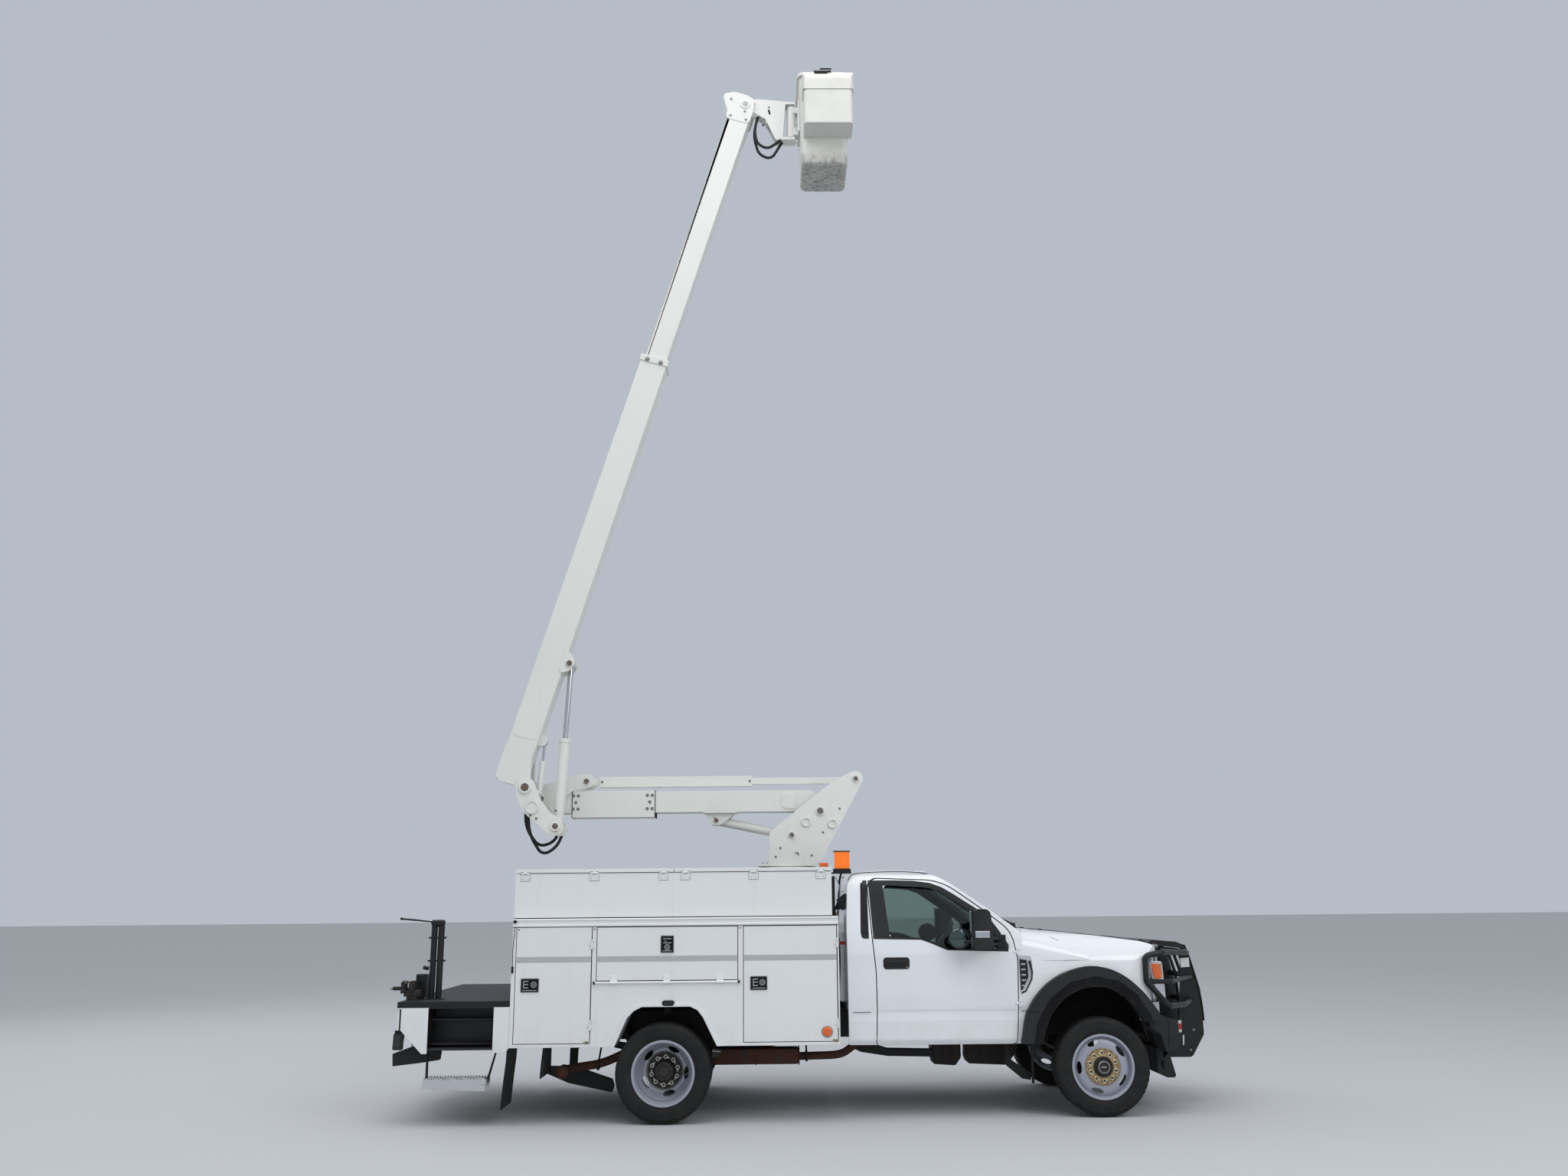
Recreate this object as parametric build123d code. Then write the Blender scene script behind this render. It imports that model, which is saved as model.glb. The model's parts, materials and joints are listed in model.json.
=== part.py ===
from build123d import *
import math
import os

os.makedirs("parts", exist_ok=True)

# Driving dimensions, mm: X forward from the rear axle, Y left, Z up from the ground
WHEEL_BASE = 3691.0
TYRE_R = 398.0
TYRE_HALF = 113.0
RIM_R = 250.0
FRONT_TRACK_HALF = 950.0
DUAL_OUTER = 1067.0
DUAL_INNER = 813.0
DUAL_MID = 940.0
KING_Y = 800.0
RAIL_OUT = 434.0
RAIL_Z = (600.0, 840.0)
REACH = WHEEL_BASE - 3691.0
BODY_X = (-1280.0, 1475.0 + REACH)
BODY_Y = (740.0, 1194.0)
BODY_Z = (612.0, 1648.0)
BOX_X = (-1289.0, 1426.0 + REACH)
BOX_Y = (745.0, 1120.0)
BOX_Z = (1648.0, 2024.0)
BOX_SPLIT = 71.0
DOOR_T = 22.0
GAP = 6.0
DOOR_PIN_Y = 1201.0
DROP_ROD = (1207.0, 1124.0)
LID_PIN = (1128.0, 2027.0)
LID_HINGES = (-1202.0, -612.0, -19.0, 171.0, 754.0 + REACH / 2, 1334.0 + REACH)
CAB_PIN = (3016.0, 1012.0)
HOOD_PIN = (3138.0, 1513.0)
RUN_FIT = 0.05
TURRET_X = 1065.0
PLATE_OUT = 215.0
ARM_PIN = (1376.0, 2600.0)
LINK_PIN = (1716.0, 2899.0)
ARM_LEN = 2552.0
ARM_HALF = 110.0
ARM_CYL_BASE = (395.0, 2527.0)
ARM_CYL_END = (1106.0, 2380.0)
BOOM_Y = -380.0
ELBOW_X = ARM_PIN[0] - ARM_LEN
BOOM_PIN = (ELBOW_X - 172.0, 2814.0)
BOOM_TILT = 73.0
BOOM_N = 163.0
OUTER_HALF = (132.0, 110.0)
OUTER_LEN = 4400.0
INNER_HALF = (114.0, 90.0)
INNER_S = (2800.0, 7330.0)
BOOM_CYL_BASE = (ELBOW_X + 118.0, 2459.0)
BOOM_CYL_TOP = (1215.0, -16.0)
LEVEL_BASE = (ELBOW_X - 63.0, 2766.0)
LEVEL_TOP = (456.0, -14.0)
TIP_PIN = (7420.0, 140.0)
POST_REACH = 484.5
BUCKET_REACH = (562.5, 1072.5)
BUCKET_HALF = 300.0
BUCKET_DROP = 815.7
BUCKET_TALL = 1045.0
SHIFT_X = -1280.0

ARM_PIN_E = (ELBOW_X, ARM_PIN[1])
LINK_PIN_E = (LINK_PIN[0] - ARM_LEN, LINK_PIN[1])


# Shape helpers
def block(x0, x1, y0, y1, z0, z1):
    return Solid.make_box(x1 - x0, y1 - y0, z1 - z0, Plane(origin=(x0, y0, z0)))


def slab_y(points, y0, y1):
    face = Face(Wire.make_polygon([Vector(x, y0, z) for x, z in points]))
    return Solid.extrude(face, Vector(0, y1 - y0, 0))


def slab_x(points, x0, x1):
    face = Face(Wire.make_polygon([Vector(x0, y, z) for y, z in points]))
    return Solid.extrude(face, Vector(x1 - x0, 0, 0))


def slab_z(points, z0, z1):
    face = Face(Wire.make_polygon([Vector(x, y, z0) for x, y in points]))
    return Solid.extrude(face, Vector(0, 0, z1 - z0))


def soft_outline(points, largest, place):
    # A closed outline whose corners are arcs, each as large as its sides allow, up to largest.
    # largest is one radius, or a list with one for each corner
    n = len(points)
    ends = []
    for i in range(n):
        p = Vector(*points[i])
        a = Vector(*points[i - 1]) - p
        b = Vector(*points[(i + 1) % n]) - p
        limit = largest if isinstance(largest, (int, float)) else largest[i]
        turn = math.pi - math.radians(a.get_angle(b))
        reach = min(limit * math.tan(turn / 2), 0.46 * a.length, 0.46 * b.length)
        if turn < 0.01 or reach < 0.5:
            ends.append((p, p, p))
            continue
        r = reach / math.tan(turn / 2)
        middle = (a.normalized() + b.normalized()).normalized()
        depth = r / math.cos(turn / 2) - r
        ends.append((p + a.normalized() * reach, p + middle * depth, p + b.normalized() * reach))
    edges = []
    for i in range(n):
        first, mid, last = ends[i]
        if (last - first).length > 0.1:
            edges.append(Edge.make_three_point_arc(place(first), place(mid), place(last)))
        following = ends[(i + 1) % n][0]
        if (following - last).length > 0.01:
            edges.append(Edge.make_line(place(last), place(following)))
    return Face(Wire(edges))


def soft_y(points, largest, y0, y1):
    face = soft_outline(points, largest, lambda v: Vector(v.X, y0, v.Y))
    return Solid.extrude(face, Vector(0, y1 - y0, 0))


def soft_x(points, largest, x0, x1):
    face = soft_outline(points, largest, lambda v: Vector(x0, v.X, v.Y))
    return Solid.extrude(face, Vector(x1 - x0, 0, 0))


def soft_z(points, largest, z0, z1):
    face = soft_outline(points, largest, lambda v: Vector(v.X, v.Y, z0))
    return Solid.extrude(face, Vector(0, 0, z1 - z0))


def rod(a, b, r):
    d = Vector(*b) - Vector(*a)
    return Solid.make_cylinder(r, d.length, Plane(origin=a, z_dir=d))


def pin_y(x, z, y0, y1, r):
    return rod((x, y0, z), (x, y1, z), r)


def fuse(*shapes):
    return Part() + list(shapes)


def cut(shape, *tools):
    return (Part() + shape) - list(tools)


def group(*shapes):
    solids = []
    for shape in shapes:
        solids += shape.solids()
    return Compound(solids)


def mirrored(shape):
    return shape.mirror(Plane.XZ)


def both(shape):
    return group(shape, mirrored(shape))


def ring_y(x, z, profile):
    # A profile of (radius, y) turned about the Y-parallel axis through x, z
    face = Face(Wire.make_polygon([Vector(x + r, y, z) for r, y in profile]))
    return Solid.revolve(face, 360, Axis((x, 0, z), (0, 1, 0)))


def pipe(points, r, bend):
    path = FilletPolyline(*points, radius=bend).wires()[0]
    ring = Wire.make_circle(r, Plane(origin=path @ 0, z_dir=path % 0))
    return Solid.sweep(ring, path)


def hose(points, r):
    # Straight runs joined by tangent arcs, each arc as large as its two runs allow
    corners = [Vector(*p) for p in points]
    radii = []
    for i in range(1, len(corners) - 1):
        before = corners[i] - corners[i - 1]
        after = corners[i + 1] - corners[i]
        turn = math.radians(before.get_angle(after))
        radii.append(0.45 * min(before.length, after.length) / math.tan(turn / 2))
    print("hose radii", [round(v) for v in radii])
    path = FilletPolyline(*points, radius=radii).wires()[0]
    ring = Wire.make_circle(r, Plane(origin=path @ 0, z_dir=path % 0))
    tube = Solid.sweep(ring, path)
    print("hose volume share", round(tube.volume / (math.pi * r * r * path.length), 4))
    return tube


def inset(points, d):
    # Shrinks a counter-clockwise or clockwise polygon by d along each edge's normal
    area = 0.0
    n = len(points)
    for i in range(n):
        x0, y0 = points[i]
        x1, y1 = points[(i + 1) % n]
        area += x0 * y1 - x1 * y0
    sign = 1.0 if area > 0 else -1.0
    lines = []
    for i in range(n):
        x0, y0 = points[i]
        x1, y1 = points[(i + 1) % n]
        length = math.hypot(x1 - x0, y1 - y0)
        nx = -(y1 - y0) / length * sign
        ny = (x1 - x0) / length * sign
        lines.append((x0 + nx * d, y0 + ny * d, x1 - x0, y1 - y0))
    result = []
    for i in range(n):
        ax, ay, adx, ady = lines[i - 1]
        bx, by, bdx, bdy = lines[i]
        cross = adx * bdy - ady * bdx
        if abs(cross) < 1e-9:
            result.append((bx, by))
        else:
            t = ((bx - ax) * bdy - (by - ay) * bdx) / cross
            result.append((ax + adx * t, ay + ady * t))
    return result


def butt_z(x, y, z0, z1, r_pin, r_knuckle):
    # A hinge on a vertical pin in thirds: the two outer knuckles and pin, then the middle knuckle
    third = (z1 - z0) / 3
    fixed = fuse(
        rod((x, y, z0), (x, y, z1), r_pin),
        rod((x, y, z0), (x, y, z0 + third - 1), r_knuckle),
        rod((x, y, z1 - third + 1), (x, y, z1), r_knuckle),
    )
    middle = (z0 + third, z1 - third)
    moving = rod((x, y, middle[0]), (x, y, middle[1]), r_knuckle)
    bore = rod((x, y, z0 - 5), (x, y, z1 + 5), r_pin + RUN_FIT)
    return fixed, moving, bore, middle


out = {}

# Wheels: each tyre is a ring open to its rim
TYRE_PROFILE = [
    (RIM_R, -92), (RIM_R + 12, -94), (288, -108), (335, -TYRE_HALF), (368, -106),
    (388, -88), (TYRE_R, -62), (TYRE_R, 62), (388, 88), (368, 106), (335, TYRE_HALF),
    (288, 108), (RIM_R + 12, 94), (RIM_R, 92), (RIM_R, 74), (292, 92), (340, 96),
    (372, 72), (378, 0), (372, -72), (340, -96), (292, -92), (RIM_R, -74),
]


def tyre(x, y):
    return ring_y(x, TYRE_R, [(r, v + y) for r, v in TYRE_PROFILE])


def barrel(y):
    # Rim barrel with a flange at each end and a drop centre
    return [
        (RIM_R - 8, y - 108), (RIM_R + 14, y - 108), (RIM_R + 14, y - 97), (RIM_R, y - 97),
        (RIM_R, y - 60), (RIM_R - 12, y - 45), (RIM_R - 12, y + 45), (RIM_R, y + 60),
        (RIM_R, y + 97), (RIM_R + 14, y + 97), (RIM_R + 14, y + 108), (RIM_R - 8, y + 108),
        (RIM_R - 8, y + 64), (RIM_R - 20, y + 49), (RIM_R - 20, y - 49), (RIM_R - 8, y - 64),
    ]


def hand_holes(x, y0, y1, count, radius, r):
    holes = []
    for i in range(count):
        a = 2 * math.pi * i / count + 0.3
        hx = x + radius * math.cos(a)
        hz = TYRE_R + radius * math.sin(a)
        holes.append(pin_y(hx, hz, y0, y1, r))
    return holes


FY = FRONT_TRACK_HALF
front_disc = [
    (30.06, FY - 20), (95, FY - 20), (95, FY + 55), (150, FY + 70), (190, FY + 62),
    (RIM_R - 16, FY + 46), (RIM_R - 16, FY + 60), (194, FY + 76), (150, FY + 84),
    (92, FY + 76), (92, FY + 128), (74, FY + 146), (40, FY + 150), (0, FY + 150),
    (0, FY + 96), (30.06, FY + 96),
]
front_rim = fuse(
    ring_y(WHEEL_BASE, TYRE_R, barrel(FY)), ring_y(WHEEL_BASE, TYRE_R, front_disc)
)
front_rim = cut(front_rim, *hand_holes(WHEEL_BASE, FY + 30, FY + 95, 5, 205, 20))
rear_disc = [
    (60.06, DUAL_MID - 12), (176, DUAL_MID - 12), (232, DUAL_MID - 72),
    (RIM_R - 14, DUAL_MID - 72), (RIM_R - 14, DUAL_MID - 58), (188, DUAL_MID),
    (RIM_R - 14, DUAL_MID + 58), (RIM_R - 14, DUAL_MID + 72), (232, DUAL_MID + 72),
    (176, DUAL_MID + 12), (112, DUAL_MID + 12), (104, DUAL_MID + 120),
    (88, DUAL_MID + 190), (0, DUAL_MID + 190), (0, DUAL_MID + 96), (60.06, DUAL_MID + 96),
]
rear_rims = fuse(
    ring_y(0, TYRE_R, barrel(DUAL_OUTER)),
    ring_y(0, TYRE_R, barrel(DUAL_INNER)),
    ring_y(0, TYRE_R, rear_disc),
)
rear_rims = cut(rear_rims, *hand_holes(0, DUAL_MID - 90, DUAL_MID + 90, 5, 203, 19))
front_tyre = tyre(WHEEL_BASE, FY)
rear_tyres = group(tyre(0, DUAL_OUTER), tyre(0, DUAL_INNER))
out["front_rim_l"] = front_rim
out["front_rim_r"] = mirrored(front_rim)
out["rear_rims_l"] = rear_rims
out["rear_rims_r"] = mirrored(rear_rims)
out["front_tyre_l"] = front_tyre
out["front_tyre_r"] = mirrored(front_tyre)
out["rear_tyres_l"] = rear_tyres
out["rear_tyres_r"] = mirrored(rear_tyres)

# Frame: two channel rails and their cross members
rail = cut(
    block(-2180, WHEEL_BASE + 509, RAIL_OUT - 75, RAIL_OUT, *RAIL_Z),
    block(-2200, WHEEL_BASE + 600, RAIL_OUT - 80, RAIL_OUT - 9, RAIL_Z[0] + 9, RAIL_Z[1] - 9),
)
members = []
for x, z0, z1 in (
    (-2135, 640, 800), (-1250, 640, 800), (-420, 700, 820), (420, 700, 820),
    (1300, 640, 800), (2150 + REACH, 780, 831), (2900 + REACH, 610, 660),
    (WHEEL_BASE + 459, 640, 800),
):
    members.append(block(x - 40, x + 40, -RAIL_OUT + 9, RAIL_OUT - 9, z0, z1))
out["frame_rails"] = fuse(rail, mirrored(rail), *members)

# Front axle with coil springs, and a steering knuckle at each end
AX = WHEEL_BASE
axle = [
    rod((AX, -KING_Y + 30, TYRE_R), (AX, KING_Y - 30, TYRE_R), 46),
    rod((AX + 20, 170, TYRE_R), (AX + 20, 400, TYRE_R), 120),
]
for s in (-1, 1):
    boss = rod((AX, s * KING_Y, TYRE_R - 62), (AX, s * KING_Y, TYRE_R + 62), 42)
    axle.append(boss)
front_axle = fuse(*axle, *[
    rod((AX, s * 395, TYRE_R + 20), (AX, s * 395, RAIL_Z[0]), 62) for s in (-1, 1)
])
front_axle = cut(front_axle, *[
    rod((AX, s * KING_Y, TYRE_R - 80), (AX, s * KING_Y, TYRE_R + 80), 18.06)
    for s in (-1, 1)
])
out["front_axle"] = front_axle
knuckle = fuse(
    rod((AX, KING_Y, TYRE_R - 95), (AX, KING_Y, TYRE_R + 95), 18),
    block(AX - 42, AX + 42, KING_Y - 30, KING_Y + 90, TYRE_R + 70, TYRE_R + 98),
    block(AX - 42, AX + 42, KING_Y - 30, KING_Y + 90, TYRE_R - 98, TYRE_R - 70),
    block(AX - 42, AX + 42, KING_Y + 55, KING_Y + 90, TYRE_R - 98, TYRE_R + 98),
    rod((AX, KING_Y + 80, TYRE_R), (AX, FY + 92, TYRE_R), 30),
    rod((AX, KING_Y + 85, TYRE_R), (AX, KING_Y + 115, TYRE_R), 130),
)
out["knuckle_l"] = knuckle
out["knuckle_r"] = mirrored(knuckle)

# Rear axle: tube, differential, leaf packs
rear_axle = [
    rod((0, -DUAL_MID - 90, TYRE_R), (0, DUAL_MID + 90, TYRE_R), 60),
    ring_y(0, TYRE_R, [(0, -110), (120, -105), (185, -60), (185, 60), (120, 105), (0, 110)]),
    rod((120, 0, TYRE_R), (330, 0, TYRE_R + 40), 60),
]
for s in (-1, 1):
    y0, y1 = sorted((s * 446, s * 526))
    rear_axle.append(
        slab_y(
            [(-720, 640), (-560, 560), (-300, 500), (-110, 452), (110, 452), (300, 500),
             (560, 560), (720, 640), (720, 668), (540, 596), (260, 560), (110, 548),
             (-110, 548), (-260, 560), (-540, 596), (-720, 668)],
            y0, y1,
        )
    )
    a0, a1 = sorted((s * RAIL_OUT, s * 540))
    rear_axle.append(block(-760, -690, a0, a1, 630, 760))
    rear_axle.append(block(690, 760, a0, a1, 630, 760))
out["rear_axle"] = fuse(*rear_axle)

# Engine as one plain block with its gearbox, propshaft apart
ahead = Pos(REACH, 0, 0)
out["engine_block"] = ahead * fuse(
    block(3130, 3900, -300, 300, 660, 1280),
    slab_y([(2240, 660), (2240, 800), (2700, 812), (3140, 830), (3140, 660)], -170, 170),
    block(3300, 3420, -359, 359, 680, 740),
)
propshaft = rod((320, 0, TYRE_R + 38), (2260 + REACH, 0, 732), 44)
out["propshaft"] = cut(propshaft, out["rear_axle"], out["engine_block"])
out["radiator"] = ahead * fuse(
    block(3980, 4060, -355, 355, 700, 1270), block(3990, 4050, -425, 425, 700, 820)
)
out["exhaust"] = group(
    fuse(
        pipe([(2300 + REACH, -480, 490), (1500, -480, 490), (700, -560, 560)], 38, 60),
        rod((1500, -480, 490), (900, -542, 542), 90),
        block(1180, 1220, -520, -RAIL_OUT, 560, 700),
        pipe([(700, -560, 560), (300, -600, 600), (-300, -600, 600), (-640, -620, 420),
              (-875, -700, 396), (-875, -905, 396)], 38, 50),
        block(800, 840, -575, -RAIL_OUT, 560, 700),
    )
)
out["fuel_tank"] = ahead * fuse(
    block(1620, 2480, 470, 870, 560, 790),
    block(1700, 1760, RAIL_OUT, 480, 620, 780),
    block(2300, 2360, RAIL_OUT, 480, 620, 780),
)

# Cab: an XZ profile crossed with a YZ section, hollowed, with its openings cut
CAB_PROFILE = [
    (1560, 580), (3063, 580), (3063, 1500), (2776, 1712), (2440, 1945), (2300, 2005),
    (2050, 2045), (1800, 2042), (1650, 2015), (1575, 1930), (1556, 1560),
]
CAB_PROFILE_R = [20, 20, 30, 4000, 900, 900, 2500, 900, 160, 160, 2500]
HALF = [
    (968, 575), (994, 622), (1002, 780), (996, 848), (1004, 872), (1010, 1000), (1010, 1330),
    (992, 1460), (886, 1890), (835, 1985), (700, 2034), (380, 2052),
]
HALF_R = [20, 60, 60, 0, 0, 400, 300, 900, 900, 110, 400, 1500]
CAB_SECTION = HALF + [(-y, z) for y, z in reversed(HALF)]
CAB_SECTION_R = HALF_R + list(reversed(HALF_R))
CAB_PLAN = [(1545, 1030), (3200, 1030), (3200, -1030), (1545, -1030)]


def open_below(points, z):
    # Drops the lowest two corners of a section to z, so that what it cuts is open below
    low = sorted(v for u, v in points)[1]
    return [(u, z if v <= low + 0.01 else v) for u, v in points]


def cab_core(d):
    return soft_x(open_below(inset(CAB_SECTION, d), 400), CAB_SECTION_R, 1400, 3200)


def cab_solid(d):
    profile = inset(CAB_PROFILE, d)
    section = inset(CAB_SECTION, d)
    whole = soft_y(profile, CAB_PROFILE_R, -1100, 1100)
    return whole & soft_x(section, CAB_SECTION_R, 1400, 3200)


DOOR_LINE = [
    (1797, 582), (2985, 582), (3005, 844), (3018, 1276), (2975, 1508), (2700, 1722),
    (2395, 1938), (1748, 1965), (1780, 1456), (1806, 1183), (1808, 850),
]
DOOR_R = [30, 40, 1000, 300, 260, 2500, 500, 90, 700, 700, 700]
DOOR_WINDOW = [
    (1925, 1474), (2215, 1452), (2431, 1364), (2836, 1359), (2826, 1545), (2621, 1690),
    (2341, 1880), (1880, 1905),
]
WINDOW_R = [40, 160, 160, 30, 60, 1500, 260, 45]
cab_outer = cab_solid(0)
cab_inner = cab_solid(45)
under = block(1500, 3200, -915, 915, 500, 862)
floor = block(1570, 3055, -930, 930, 862, 892)
shell = cut(cab_outer, cab_inner, under)
shell = fuse(shell, floor)
door_gap = inset(DOOR_LINE, -8)
inner_section = cab_core(68)
door_core = cab_core(60)
opening = cut(
    group(soft_y(door_gap, DOOR_R, -1100, -500), soft_y(door_gap, DOOR_R, 500, 1100)),
    inner_section,
)
windscreen = soft_x([(-850, 1540), (850, 1540), (735, 1905), (-735, 1905)], 70, 2380, 3150)
back_light = soft_x([(-600, 1500), (600, 1500), (560, 1860), (-560, 1860)], 60, 1500, 1700)
QUARTER = [(1676, 1490), (1740, 1486), (1720, 1925), (1690, 1930)]
quarter = soft_y(QUARTER, 18, -1100, 1100)
cab = cut(shell, opening, windscreen, back_light, quarter)
mounts_pads = []
for x in (1700, 2950):
    for s in (-1, 1):
        y0, y1 = sorted((s * 370, s * 430))
        mounts_pads.append(block(x - 40, x + 40, y0, y1, RAIL_Z[1], 862))
cab_hinges = []
cab_pockets = []
door_hinges = []
door_bores = []
px_hinge, py_hinge = CAB_PIN
for z0, z1, skin in ((885, 945, 1003), (1315, 1365, 1008)):
    fixed, moving, bore, middle = butt_z(px_hinge, -py_hinge, z0, z1, 2.2, 4.5)
    third = middle[0] - z0
    leaf_low = block(px_hinge, 3046, -py_hinge - 2, -skin + 8, z0, z0 + third - 1)
    leaf_high = block(px_hinge, 3046, -py_hinge - 2, -skin + 8, z1 - third + 1, z1)
    keep_gap = block(2900, 3020.5, -1009.5, -900, z0 - 5, z1 + 5)
    cab_hinges.append(fuse(fixed, cut(fuse(leaf_low, leaf_high), keep_gap)))
    cab_pockets.append(
        block(px_hinge - 8, px_hinge + 6, -py_hinge - 8, -py_hinge + 6.5, middle[0] - 1, middle[1] + 1)
    )
    leaf = block(2984, px_hinge, -py_hinge - 2, -skin + 8, *middle)
    leaf = cut(leaf, block(3004.5, 3100, -1009.5, -900, z0 - 5, z1 + 5))
    door_hinges.append(fuse(moving, leaf))
    door_bores.append(bore)
right_hinges = group(*cab_hinges)
pockets = both(group(*cab_pockets))
out["cab_shell"] = fuse(cut(cab, pockets), *mounts_pads, right_hinges, mirrored(right_hinges))
glass_layer = cut(cab_solid(10), cab_solid(16))
out["cab_glass"] = group(
    glass_layer & windscreen, glass_layer & back_light, glass_layer & quarter
)
door = cut(cab_outer & soft_y(DOOR_LINE, DOOR_R, -1100, -500), door_core)
door_layer = cut(
    soft_x(inset(CAB_SECTION, 20), CAB_SECTION_R, 1400, 3200),
    soft_x(inset(CAB_SECTION, 26), CAB_SECTION_R, 1400, 3200),
)
window_prism = soft_y(DOOR_WINDOW, WINDOW_R, -1100, -500)
door = cut(door, window_prism)
door_glass = door_layer & window_prism
door = cut(fuse(door, *door_hinges), *door_bores)
out["cab_door_r"] = door
out["cab_door_l"] = mirrored(door)
out["cab_door_glass_r"] = door_glass
out["cab_door_glass_l"] = mirrored(door_glass)
MIRROR_PLAN = [(2600, -1262), (2668, -1268), (2762, -1266), (2790, -1240), (2782, -1150), (2606, -1150)]
mirror_head = fuse(
    soft_z(MIRROR_PLAN, 60, 1367, 1703)
    & soft_y([(2600, 1360), (2790, 1360), (2776, 1520), (2762, 1696), (2616, 1696)], 55, -1300, -1100),
    slab_z([(2664, -1160), (2770, -1160), (2905, -1012), (2905, -980), (2850, -980)], 1392, 1416),
    slab_z([(2664, -1160), (2770, -1160), (2905, -1012), (2905, -980), (2850, -980)], 1438, 1462),
    block(2845, 2925, -1022, -980, 1378, 1478),
)
mirror_head = cut(mirror_head, door, door_glass)
out["mirror_r"] = mirror_head
out["mirror_l"] = mirrored(mirror_head)
out["cab_seat"] = fuse(
    block(1900, 2420, -760, 760, 1000, 1160),
    slab_y([(1760, 1120), (1900, 1120), (1840, 1700), (1730, 1700)], -760, 760),
    block(1960, 2380, -700, 700, 892, 1010),
)
wheel_ring = Solid.make_torus(190, 16, Plane(origin=(2560, 400, 1400), z_dir=(-0.85, 0, 0.53)))
out["cab_dash"] = fuse(
    slab_y([(2720, 1180), (2680, 1330), (2720, 1430), (2950, 1470), (3010, 1440), (3010, 1100)],
           -880, 880),
    rod((2720, 400, 1300), (2560, 400, 1400), 24),
    rod((2560, 210, 1400), (2560, 590, 1400), 12),
    block(2900, 3010, -880, -840, 892, 1110),
    block(2900, 3010, 840, 880, 892, 1110),
    wheel_ring,
)

# Front end: fenders and nose as one hollow shell, with the hood and lamps cut from it
NOSE_PROFILE = [
    (3069, 590), (4310, 590), (4314, 1230), (4290, 1340), (4168, 1403), (3772, 1457),
    (3263, 1506), (3069, 1512),
]
NOSE_PROFILE_R = [10, 10, 900, 110, 500, 3000, 3000, 10]
NOSE_HALF = [
    (968, 560), (994, 622), (1002, 780), (996, 848), (1004, 872), (1006, 1150), (992, 1270),
    (930, 1375), (790, 1468), (600, 1508), (300, 1520),
]
NOSE_HALF_R = [20, 60, 60, 0, 0, 900, 260, 260, 400, 900, 3000]
NOSE_SECTION = NOSE_HALF + [(-y, z) for y, z in reversed(NOSE_HALF)]
NOSE_SECTION_R = NOSE_HALF_R + list(reversed(NOSE_HALF_R))
NOSE_PLAN = [
    (3000, 1004), (3900, 1001), (4140, 982), (4235, 915), (4290, 760), (4312, 400),
    (4312, -400), (4290, -760), (4235, -915), (4140, -982), (3900, -1001), (3000, -1004),
]
NOSE_PLAN_R = [0, 700, 700, 700, 700, 700, 700, 700, 700, 700, 700, 0]


def nose_solid(d):
    profile = inset(NOSE_PROFILE, d)
    section = inset(NOSE_SECTION, d)
    if d > 0:
        profile = open_below(profile, 400)
        section = open_below(section, 400)
    plan = inset(NOSE_PLAN, d)
    return (
        soft_y(profile, NOSE_PROFILE_R, -1100, 1100)
        & soft_x(section, NOSE_SECTION_R, 2900, 4400)
        & soft_z(plan, NOSE_PLAN_R, 400, 1700)
    )


ARCH_IN = [
    (3100, 500), (3190, 620), (3229, 752), (3330, 905), (3480, 1012), (3660, 1054),
    (3830, 1020), (3960, 920), (4053, 768), (4100, 600), (4105, 500),
]
FLARE = [
    (3015, 588), (3059, 827), (3150, 975), (3275, 1095), (3460, 1185), (3645, 1220),
    (3810, 1190), (3949, 1113), (4080, 990), (4187, 840), (4205, 762), (4053, 762),
    (3960, 920), (3830, 1020), (3660, 1054), (3480, 1012), (3330, 905), (3229, 752),
    (3190, 588),
]
FLARE_R = [12, 400, 900, 900, 900, 900, 900, 900, 500, 60, 12, 12, 900, 900, 900, 900, 900, 900, 12]
nose_outer = nose_solid(0)
nose_inner = nose_solid(38)
nose = cut(nose_outer, nose_inner, slab_x(open_below(inset(NOSE_SECTION, 45), 400), 2900, 3200))
nose = cut(nose, soft_y(ARCH_IN, 900, -1100, -700), soft_y(ARCH_IN, 900, 700, 1100),
           block(4100, 4400, -1100, 1100, 500, 762))
HOOD_LINE = [(3135, 1380), (4080, 1300), (4160, 1296), (4400, 1296), (4400, 1700), (3135, 1700)]
hood_prism = slab_y(HOOD_LINE, -770, 770)
hood_gap = slab_y(inset(HOOD_LINE, -6), -776, 776)
grille_gap = block(4150, 4400, -525, 525, 800, 1282)
lamp_gap = group(block(4160, 4400, 560, 1100, 904, 1276), block(4160, 4400, -1100, -560, 904, 1276))
hx, hz = HOOD_PIN
hood_fixed = []
hood_moving = []
hood_bore = pin_y(hx, hz, -700, 700, 3 + RUN_FIT)
for s in (-1, 1):
    y0, y1 = sorted((s * 480, s * 540))
    hood_fixed.append(pin_y(hx, hz, y0, y1, 3))
    for a, b in ((y0, y0 + 19), (y1 - 19, y1)):
        hood_fixed.append(pin_y(hx, hz, a, b, 5.5))
        hood_fixed.append(block(3096, hx, a, b, 1506, hz + 2))
    hood_moving.append(pin_y(hx, hz, y0 + 20, y1 - 20, 5.5))
    hood_moving.append(block(hx, 3172, y0 + 20, y1 - 20, 1500, hz + 2))
hood_fixed = cut(fuse(*hood_fixed), block(3131.5, 3300, -700, 700, 1400, hz - 3.6))
out["front_fenders"] = fuse(
    hood_fixed,
    cut(nose, hood_gap, grille_gap, lamp_gap),
    block(4060, 4130, -432, 432, 840, 870),
    block(4062, 4110, -450, -410, 842, 1286),
    block(4062, 4110, 410, 450, 842, 1286),
    block(4062, 4276, -560, 560, 1282, 1290),
)
hood_pocket = []
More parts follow.
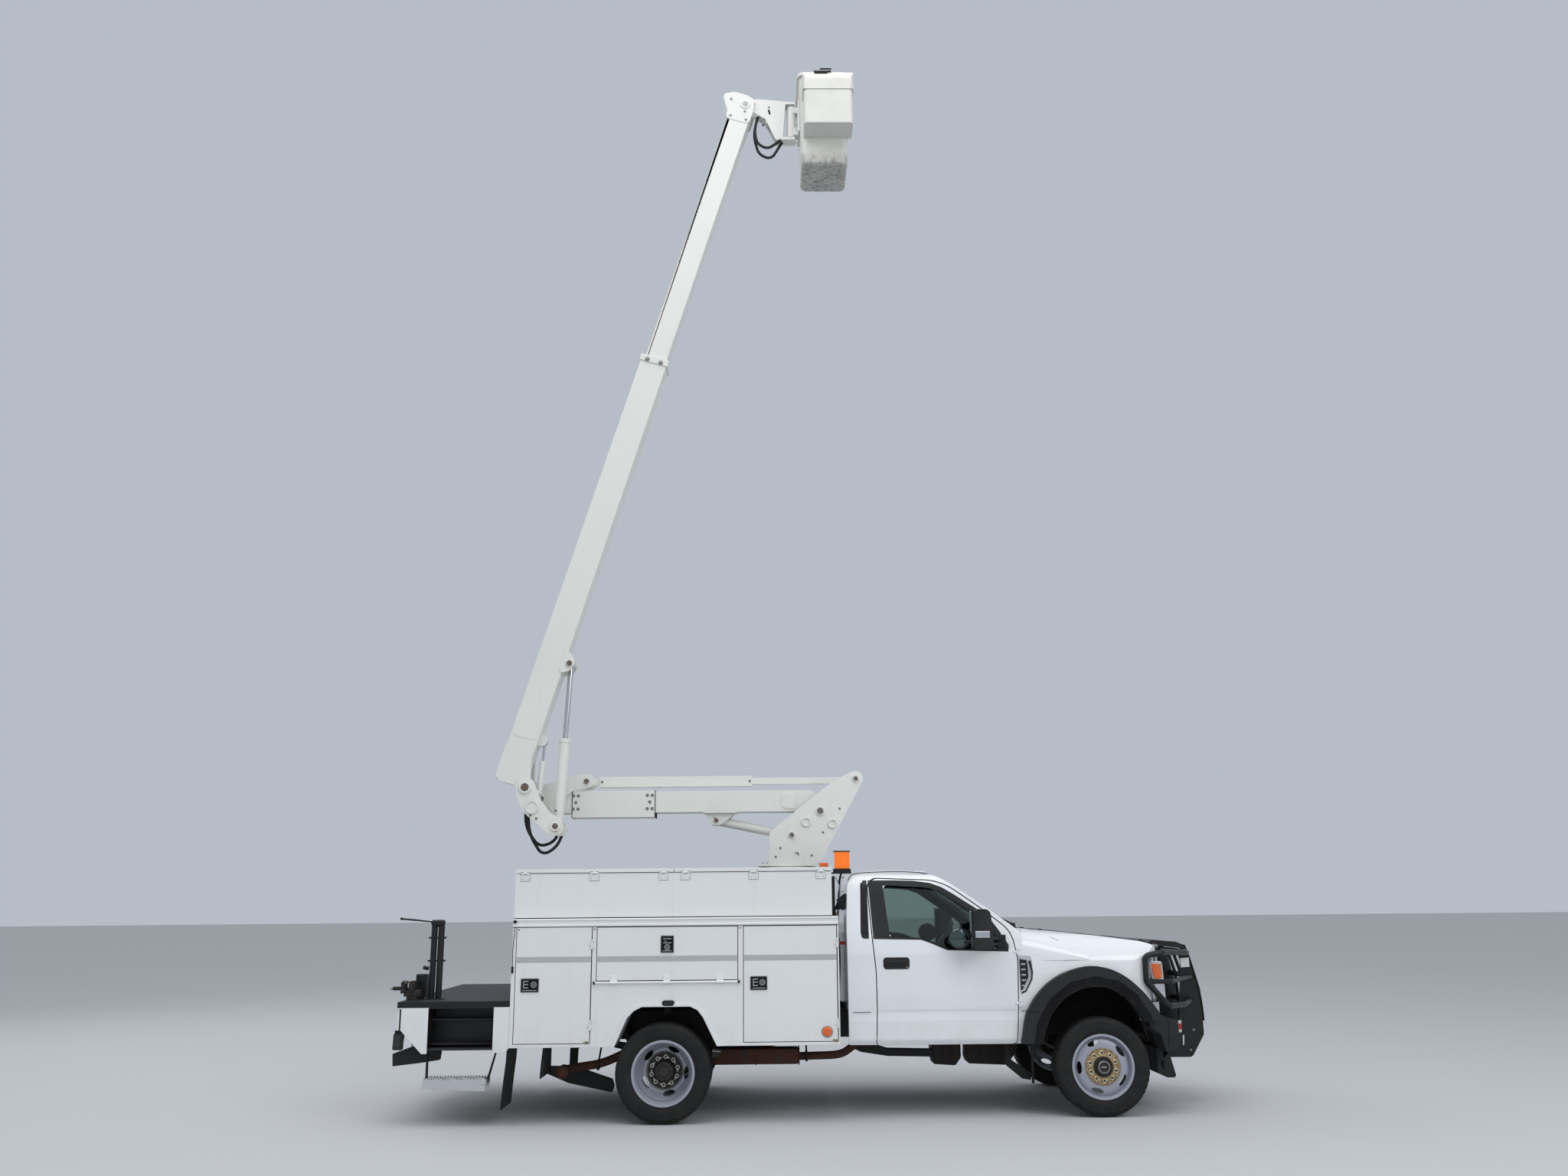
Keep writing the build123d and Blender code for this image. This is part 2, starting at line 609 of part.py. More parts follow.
for s in (-1, 1):
    for a, b in ((478, 501), (519, 542)):
        y0, y1 = sorted((s * a, s * b))
        hood_pocket.append(block(3130, 3147, y0, y1, 1500, 1530))
out["hood"] = cut(fuse(cut(nose & hood_prism, *hood_pocket), *hood_moving), hood_bore)
out["headlamps"] = cut(nose & lamp_gap, block(4150, 4400, -525, 525, 800, 1282))
bars = [block(4262, 4300, -525, 525, z, z + 26) for z in (806, 880, 960, 1040, 1120, 1200, 1256)]
posts = [block(4256, 4296, y - 12, y + 12, 806, 1282) for y in (-512, -260, 0, 260, 512)]
out["grille"] = fuse(*bars, *posts, block(4252, 4258, -525, 525, 806, 1282))
flare_outer = soft_y(FLARE, FLARE_R, -1085, -960)
flare = cut(flare_outer, slab_y(inset(FLARE, 14), -1070, -900), nose_outer, cab_outer)
out["fender_flares"] = both(flare)
LINER = [
    (3190, 600), (3200, 752), (3310, 915), (3470, 1035), (3660, 1080), (3840, 1045), (3985, 935),
    (4085, 768), (4085, 650), (4077, 650), (4077, 766), (3978, 930), (3836, 1037), (3660, 1072),
    (3474, 1027), (3316, 909), (3208, 750), (3198, 600),
]
liner = fuse(slab_y(LINER, -985, -592), cut(slab_y(
    [(3190, 640), (3200, 752), (3310, 915), (3470, 1035), (3660, 1080), (3840, 1045), (3985, 935),
     (4085, 768), (4085, 640)], -600, -592), block(3560, 3820, -700, -500, 600, 700)))
liner = cut(liner, nose, flare)
out["wheel_liners"] = both(liner)
out["bumper"] = fuse(
    slab_z([(4272, -960), (4330, -960), (4393, -700), (4400, 0), (4393, 700), (4330, 960),
            (4272, 960)], 506, 754),
    block(4200, 4272, -RAIL_OUT, -300, 640, 740),
    block(4200, 4272, 300, RAIL_OUT, 640, 740),
    block(4250, 4310, -700, 700, 300, 506),
)
out["bumper"] = cut(out["bumper"], block(4290, 4390, -660, 660, 200, 500))

# Grille guard: a centre frame and a wrap loop before each lamp
guard = []
for s in (-1, 1):
    guard.append(
        soft_y([(4401, 390), (4401, 620), (4570, 640), (4640, 1350), (4680, 1365), (4720, 1250),
                (4790, 965), (4792, 582), (4672, 389)], [0, 0, 0, 15, 15, 150, 150, 70, 50],
               *sorted((s * 340, s * 352)))
    )
    guard.append(
        pipe([(4690, s * 350, 1290), (4610, s * 560, 1300), (4270, s * 1000, 1318),
              (4120, s * 1010, 1290), (4118, s * 1010, 1080), (4300, s * 1000, 876),
              (4500, s * 780, 872), (4700, s * 350, 880)], 25, 45)
    )
    guard.append(pipe([(4118, s * 1010, 1080), (4355, s * 930, 1073), (4720, s * 350, 1080)], 20, 40))
for z, x in ((1300, 4670), (1080, 4735), (860, 4745), (600, 4745), (430, 4640)):
    guard.append(rod((x, -350, z), (x, 350, z), 24))
for y in (-170, 0, 170):
    guard.append(pipe([(4670, y, 1300), (4735, y, 1080), (4745, y, 860), (4745, y, 600)], 14, 30))
guard.append(block(4780, 4815, -60, 60, 640, 720))
guard.append(block(4815, 4850, -18, 18, 660, 706))
guard.append(block(4745, 4785, -350, 350, 590, 610))
guard.append(block(4745, 4785, -90, 90, 590, 720))
guard.append(block(4380, 4420, -352, -340, 520, 740))
guard.append(block(4380, 4420, 340, 352, 520, 740))
out["grille_guard"] = cut(fuse(*guard), out["bumper"], nose_outer)

# Service bodies: hollow side compartments with a raised top box
COMPARTMENTS = [
    ("rear", -1243.0, -613.0, 645.0, 1577.0),
    ("centre", -565.0, 618.0, 1141.0, 1573.0),
    ("front", 671.0, BODY_X[1] - 20, 642.0, 1573.0),
]
BODY_ARCH = [
    (-411, 560), (-411, 602), (-305, 839), (-250, 895), (-181, 928), (222, 928), (285, 898),
    (330, 841), (452, 602), (452, 560),
]
body = block(BODY_X[0], BODY_X[1], BODY_Y[0], BODY_Y[1], BODY_Z[0], BODY_Z[1])
cavities = []
for name, x0, x1, z0, z1 in COMPARTMENTS:
    cavities.append(
        block(x0 - GAP, x1 + GAP, BODY_Y[0] + 16, BODY_Y[1] + 10, z0 - GAP, z1 + GAP)
    )
body = cut(body, *cavities, slab_y(BODY_ARCH, 700, 1300))
body = cut(body, block(BODY_X[0] + 18, BODY_X[1] - 18, 760, 1176, 1598, 1636))
lip = cut(
    slab_y(inset(BODY_ARCH, -26), 1194, 1206), slab_y(BODY_ARCH, 1100, 1300),
    block(-1000, 1000, 1100, 1300, 500, 612),
)
shelf_bits = []
for name, x0, x1, z0, z1 in COMPARTMENTS[::2]:
    shelf_bits.append(block(x0 - GAP, x1 + GAP, BODY_Y[0] + 16, 1136, 1120, 1126))
body = fuse(body, lip, *shelf_bits)
top_box = cut(
    block(BOX_X[0], BOX_X[1], BOX_Y[0], BOX_Y[1], BOX_Z[0], BOX_Z[1]),
    block(BOX_X[0] + 12, BOX_SPLIT - 6, BOX_Y[0] + 12, BOX_Y[1] - 12, BOX_Z[0] + 10, 2100),
    block(BOX_SPLIT + 6, BOX_X[1] - 12, BOX_Y[0] + 12, BOX_Y[1] - 12, BOX_Z[0] + 10, 2100),
)
ry, rz = DROP_ROD
body_hinges = [
    rod((-592, ry, rz), (638, ry, rz), 8),
    block(-592, -574, BODY_Y[1] - 1, ry + 10, rz - 11, rz + 11),
    block(620, 638, BODY_Y[1] - 1, ry + 10, rz - 11, rz + 11),
]
leaf_hinges = {"rear": [], "front": [], "centre": []}
leaf_bores = {"rear": [], "front": [], "centre": []}
for name, x0, x1, z0, z1 in COMPARTMENTS[::2]:
    x = x1 + GAP / 2
    for low in (z0 + 100, z1 - 180):
        fixed, moving, bore, middle = butt_z(x, DOOR_PIN_Y, low, low + 80, 3.5, 7)
        third = middle[0] - low
        reach = min(x + 28, BODY_X[1])
        body_hinges.append(fixed)
        for a, b in ((low, low + third - 1), (low + 80 - third + 1, low + 80)):
            body_hinges.append(block(x + 3.5, reach, BODY_Y[1] - 1, BODY_Y[1] + 4, a, b))
        plate = block(x - 30, x - 3.5, BODY_Y[1] - 1, BODY_Y[1] + 4, *middle)
        leaf_hinges[name].append(fuse(moving, plate))
        leaf_bores[name].append(bore)
for x in (-420, 26, 470):
    bracket = slab_x(
        [(1194, 1142), (1193, 1182), (1199, 1182), (1203, 1124), (1197, 1124), (1196.5, 1139)],
        x - 30, x + 30,
    )
    leaf_hinges["centre"].append(fuse(bracket, rod((x - 30, ry, rz), (x + 30, ry, rz), 11.5)))
    leaf_bores["centre"].append(rod((x - 40, ry, rz), (x + 40, ry, rz), 8 + RUN_FIT))
ly, lz_pin = LID_PIN
lid_moving = []
lid_notches = []
lid_bores = []
for x in LID_HINGES:
    body_hinges.append(rod((x - 36, ly, lz_pin), (x + 36, ly, lz_pin), 3.5))
    body_hinges.append(block(x - 36, x + 36, BOX_Y[1] - 1, BOX_Y[1] + 3, 1975, 2010))
    for a, b in ((x - 36, x - 13), (x + 13, x + 36)):
        body_hinges.append(rod((a, ly, lz_pin), (b, ly, lz_pin), 7))
        body_hinges.append(block(a, b, BOX_Y[1] - 1, BOX_Y[1] + 4, 2008, lz_pin))
    lid_moving.append(
        (x, fuse(rod((x - 12, ly, lz_pin), (x + 12, ly, lz_pin), 7),
                 block(x - 12, x + 12, BOX_Y[1] + 3, BOX_Y[1] + 7, lz_pin, 2046)))
    )
    lid_notches.append(block(x - 39, x + 39, BOX_Y[1] - 2, BOX_Y[1] + 20, 2015, 2038))
    lid_bores.append(rod((x - 40, ly, lz_pin), (x + 40, ly, lz_pin), 3.5 + RUN_FIT))
body = fuse(body, top_box, *body_hinges)
out["body_l"] = body
out["body_r"] = mirrored(body)
for name, x0, x1, z0, z1 in COMPARTMENTS:
    panel = block(x0, x1, BODY_Y[1] - DOOR_T, BODY_Y[1], z0, z1)
    stiff = cut(
        block(x0 + 30, x1 - 30, BODY_Y[1] - DOOR_T - 26, BODY_Y[1] - DOOR_T, z0 + 30, z1 - 30),
        block(x0 + 60, x1 - 60, BODY_Y[1] - 80, BODY_Y[1], z0 + 60, z1 - 60),
    )
    if name == "centre":
        latch = block(-28, 79, BODY_Y[1], BODY_Y[1] + 8, 1364, 1501)
    elif name == "rear":
        latch = block(-1194, -1046, BODY_Y[1], BODY_Y[1] + 8, 1055, 1164)
    else:
        latch = block(727, 866, BODY_Y[1], BODY_Y[1] + 8, 1056, 1165)
    leaf = cut(fuse(panel, stiff, latch, *leaf_hinges[name]), *leaf_bores[name])
    out["body_door_" + name + "_l"] = leaf
    out["body_door_" + name + "_r"] = mirrored(leaf)
for name, x0, x1 in (("rear", BOX_X[0] - 2, BOX_SPLIT - 3), ("front", BOX_SPLIT + 3, BOX_X[1] + 2)):
    lid = cut(
        block(x0, x1, BOX_Y[0] - 3, BOX_Y[1] + 6, 2030, 2060),
        block(x0 + 3, x1 - 3, BOX_Y[0], BOX_Y[1] + 3, 2020, 2056),
        *lid_notches,
    )
    lid = fuse(lid, *[shape for x, shape in lid_moving if x0 < x < x1])
    lid = cut(lid, *lid_bores)
    out["box_lid_" + name + "_l"] = lid
    out["box_lid_" + name + "_r"] = mirrored(lid)

# Cargo deck, its cross beams, front bulkhead and the pedestal under the turret
beams = []
for x in (-1240, -640, 0, 640, 1040 + REACH, 1400 + REACH):
    beams.append(block(x - 30, x + 30, -740, 740, RAIL_Z[1], 920))
out["cargo_deck"] = fuse(
    block(BODY_X[0], BODY_X[1], -740, 740, 920, 940),
    block(BODY_X[1] - 18, BODY_X[1], -740, 740, 940, 1648),
    *beams,
)
out["pedestal"] = fuse(
    cut(block(815, 1315, -230, 230, 940, 2050), block(835, 1295, -210, 210, 960, 2030)),
    block(760, 1370, -290, 290, 940, 962),
    rod((TURRET_X, 0, 2050), (TURRET_X, 0, 2087), 260),
    rod((TURRET_X, 0, 2087), (TURRET_X, 0, 2104), 180),
    slab_y([(1315, 962), (1368, 962), (1315, 1160)], -120, -108),
    slab_y([(1315, 962), (1368, 962), (1315, 1160)], 108, 120),
)

# Tail shelf with skirts, step wells and hitch
skirt_rear = [(-2180, 940), (-1954, 940), (-1954, 574), (-1997, 574), (-2180, 763)]
skirt_front = [(-1412, 940), (-1281, 940), (-1281, 612), (-1300, 577), (-1412, 577)]
shelf = [block(-2215, -1280, -1194, 1194, 930, 985)]
for s in (-1, 1):
    y0, y1 = sorted((s * 1172, s * 1194))
    w0, w1 = sorted((s * 930, s * 1194))
    t0, t1 = sorted((s * 930, s * 1060))
    u0, u1 = sorted((s * 930, s * 1180))
    b0, b1 = sorted((s * 930, s * 942))
    shelf.append(slab_y(skirt_rear, y0, y1))
    shelf.append(slab_y(skirt_front, y0, y1))
    shelf.append(block(-1966, -1954, w0, w1, 598, 940))
    shelf.append(block(-1412, -1400, w0, w1, 598, 940))
    shelf.append(block(-1966, -1400, b0, b1, 598, 940))
    shelf.append(block(-1958, -1408, t0, t1, 824, 838))
    shelf.append(block(-1958, -1408, u0, u1, 598, 612))
    shelf.append(block(-1958, -1408, t0, t1, 630, 643))
    r0, r1 = sorted((s * 360, s * RAIL_OUT))
    shelf.append(block(-2170, -1290, r0, r1, RAIL_Z[1], 930))
shelf.append(block(-2215, -2195, -1180, 1180, 760, 930))
shelf.append(block(-2240, -2215, -500, 500, 480, 930))
shelf.append(block(-2216, -2180, -500, 500, 560, 780))
shelf.append(block(-2215, -2180, -120, 120, 480, 600))
out["tail_shelf"] = fuse(*shelf)
out["hitch"] = cut(
    block(-2285, -2240, -150, 150, 500, 700), pin_y(-2262, 560, -80, -40, 20)
)
step = cut(
    block(-1977, -1455, -1175, -1010, 330, 372), block(-1960, -1472, -1158, -1027, 320, 380)
)
treads = [block(-1977 + i * 58, -1977 + i * 58 + 14, -1175, -1010, 330, 372) for i in range(9)]
hang = [
    slab_y([(-1974, 640), (-1966, 640), (-1966, 590), (-1961, 340), (-1973, 340), (-1974, 590)],
           -1110, -1060),
    slab_y([(-1400, 640), (-1392, 640), (-1392, 590), (-1457, 340), (-1471, 340), (-1400, 590)],
           -1110, -1060),
]
out["hanging_step"] = fuse(step, *treads, *hang)
out["hanging_step"] = cut(out["hanging_step"], out["tail_shelf"])
out["grab_post"] = fuse(
    rod((-2010, -900, 985), (-2010, -900, 1640), 24),
    rod((-1948, -900, 985), (-1948, -900, 1640), 24),
    rod((-2010, -900, 1600), (-1948, -900, 1600), 14),
    rod((-1990, -900, 1628), (-2290, -900, 1655), 8),
    block(-2045, -1915, -940, -860, 985, 1000),
)
out["bench_vise"] = fuse(
    rod((-2120, -1080, 985), (-2120, -1080, 1030), 55),
    block(-2180, -2060, -1110, -1050, 1025, 1070),
    block(-2215, -2180, -1120, -1040, 1060, 1140),
    block(-2150, -2112, -1120, -1040, 1060, 1140),
    rod((-2280, -1080, 1085), (-2100, -1080, 1085), 12),
)
out["mud_flaps"] = both(
    fuse(block(-1279, -1267, 700, 1180, 180, 612), block(-1000, -988, 760, 1140, 380, 600),
         block(-1278, -1255, 745, 1180, 600, 612), block(-1000, -988, 760, 1140, 590, 612))
)
out["beacon"] = fuse(
    block(1426, 1615, -880, -760, 2008, 2020),
    block(1461, 1609, -880, -740, 2020, 2048),
    block(1468, 1602, -872, -748, 2048, 2205),
)

# Turret: side plates on a base, with cross tubes between them
TURRET_LINE = [
    (890, 2118), (1345, 2118), (1376, 2128), (1511, 2379), (1788, 2880), (1786, 2930),
    (1752, 2965), (1700, 2972), (1650, 2950), (1484, 2864), (958, 2453), (897, 2399),
]
TURRET_R = [10, 10, 40, 40, 90, 60, 60, 60, 60, 40, 40, 40]
plate = soft_y(TURRET_LINE, TURRET_R, PLATE_OUT - 14, PLATE_OUT)
plate = cut(plate, pin_y(1152, 2199, 100, 300, 22))
heads = []
for (x, z), r in ((ARM_PIN, 42), (LINK_PIN, 34), (ARM_CYL_END, 30)):
    heads.append(pin_y(x, z, PLATE_OUT, PLATE_OUT + 14, r))
tubes = []
for x, z, r in ((1241, 2497, 40), (1488, 2480, 40)):
    tubes.append(pin_y(x, z, -PLATE_OUT - 3, PLATE_OUT + 3, r))
side_plate = fuse(plate, *heads)
out["turret"] = fuse(
    cut(block(790, 1340, -PLATE_OUT, PLATE_OUT, 2093, 2118),
        rod((TURRET_X, 0, 2080), (TURRET_X, 0, 2106), 180.06)),
    side_plate,
    mirrored(side_plate),
    *tubes,
    slab_y([(930, 2118), (952, 2118), (1010, 2440), (985, 2440)], -PLATE_OUT + 14, PLATE_OUT - 14)
    & block(900, 1100, -300, 300, 2118, 2300),
    pin_y(*ARM_PIN, -PLATE_OUT, -ARM_HALF - 6, 34),
    pin_y(*ARM_PIN, ARM_HALF + 6, PLATE_OUT, 34),
    pin_y(*ARM_PIN, -PLATE_OUT, PLATE_OUT, 22),
    pin_y(*LINK_PIN, -PLATE_OUT, PLATE_OUT, 18),
    pin_y(*ARM_CYL_END, -PLATE_OUT, -62, 26),
    pin_y(*ARM_CYL_END, 62, PLATE_OUT, 26),
)

# Lower arm: box section above its pins, with the sleeve over its insulating length
ax0, az = ARM_PIN
ex0 = ARM_PIN_E[0]
ARM_HEAD = [
    (1120, 2803), (1120, 2600), (1240, 2560), (1330, 2545), (1420, 2560), (1440, 2610),
    (1420, 2660), (1300, 2803),
]
ARM_TAIL = [
    (ex0 + 160, 2803), (ex0 - 20, 2803), (ex0 - 48, 2640), (ex0 - 40, 2565), (ex0 + 40, 2560),
    (ex0 + 80, 2600), (ex0 + 160, 2603),
]
ARM_LUG = [
    (290, 2603), (570, 2603), (540, 2560), (440, 2488), (390, 2478), (345, 2490), (310, 2560),
]
arm = [
    cut(block(ex0 - 20, 1300, -ARM_HALF, ARM_HALF, 2603, 2802),
        block(ex0 - 10, 1290, -ARM_HALF + 9, ARM_HALF - 9, 2612, 2793)),
    soft_y(ARM_HEAD, 70, -ARM_HALF, -ARM_HALF + 30),
    soft_y(ARM_HEAD, 70, ARM_HALF - 30, ARM_HALF),
    block(1180, 1290, -ARM_HALF, ARM_HALF, 2612, 2793),
    soft_y(ARM_TAIL, 50, -ARM_HALF, -ARM_HALF + 26),
    soft_y(ARM_TAIL, 50, ARM_HALF - 26, ARM_HALF),
    soft_y(ARM_LUG, 60, -72, -58),
    soft_y(ARM_LUG, 60, 58, 72),
    block(270, 590, -ARM_HALF, ARM_HALF, 2594, 2603),
    pin_y(*ARM_CYL_BASE, -84, -58, 28),
    pin_y(*ARM_CYL_BASE, 58, 84, 28),
    pin_y(*ARM_CYL_BASE, -70, 70, 18),
]
lower_arm = cut(
    fuse(*arm), pin_y(*ARM_PIN, -150, 150, 22.06), pin_y(*ARM_PIN_E, -150, 150, 22.06),
    block(1293, 1480, -ARM_HALF + 31, ARM_HALF - 31, 2500, 2900),
)
out["lower_arm"] = lower_arm
sleeve = cut(
    block(ex0 + 205, ex0 + 993, -ARM_HALF - 5, ARM_HALF + 5, 2560, 2808),
    block(ex0 + 186, ex0 + 1016, -ARM_HALF, ARM_HALF, 2603, 2802),
    block(ex0 + 186, ex0 + 1016, -ARM_HALF + 10, ARM_HALF - 10, 2570, 2595),
)
out["arm_sleeve"] = sleeve

# Lift cylinder of the lower arm: barrel pinned under the arm, rod eye in the turret
bx, bz = ARM_CYL_BASE
cx, cz = ARM_CYL_END
clen = math.hypot(cx - bx, cz - bz)
ux, uz = (cx - bx) / clen, (cz - bz) / clen


def along(base, d, s, n=0.0, y=0.0):
    return (base[0] + d[0] * s - d[1] * n, y, base[1] + d[1] * s + d[0] * n)


AD = (ux, uz)
out["arm_cyl_barrel"] = cut(
    fuse(
        rod(along(ARM_CYL_BASE, AD, 0), along(ARM_CYL_BASE, AD, clen - 110), 42),
        rod(along(ARM_CYL_BASE, AD, clen - 150), along(ARM_CYL_BASE, AD, clen - 100), 48),
        pin_y(bx, bz, -50, 50, 40),
        block(bx + 40, bx + 80, -16, 16, bz - 10, bz + 60),
    ),
    rod(along(ARM_CYL_BASE, AD, 62), along(ARM_CYL_BASE, AD, clen - 140), 30),
    rod(along(ARM_CYL_BASE, AD, clen - 150), along(ARM_CYL_BASE, AD, clen), 24 + RUN_FIT),
    pin_y(bx, bz, -60, 60, 18 + RUN_FIT),
)
out["arm_cyl_rod"] = fuse(
    rod(along(ARM_CYL_BASE, AD, 100), along(ARM_CYL_BASE, AD, clen), 24),
    pin_y(cx, cz, -50, 50, 40),
)

# Compensating link above the lower arm
link = [
    block(ex0 + 451, 736, -45, 45, 2849, 2947),
    block(LINK_PIN_E[0], ex0 + 476, -32, 32, 2869, 2929),
    block(700, LINK_PIN[0], -32, 32, 2869, 2929),
    pin_y(*LINK_PIN, -38, 38, 46),
    pin_y(*LINK_PIN_E, -38, 38, 46),
]
out["comp_link"] = cut(
    fuse(*link), pin_y(*LINK_PIN, -90, 90, 18.06), pin_y(*LINK_PIN_E, -90, 90, 18.06)
)

# Elbow: arm cheeks with the riser, boom cheeks outboard, joined by a cross tube
CHEEK = [
    (-1345, 2520), (-1120, 2515), (-1096, 2600), (-1110, 2690), (-960, 2812), (-770, 2850),
    (-768, 2930), (-800, 2962), (-880, 2972), (-1240, 2872), (-1345, 2760),
]
BOOM_CHEEK = [
    (-1440, 2830), (-1424, 2880), (-1370, 2908), (-1310, 2902), (-1265, 2860), (-1210, 2720),
    (-1120, 2590), (-1010, 2520), (-985, 2450), (-1000, 2395), (-1060, 2378), (-1130, 2400),
    (-1250, 2500), (-1360, 2590), (-1420, 2730),
]
CHEEK = [(x + ELBOW_X + 1176, z) for x, z in CHEEK]
BOOM_CHEEK = [(x + ELBOW_X + 1176, z) for x, z in BOOM_CHEEK]
near0, near1 = BOOM_Y - 132, BOOM_Y - 118
far0, far1 = BOOM_Y + 118, BOOM_Y + 132
elbow_hoses = [
    hose([(ELBOW_X - 224, -200, 2700), (ELBOW_X - 204, -190, 2450), (ELBOW_X - 80, -185, 2290),
          (ELBOW_X + 56, -180, 2330), (ELBOW_X + 126, -175, 2480)], 14),
    hose([(ELBOW_X - 196, -218, 2690), (ELBOW_X - 169, -220, 2400), (ELBOW_X - 40, -218, 2205),
          (ELBOW_X + 96, -216, 2290), (ELBOW_X + 156, -212, 2455)], 14),
]
out["elbow_hoses"] = group(*elbow_hoses)
elbow = [
    block(ELBOW_X - 247, ELBOW_X - 174, -249, -180, 2664, 2694),
    block(ELBOW_X + 96, ELBOW_X + 178, -249, -160, 2430, 2462),
    soft_y(CHEEK, 60, -131, -117),
    soft_y(CHEEK, 60, 117, 131),
    block(ELBOW_X - 169, ELBOW_X - 142, -117, 117, 2540, 2740),
    soft_y(BOOM_CHEEK, 70, near0, near1),
    soft_y(BOOM_CHEEK, 70, far0, far1),
    pin_y(ELBOW_X - 104, 2634, near0 - 6, -117, 57),
    pin_y(ELBOW_X - 124, 2570, far1, -117, 30),
    pin_y(*BOOM_PIN, near0 - 14, far1 + 6, 26),
    pin_y(BOOM_PIN[0], BOOM_PIN[1], near0 - 14, near0, 52),
    pin_y(*ARM_PIN_E, -145, 145, 22),
    pin_y(ARM_PIN_E[0], ARM_PIN_E[1], -147, -131, 40),
    pin_y(ARM_PIN_E[0], ARM_PIN_E[1], 131, 147, 40),
    pin_y(*LINK_PIN_E, -145, 145, 18),
    pin_y(BOOM_CYL_BASE[0], BOOM_CYL_BASE[1], near0 - 12, near1, 34),
    pin_y(BOOM_CYL_BASE[0], BOOM_CYL_BASE[1], far0, far1 + 12, 34),
    pin_y(*BOOM_CYL_BASE, near0, BOOM_Y - 56, 26),
    pin_y(*BOOM_CYL_BASE, BOOM_Y + 56, far1, 26),
    pin_y(*BOOM_CYL_BASE, near0, far1, 20),
    pin_y(*LEVEL_BASE, near1, BOOM_Y - 34, 20),
    pin_y(*LEVEL_BASE, BOOM_Y + 34, far0, 20),
    pin_y(*LEVEL_BASE, near0, far1, 12),
]
out["elbow"] = cut(fuse(*elbow), *elbow_hoses)

# Upper boom, drawn level from its pin and raised to its angle
BOOM_UP = Pos(BOOM_PIN[0], BOOM_Y, BOOM_PIN[1]) * Rot(0, -BOOM_TILT, 0)


def raised(shape):
    return BOOM_UP * shape


def boom_point(s, n):
    a = math.radians(BOOM_TILT)
    return (
        BOOM_PIN[0] + s * math.cos(a) - n * math.sin(a),
        BOOM_PIN[1] + s * math.sin(a) + n * math.cos(a),
    )


oh, ow = OUTER_HALF
n0, n1 = BOOM_N - oh, BOOM_N + oh
tube_outer = cut(
    block(0, OUTER_LEN, -ow, ow, n0, n1), block(30, OUTER_LEN + 10, -ow + 10, ow - 10, n0 + 10, n1 - 10)
)
hip = [
    (-8, 305), (-8, 120), (-62, 40), (-60, -30), (-20, -66), (45, -62), (80, -20), (260, 31),
    (420, 60), (420, 305),
]
HIP_R = [60, 12, 60, 60, 60, 60, 60, 400, 60, 130]
lug = [(1090, 60), (1150, -40), (1190, -58), (1240, -58), (1280, -40), (1345, 60)]
boom_bits = [
    tube_outer,
    soft_y(hip, HIP_R, -ow - 4, -ow + 20),
    soft_y(hip, HIP_R, ow - 20, ow + 4),
    soft_y(lug, 60, -ow - 6, -ow),
    soft_y(lug, 60, ow, ow + 6),
    pin_y(BOOM_CYL_TOP[0], BOOM_CYL_TOP[1], -ow - 20, -ow + 0, 34),
    pin_y(BOOM_CYL_TOP[0], BOOM_CYL_TOP[1], ow - 0, ow + 20, 34),
    slab_y([(400, 32), (410, -20), (440, -40), (475, -40), (505, -20), (515, 32)], -46, -34),
    slab_y([(400, 32), (410, -20), (440, -40), (475, -40), (505, -20), (515, 32)], 34, 46),
    cut(block(OUTER_LEN - 60, OUTER_LEN + 6, -ow - 10, ow + 10, n0 - 12, n1 + 12),
        block(OUTER_LEN - 70, OUTER_LEN + 10, -INNER_HALF[1] - 6, INNER_HALF[1] + 6,
              BOOM_N - INNER_HALF[0] - 6, BOOM_N + INNER_HALF[0] + 6)),
]
ih, iw = INNER_HALF
PAD = 0.3
for s0, s1 in ((OUTER_LEN - 50, OUTER_LEN),):
    for t in (-1, 1):
        na, nb = sorted((BOOM_N + t * (ih + PAD), BOOM_N + t * (ih + 14)))
        ya, yb = sorted((t * (iw + PAD), t * (iw + 14)))
        boom_bits.append(block(s0, s1, -60, 60, na, nb))
        boom_bits.append(block(s0, s1, ya, yb, BOOM_N - 70, BOOM_N + 70))
outer_boom = cut(
    fuse(*boom_bits), pin_y(0, 0, -200, 200, 26.06),
    block(-90, 120, -ow + 21, ow - 21, -90, 20),
    block(85, 430, -ow + 10, ow - 10, n0 + 10, n1 - 10),
)
out["outer_boom"] = raised(outer_boom)
i0, i1 = BOOM_N - ih, BOOM_N + ih
TIP_CAP = [
    (7210, 36), (7210, 290), (7300, 300), (7440, 385), (7480, 385), (7505, 340), (7530, 290),
    (7530, 150), (7500, 60), (7370, 36),
]
inner_pads = []
for t in (-1, 1):
    na, nb = sorted((BOOM_N + t * (ih - 4), BOOM_N + t * (oh - 10 - PAD)))
    ya, yb = sorted((t * (iw - 4), t * (ow - 10 - PAD)))
    inner_pads.append(block(INNER_S[0], INNER_S[0] + 60, -60, 60, na, nb))
    inner_pads.append(block(INNER_S[0], INNER_S[0] + 60, ya, yb, BOOM_N - 70, BOOM_N + 70))
inner_boom = fuse(
    *inner_pads,
    cut(block(INNER_S[0], INNER_S[1], -iw, iw, i0, i1),
        block(INNER_S[0] + 20, INNER_S[1] - 60, -iw + 9, iw - 9, i0 + 9, i1 - 9)),
    soft_y(TIP_CAP, 45, -iw - 6, -iw),
    soft_y(TIP_CAP, 45, iw, iw + 6),
    slab_y([(7330, 60), (7330, 280), (7440, 380), (7470, 380), (7380, 260)], -iw, iw)
    & block(7300, 7480, -100, 100, 240, 400),
)
inner_boom = cut(inner_boom, pin_y(*TIP_PIN, -200, 200, 25.06))
out["inner_boom"] = raised(inner_boom)

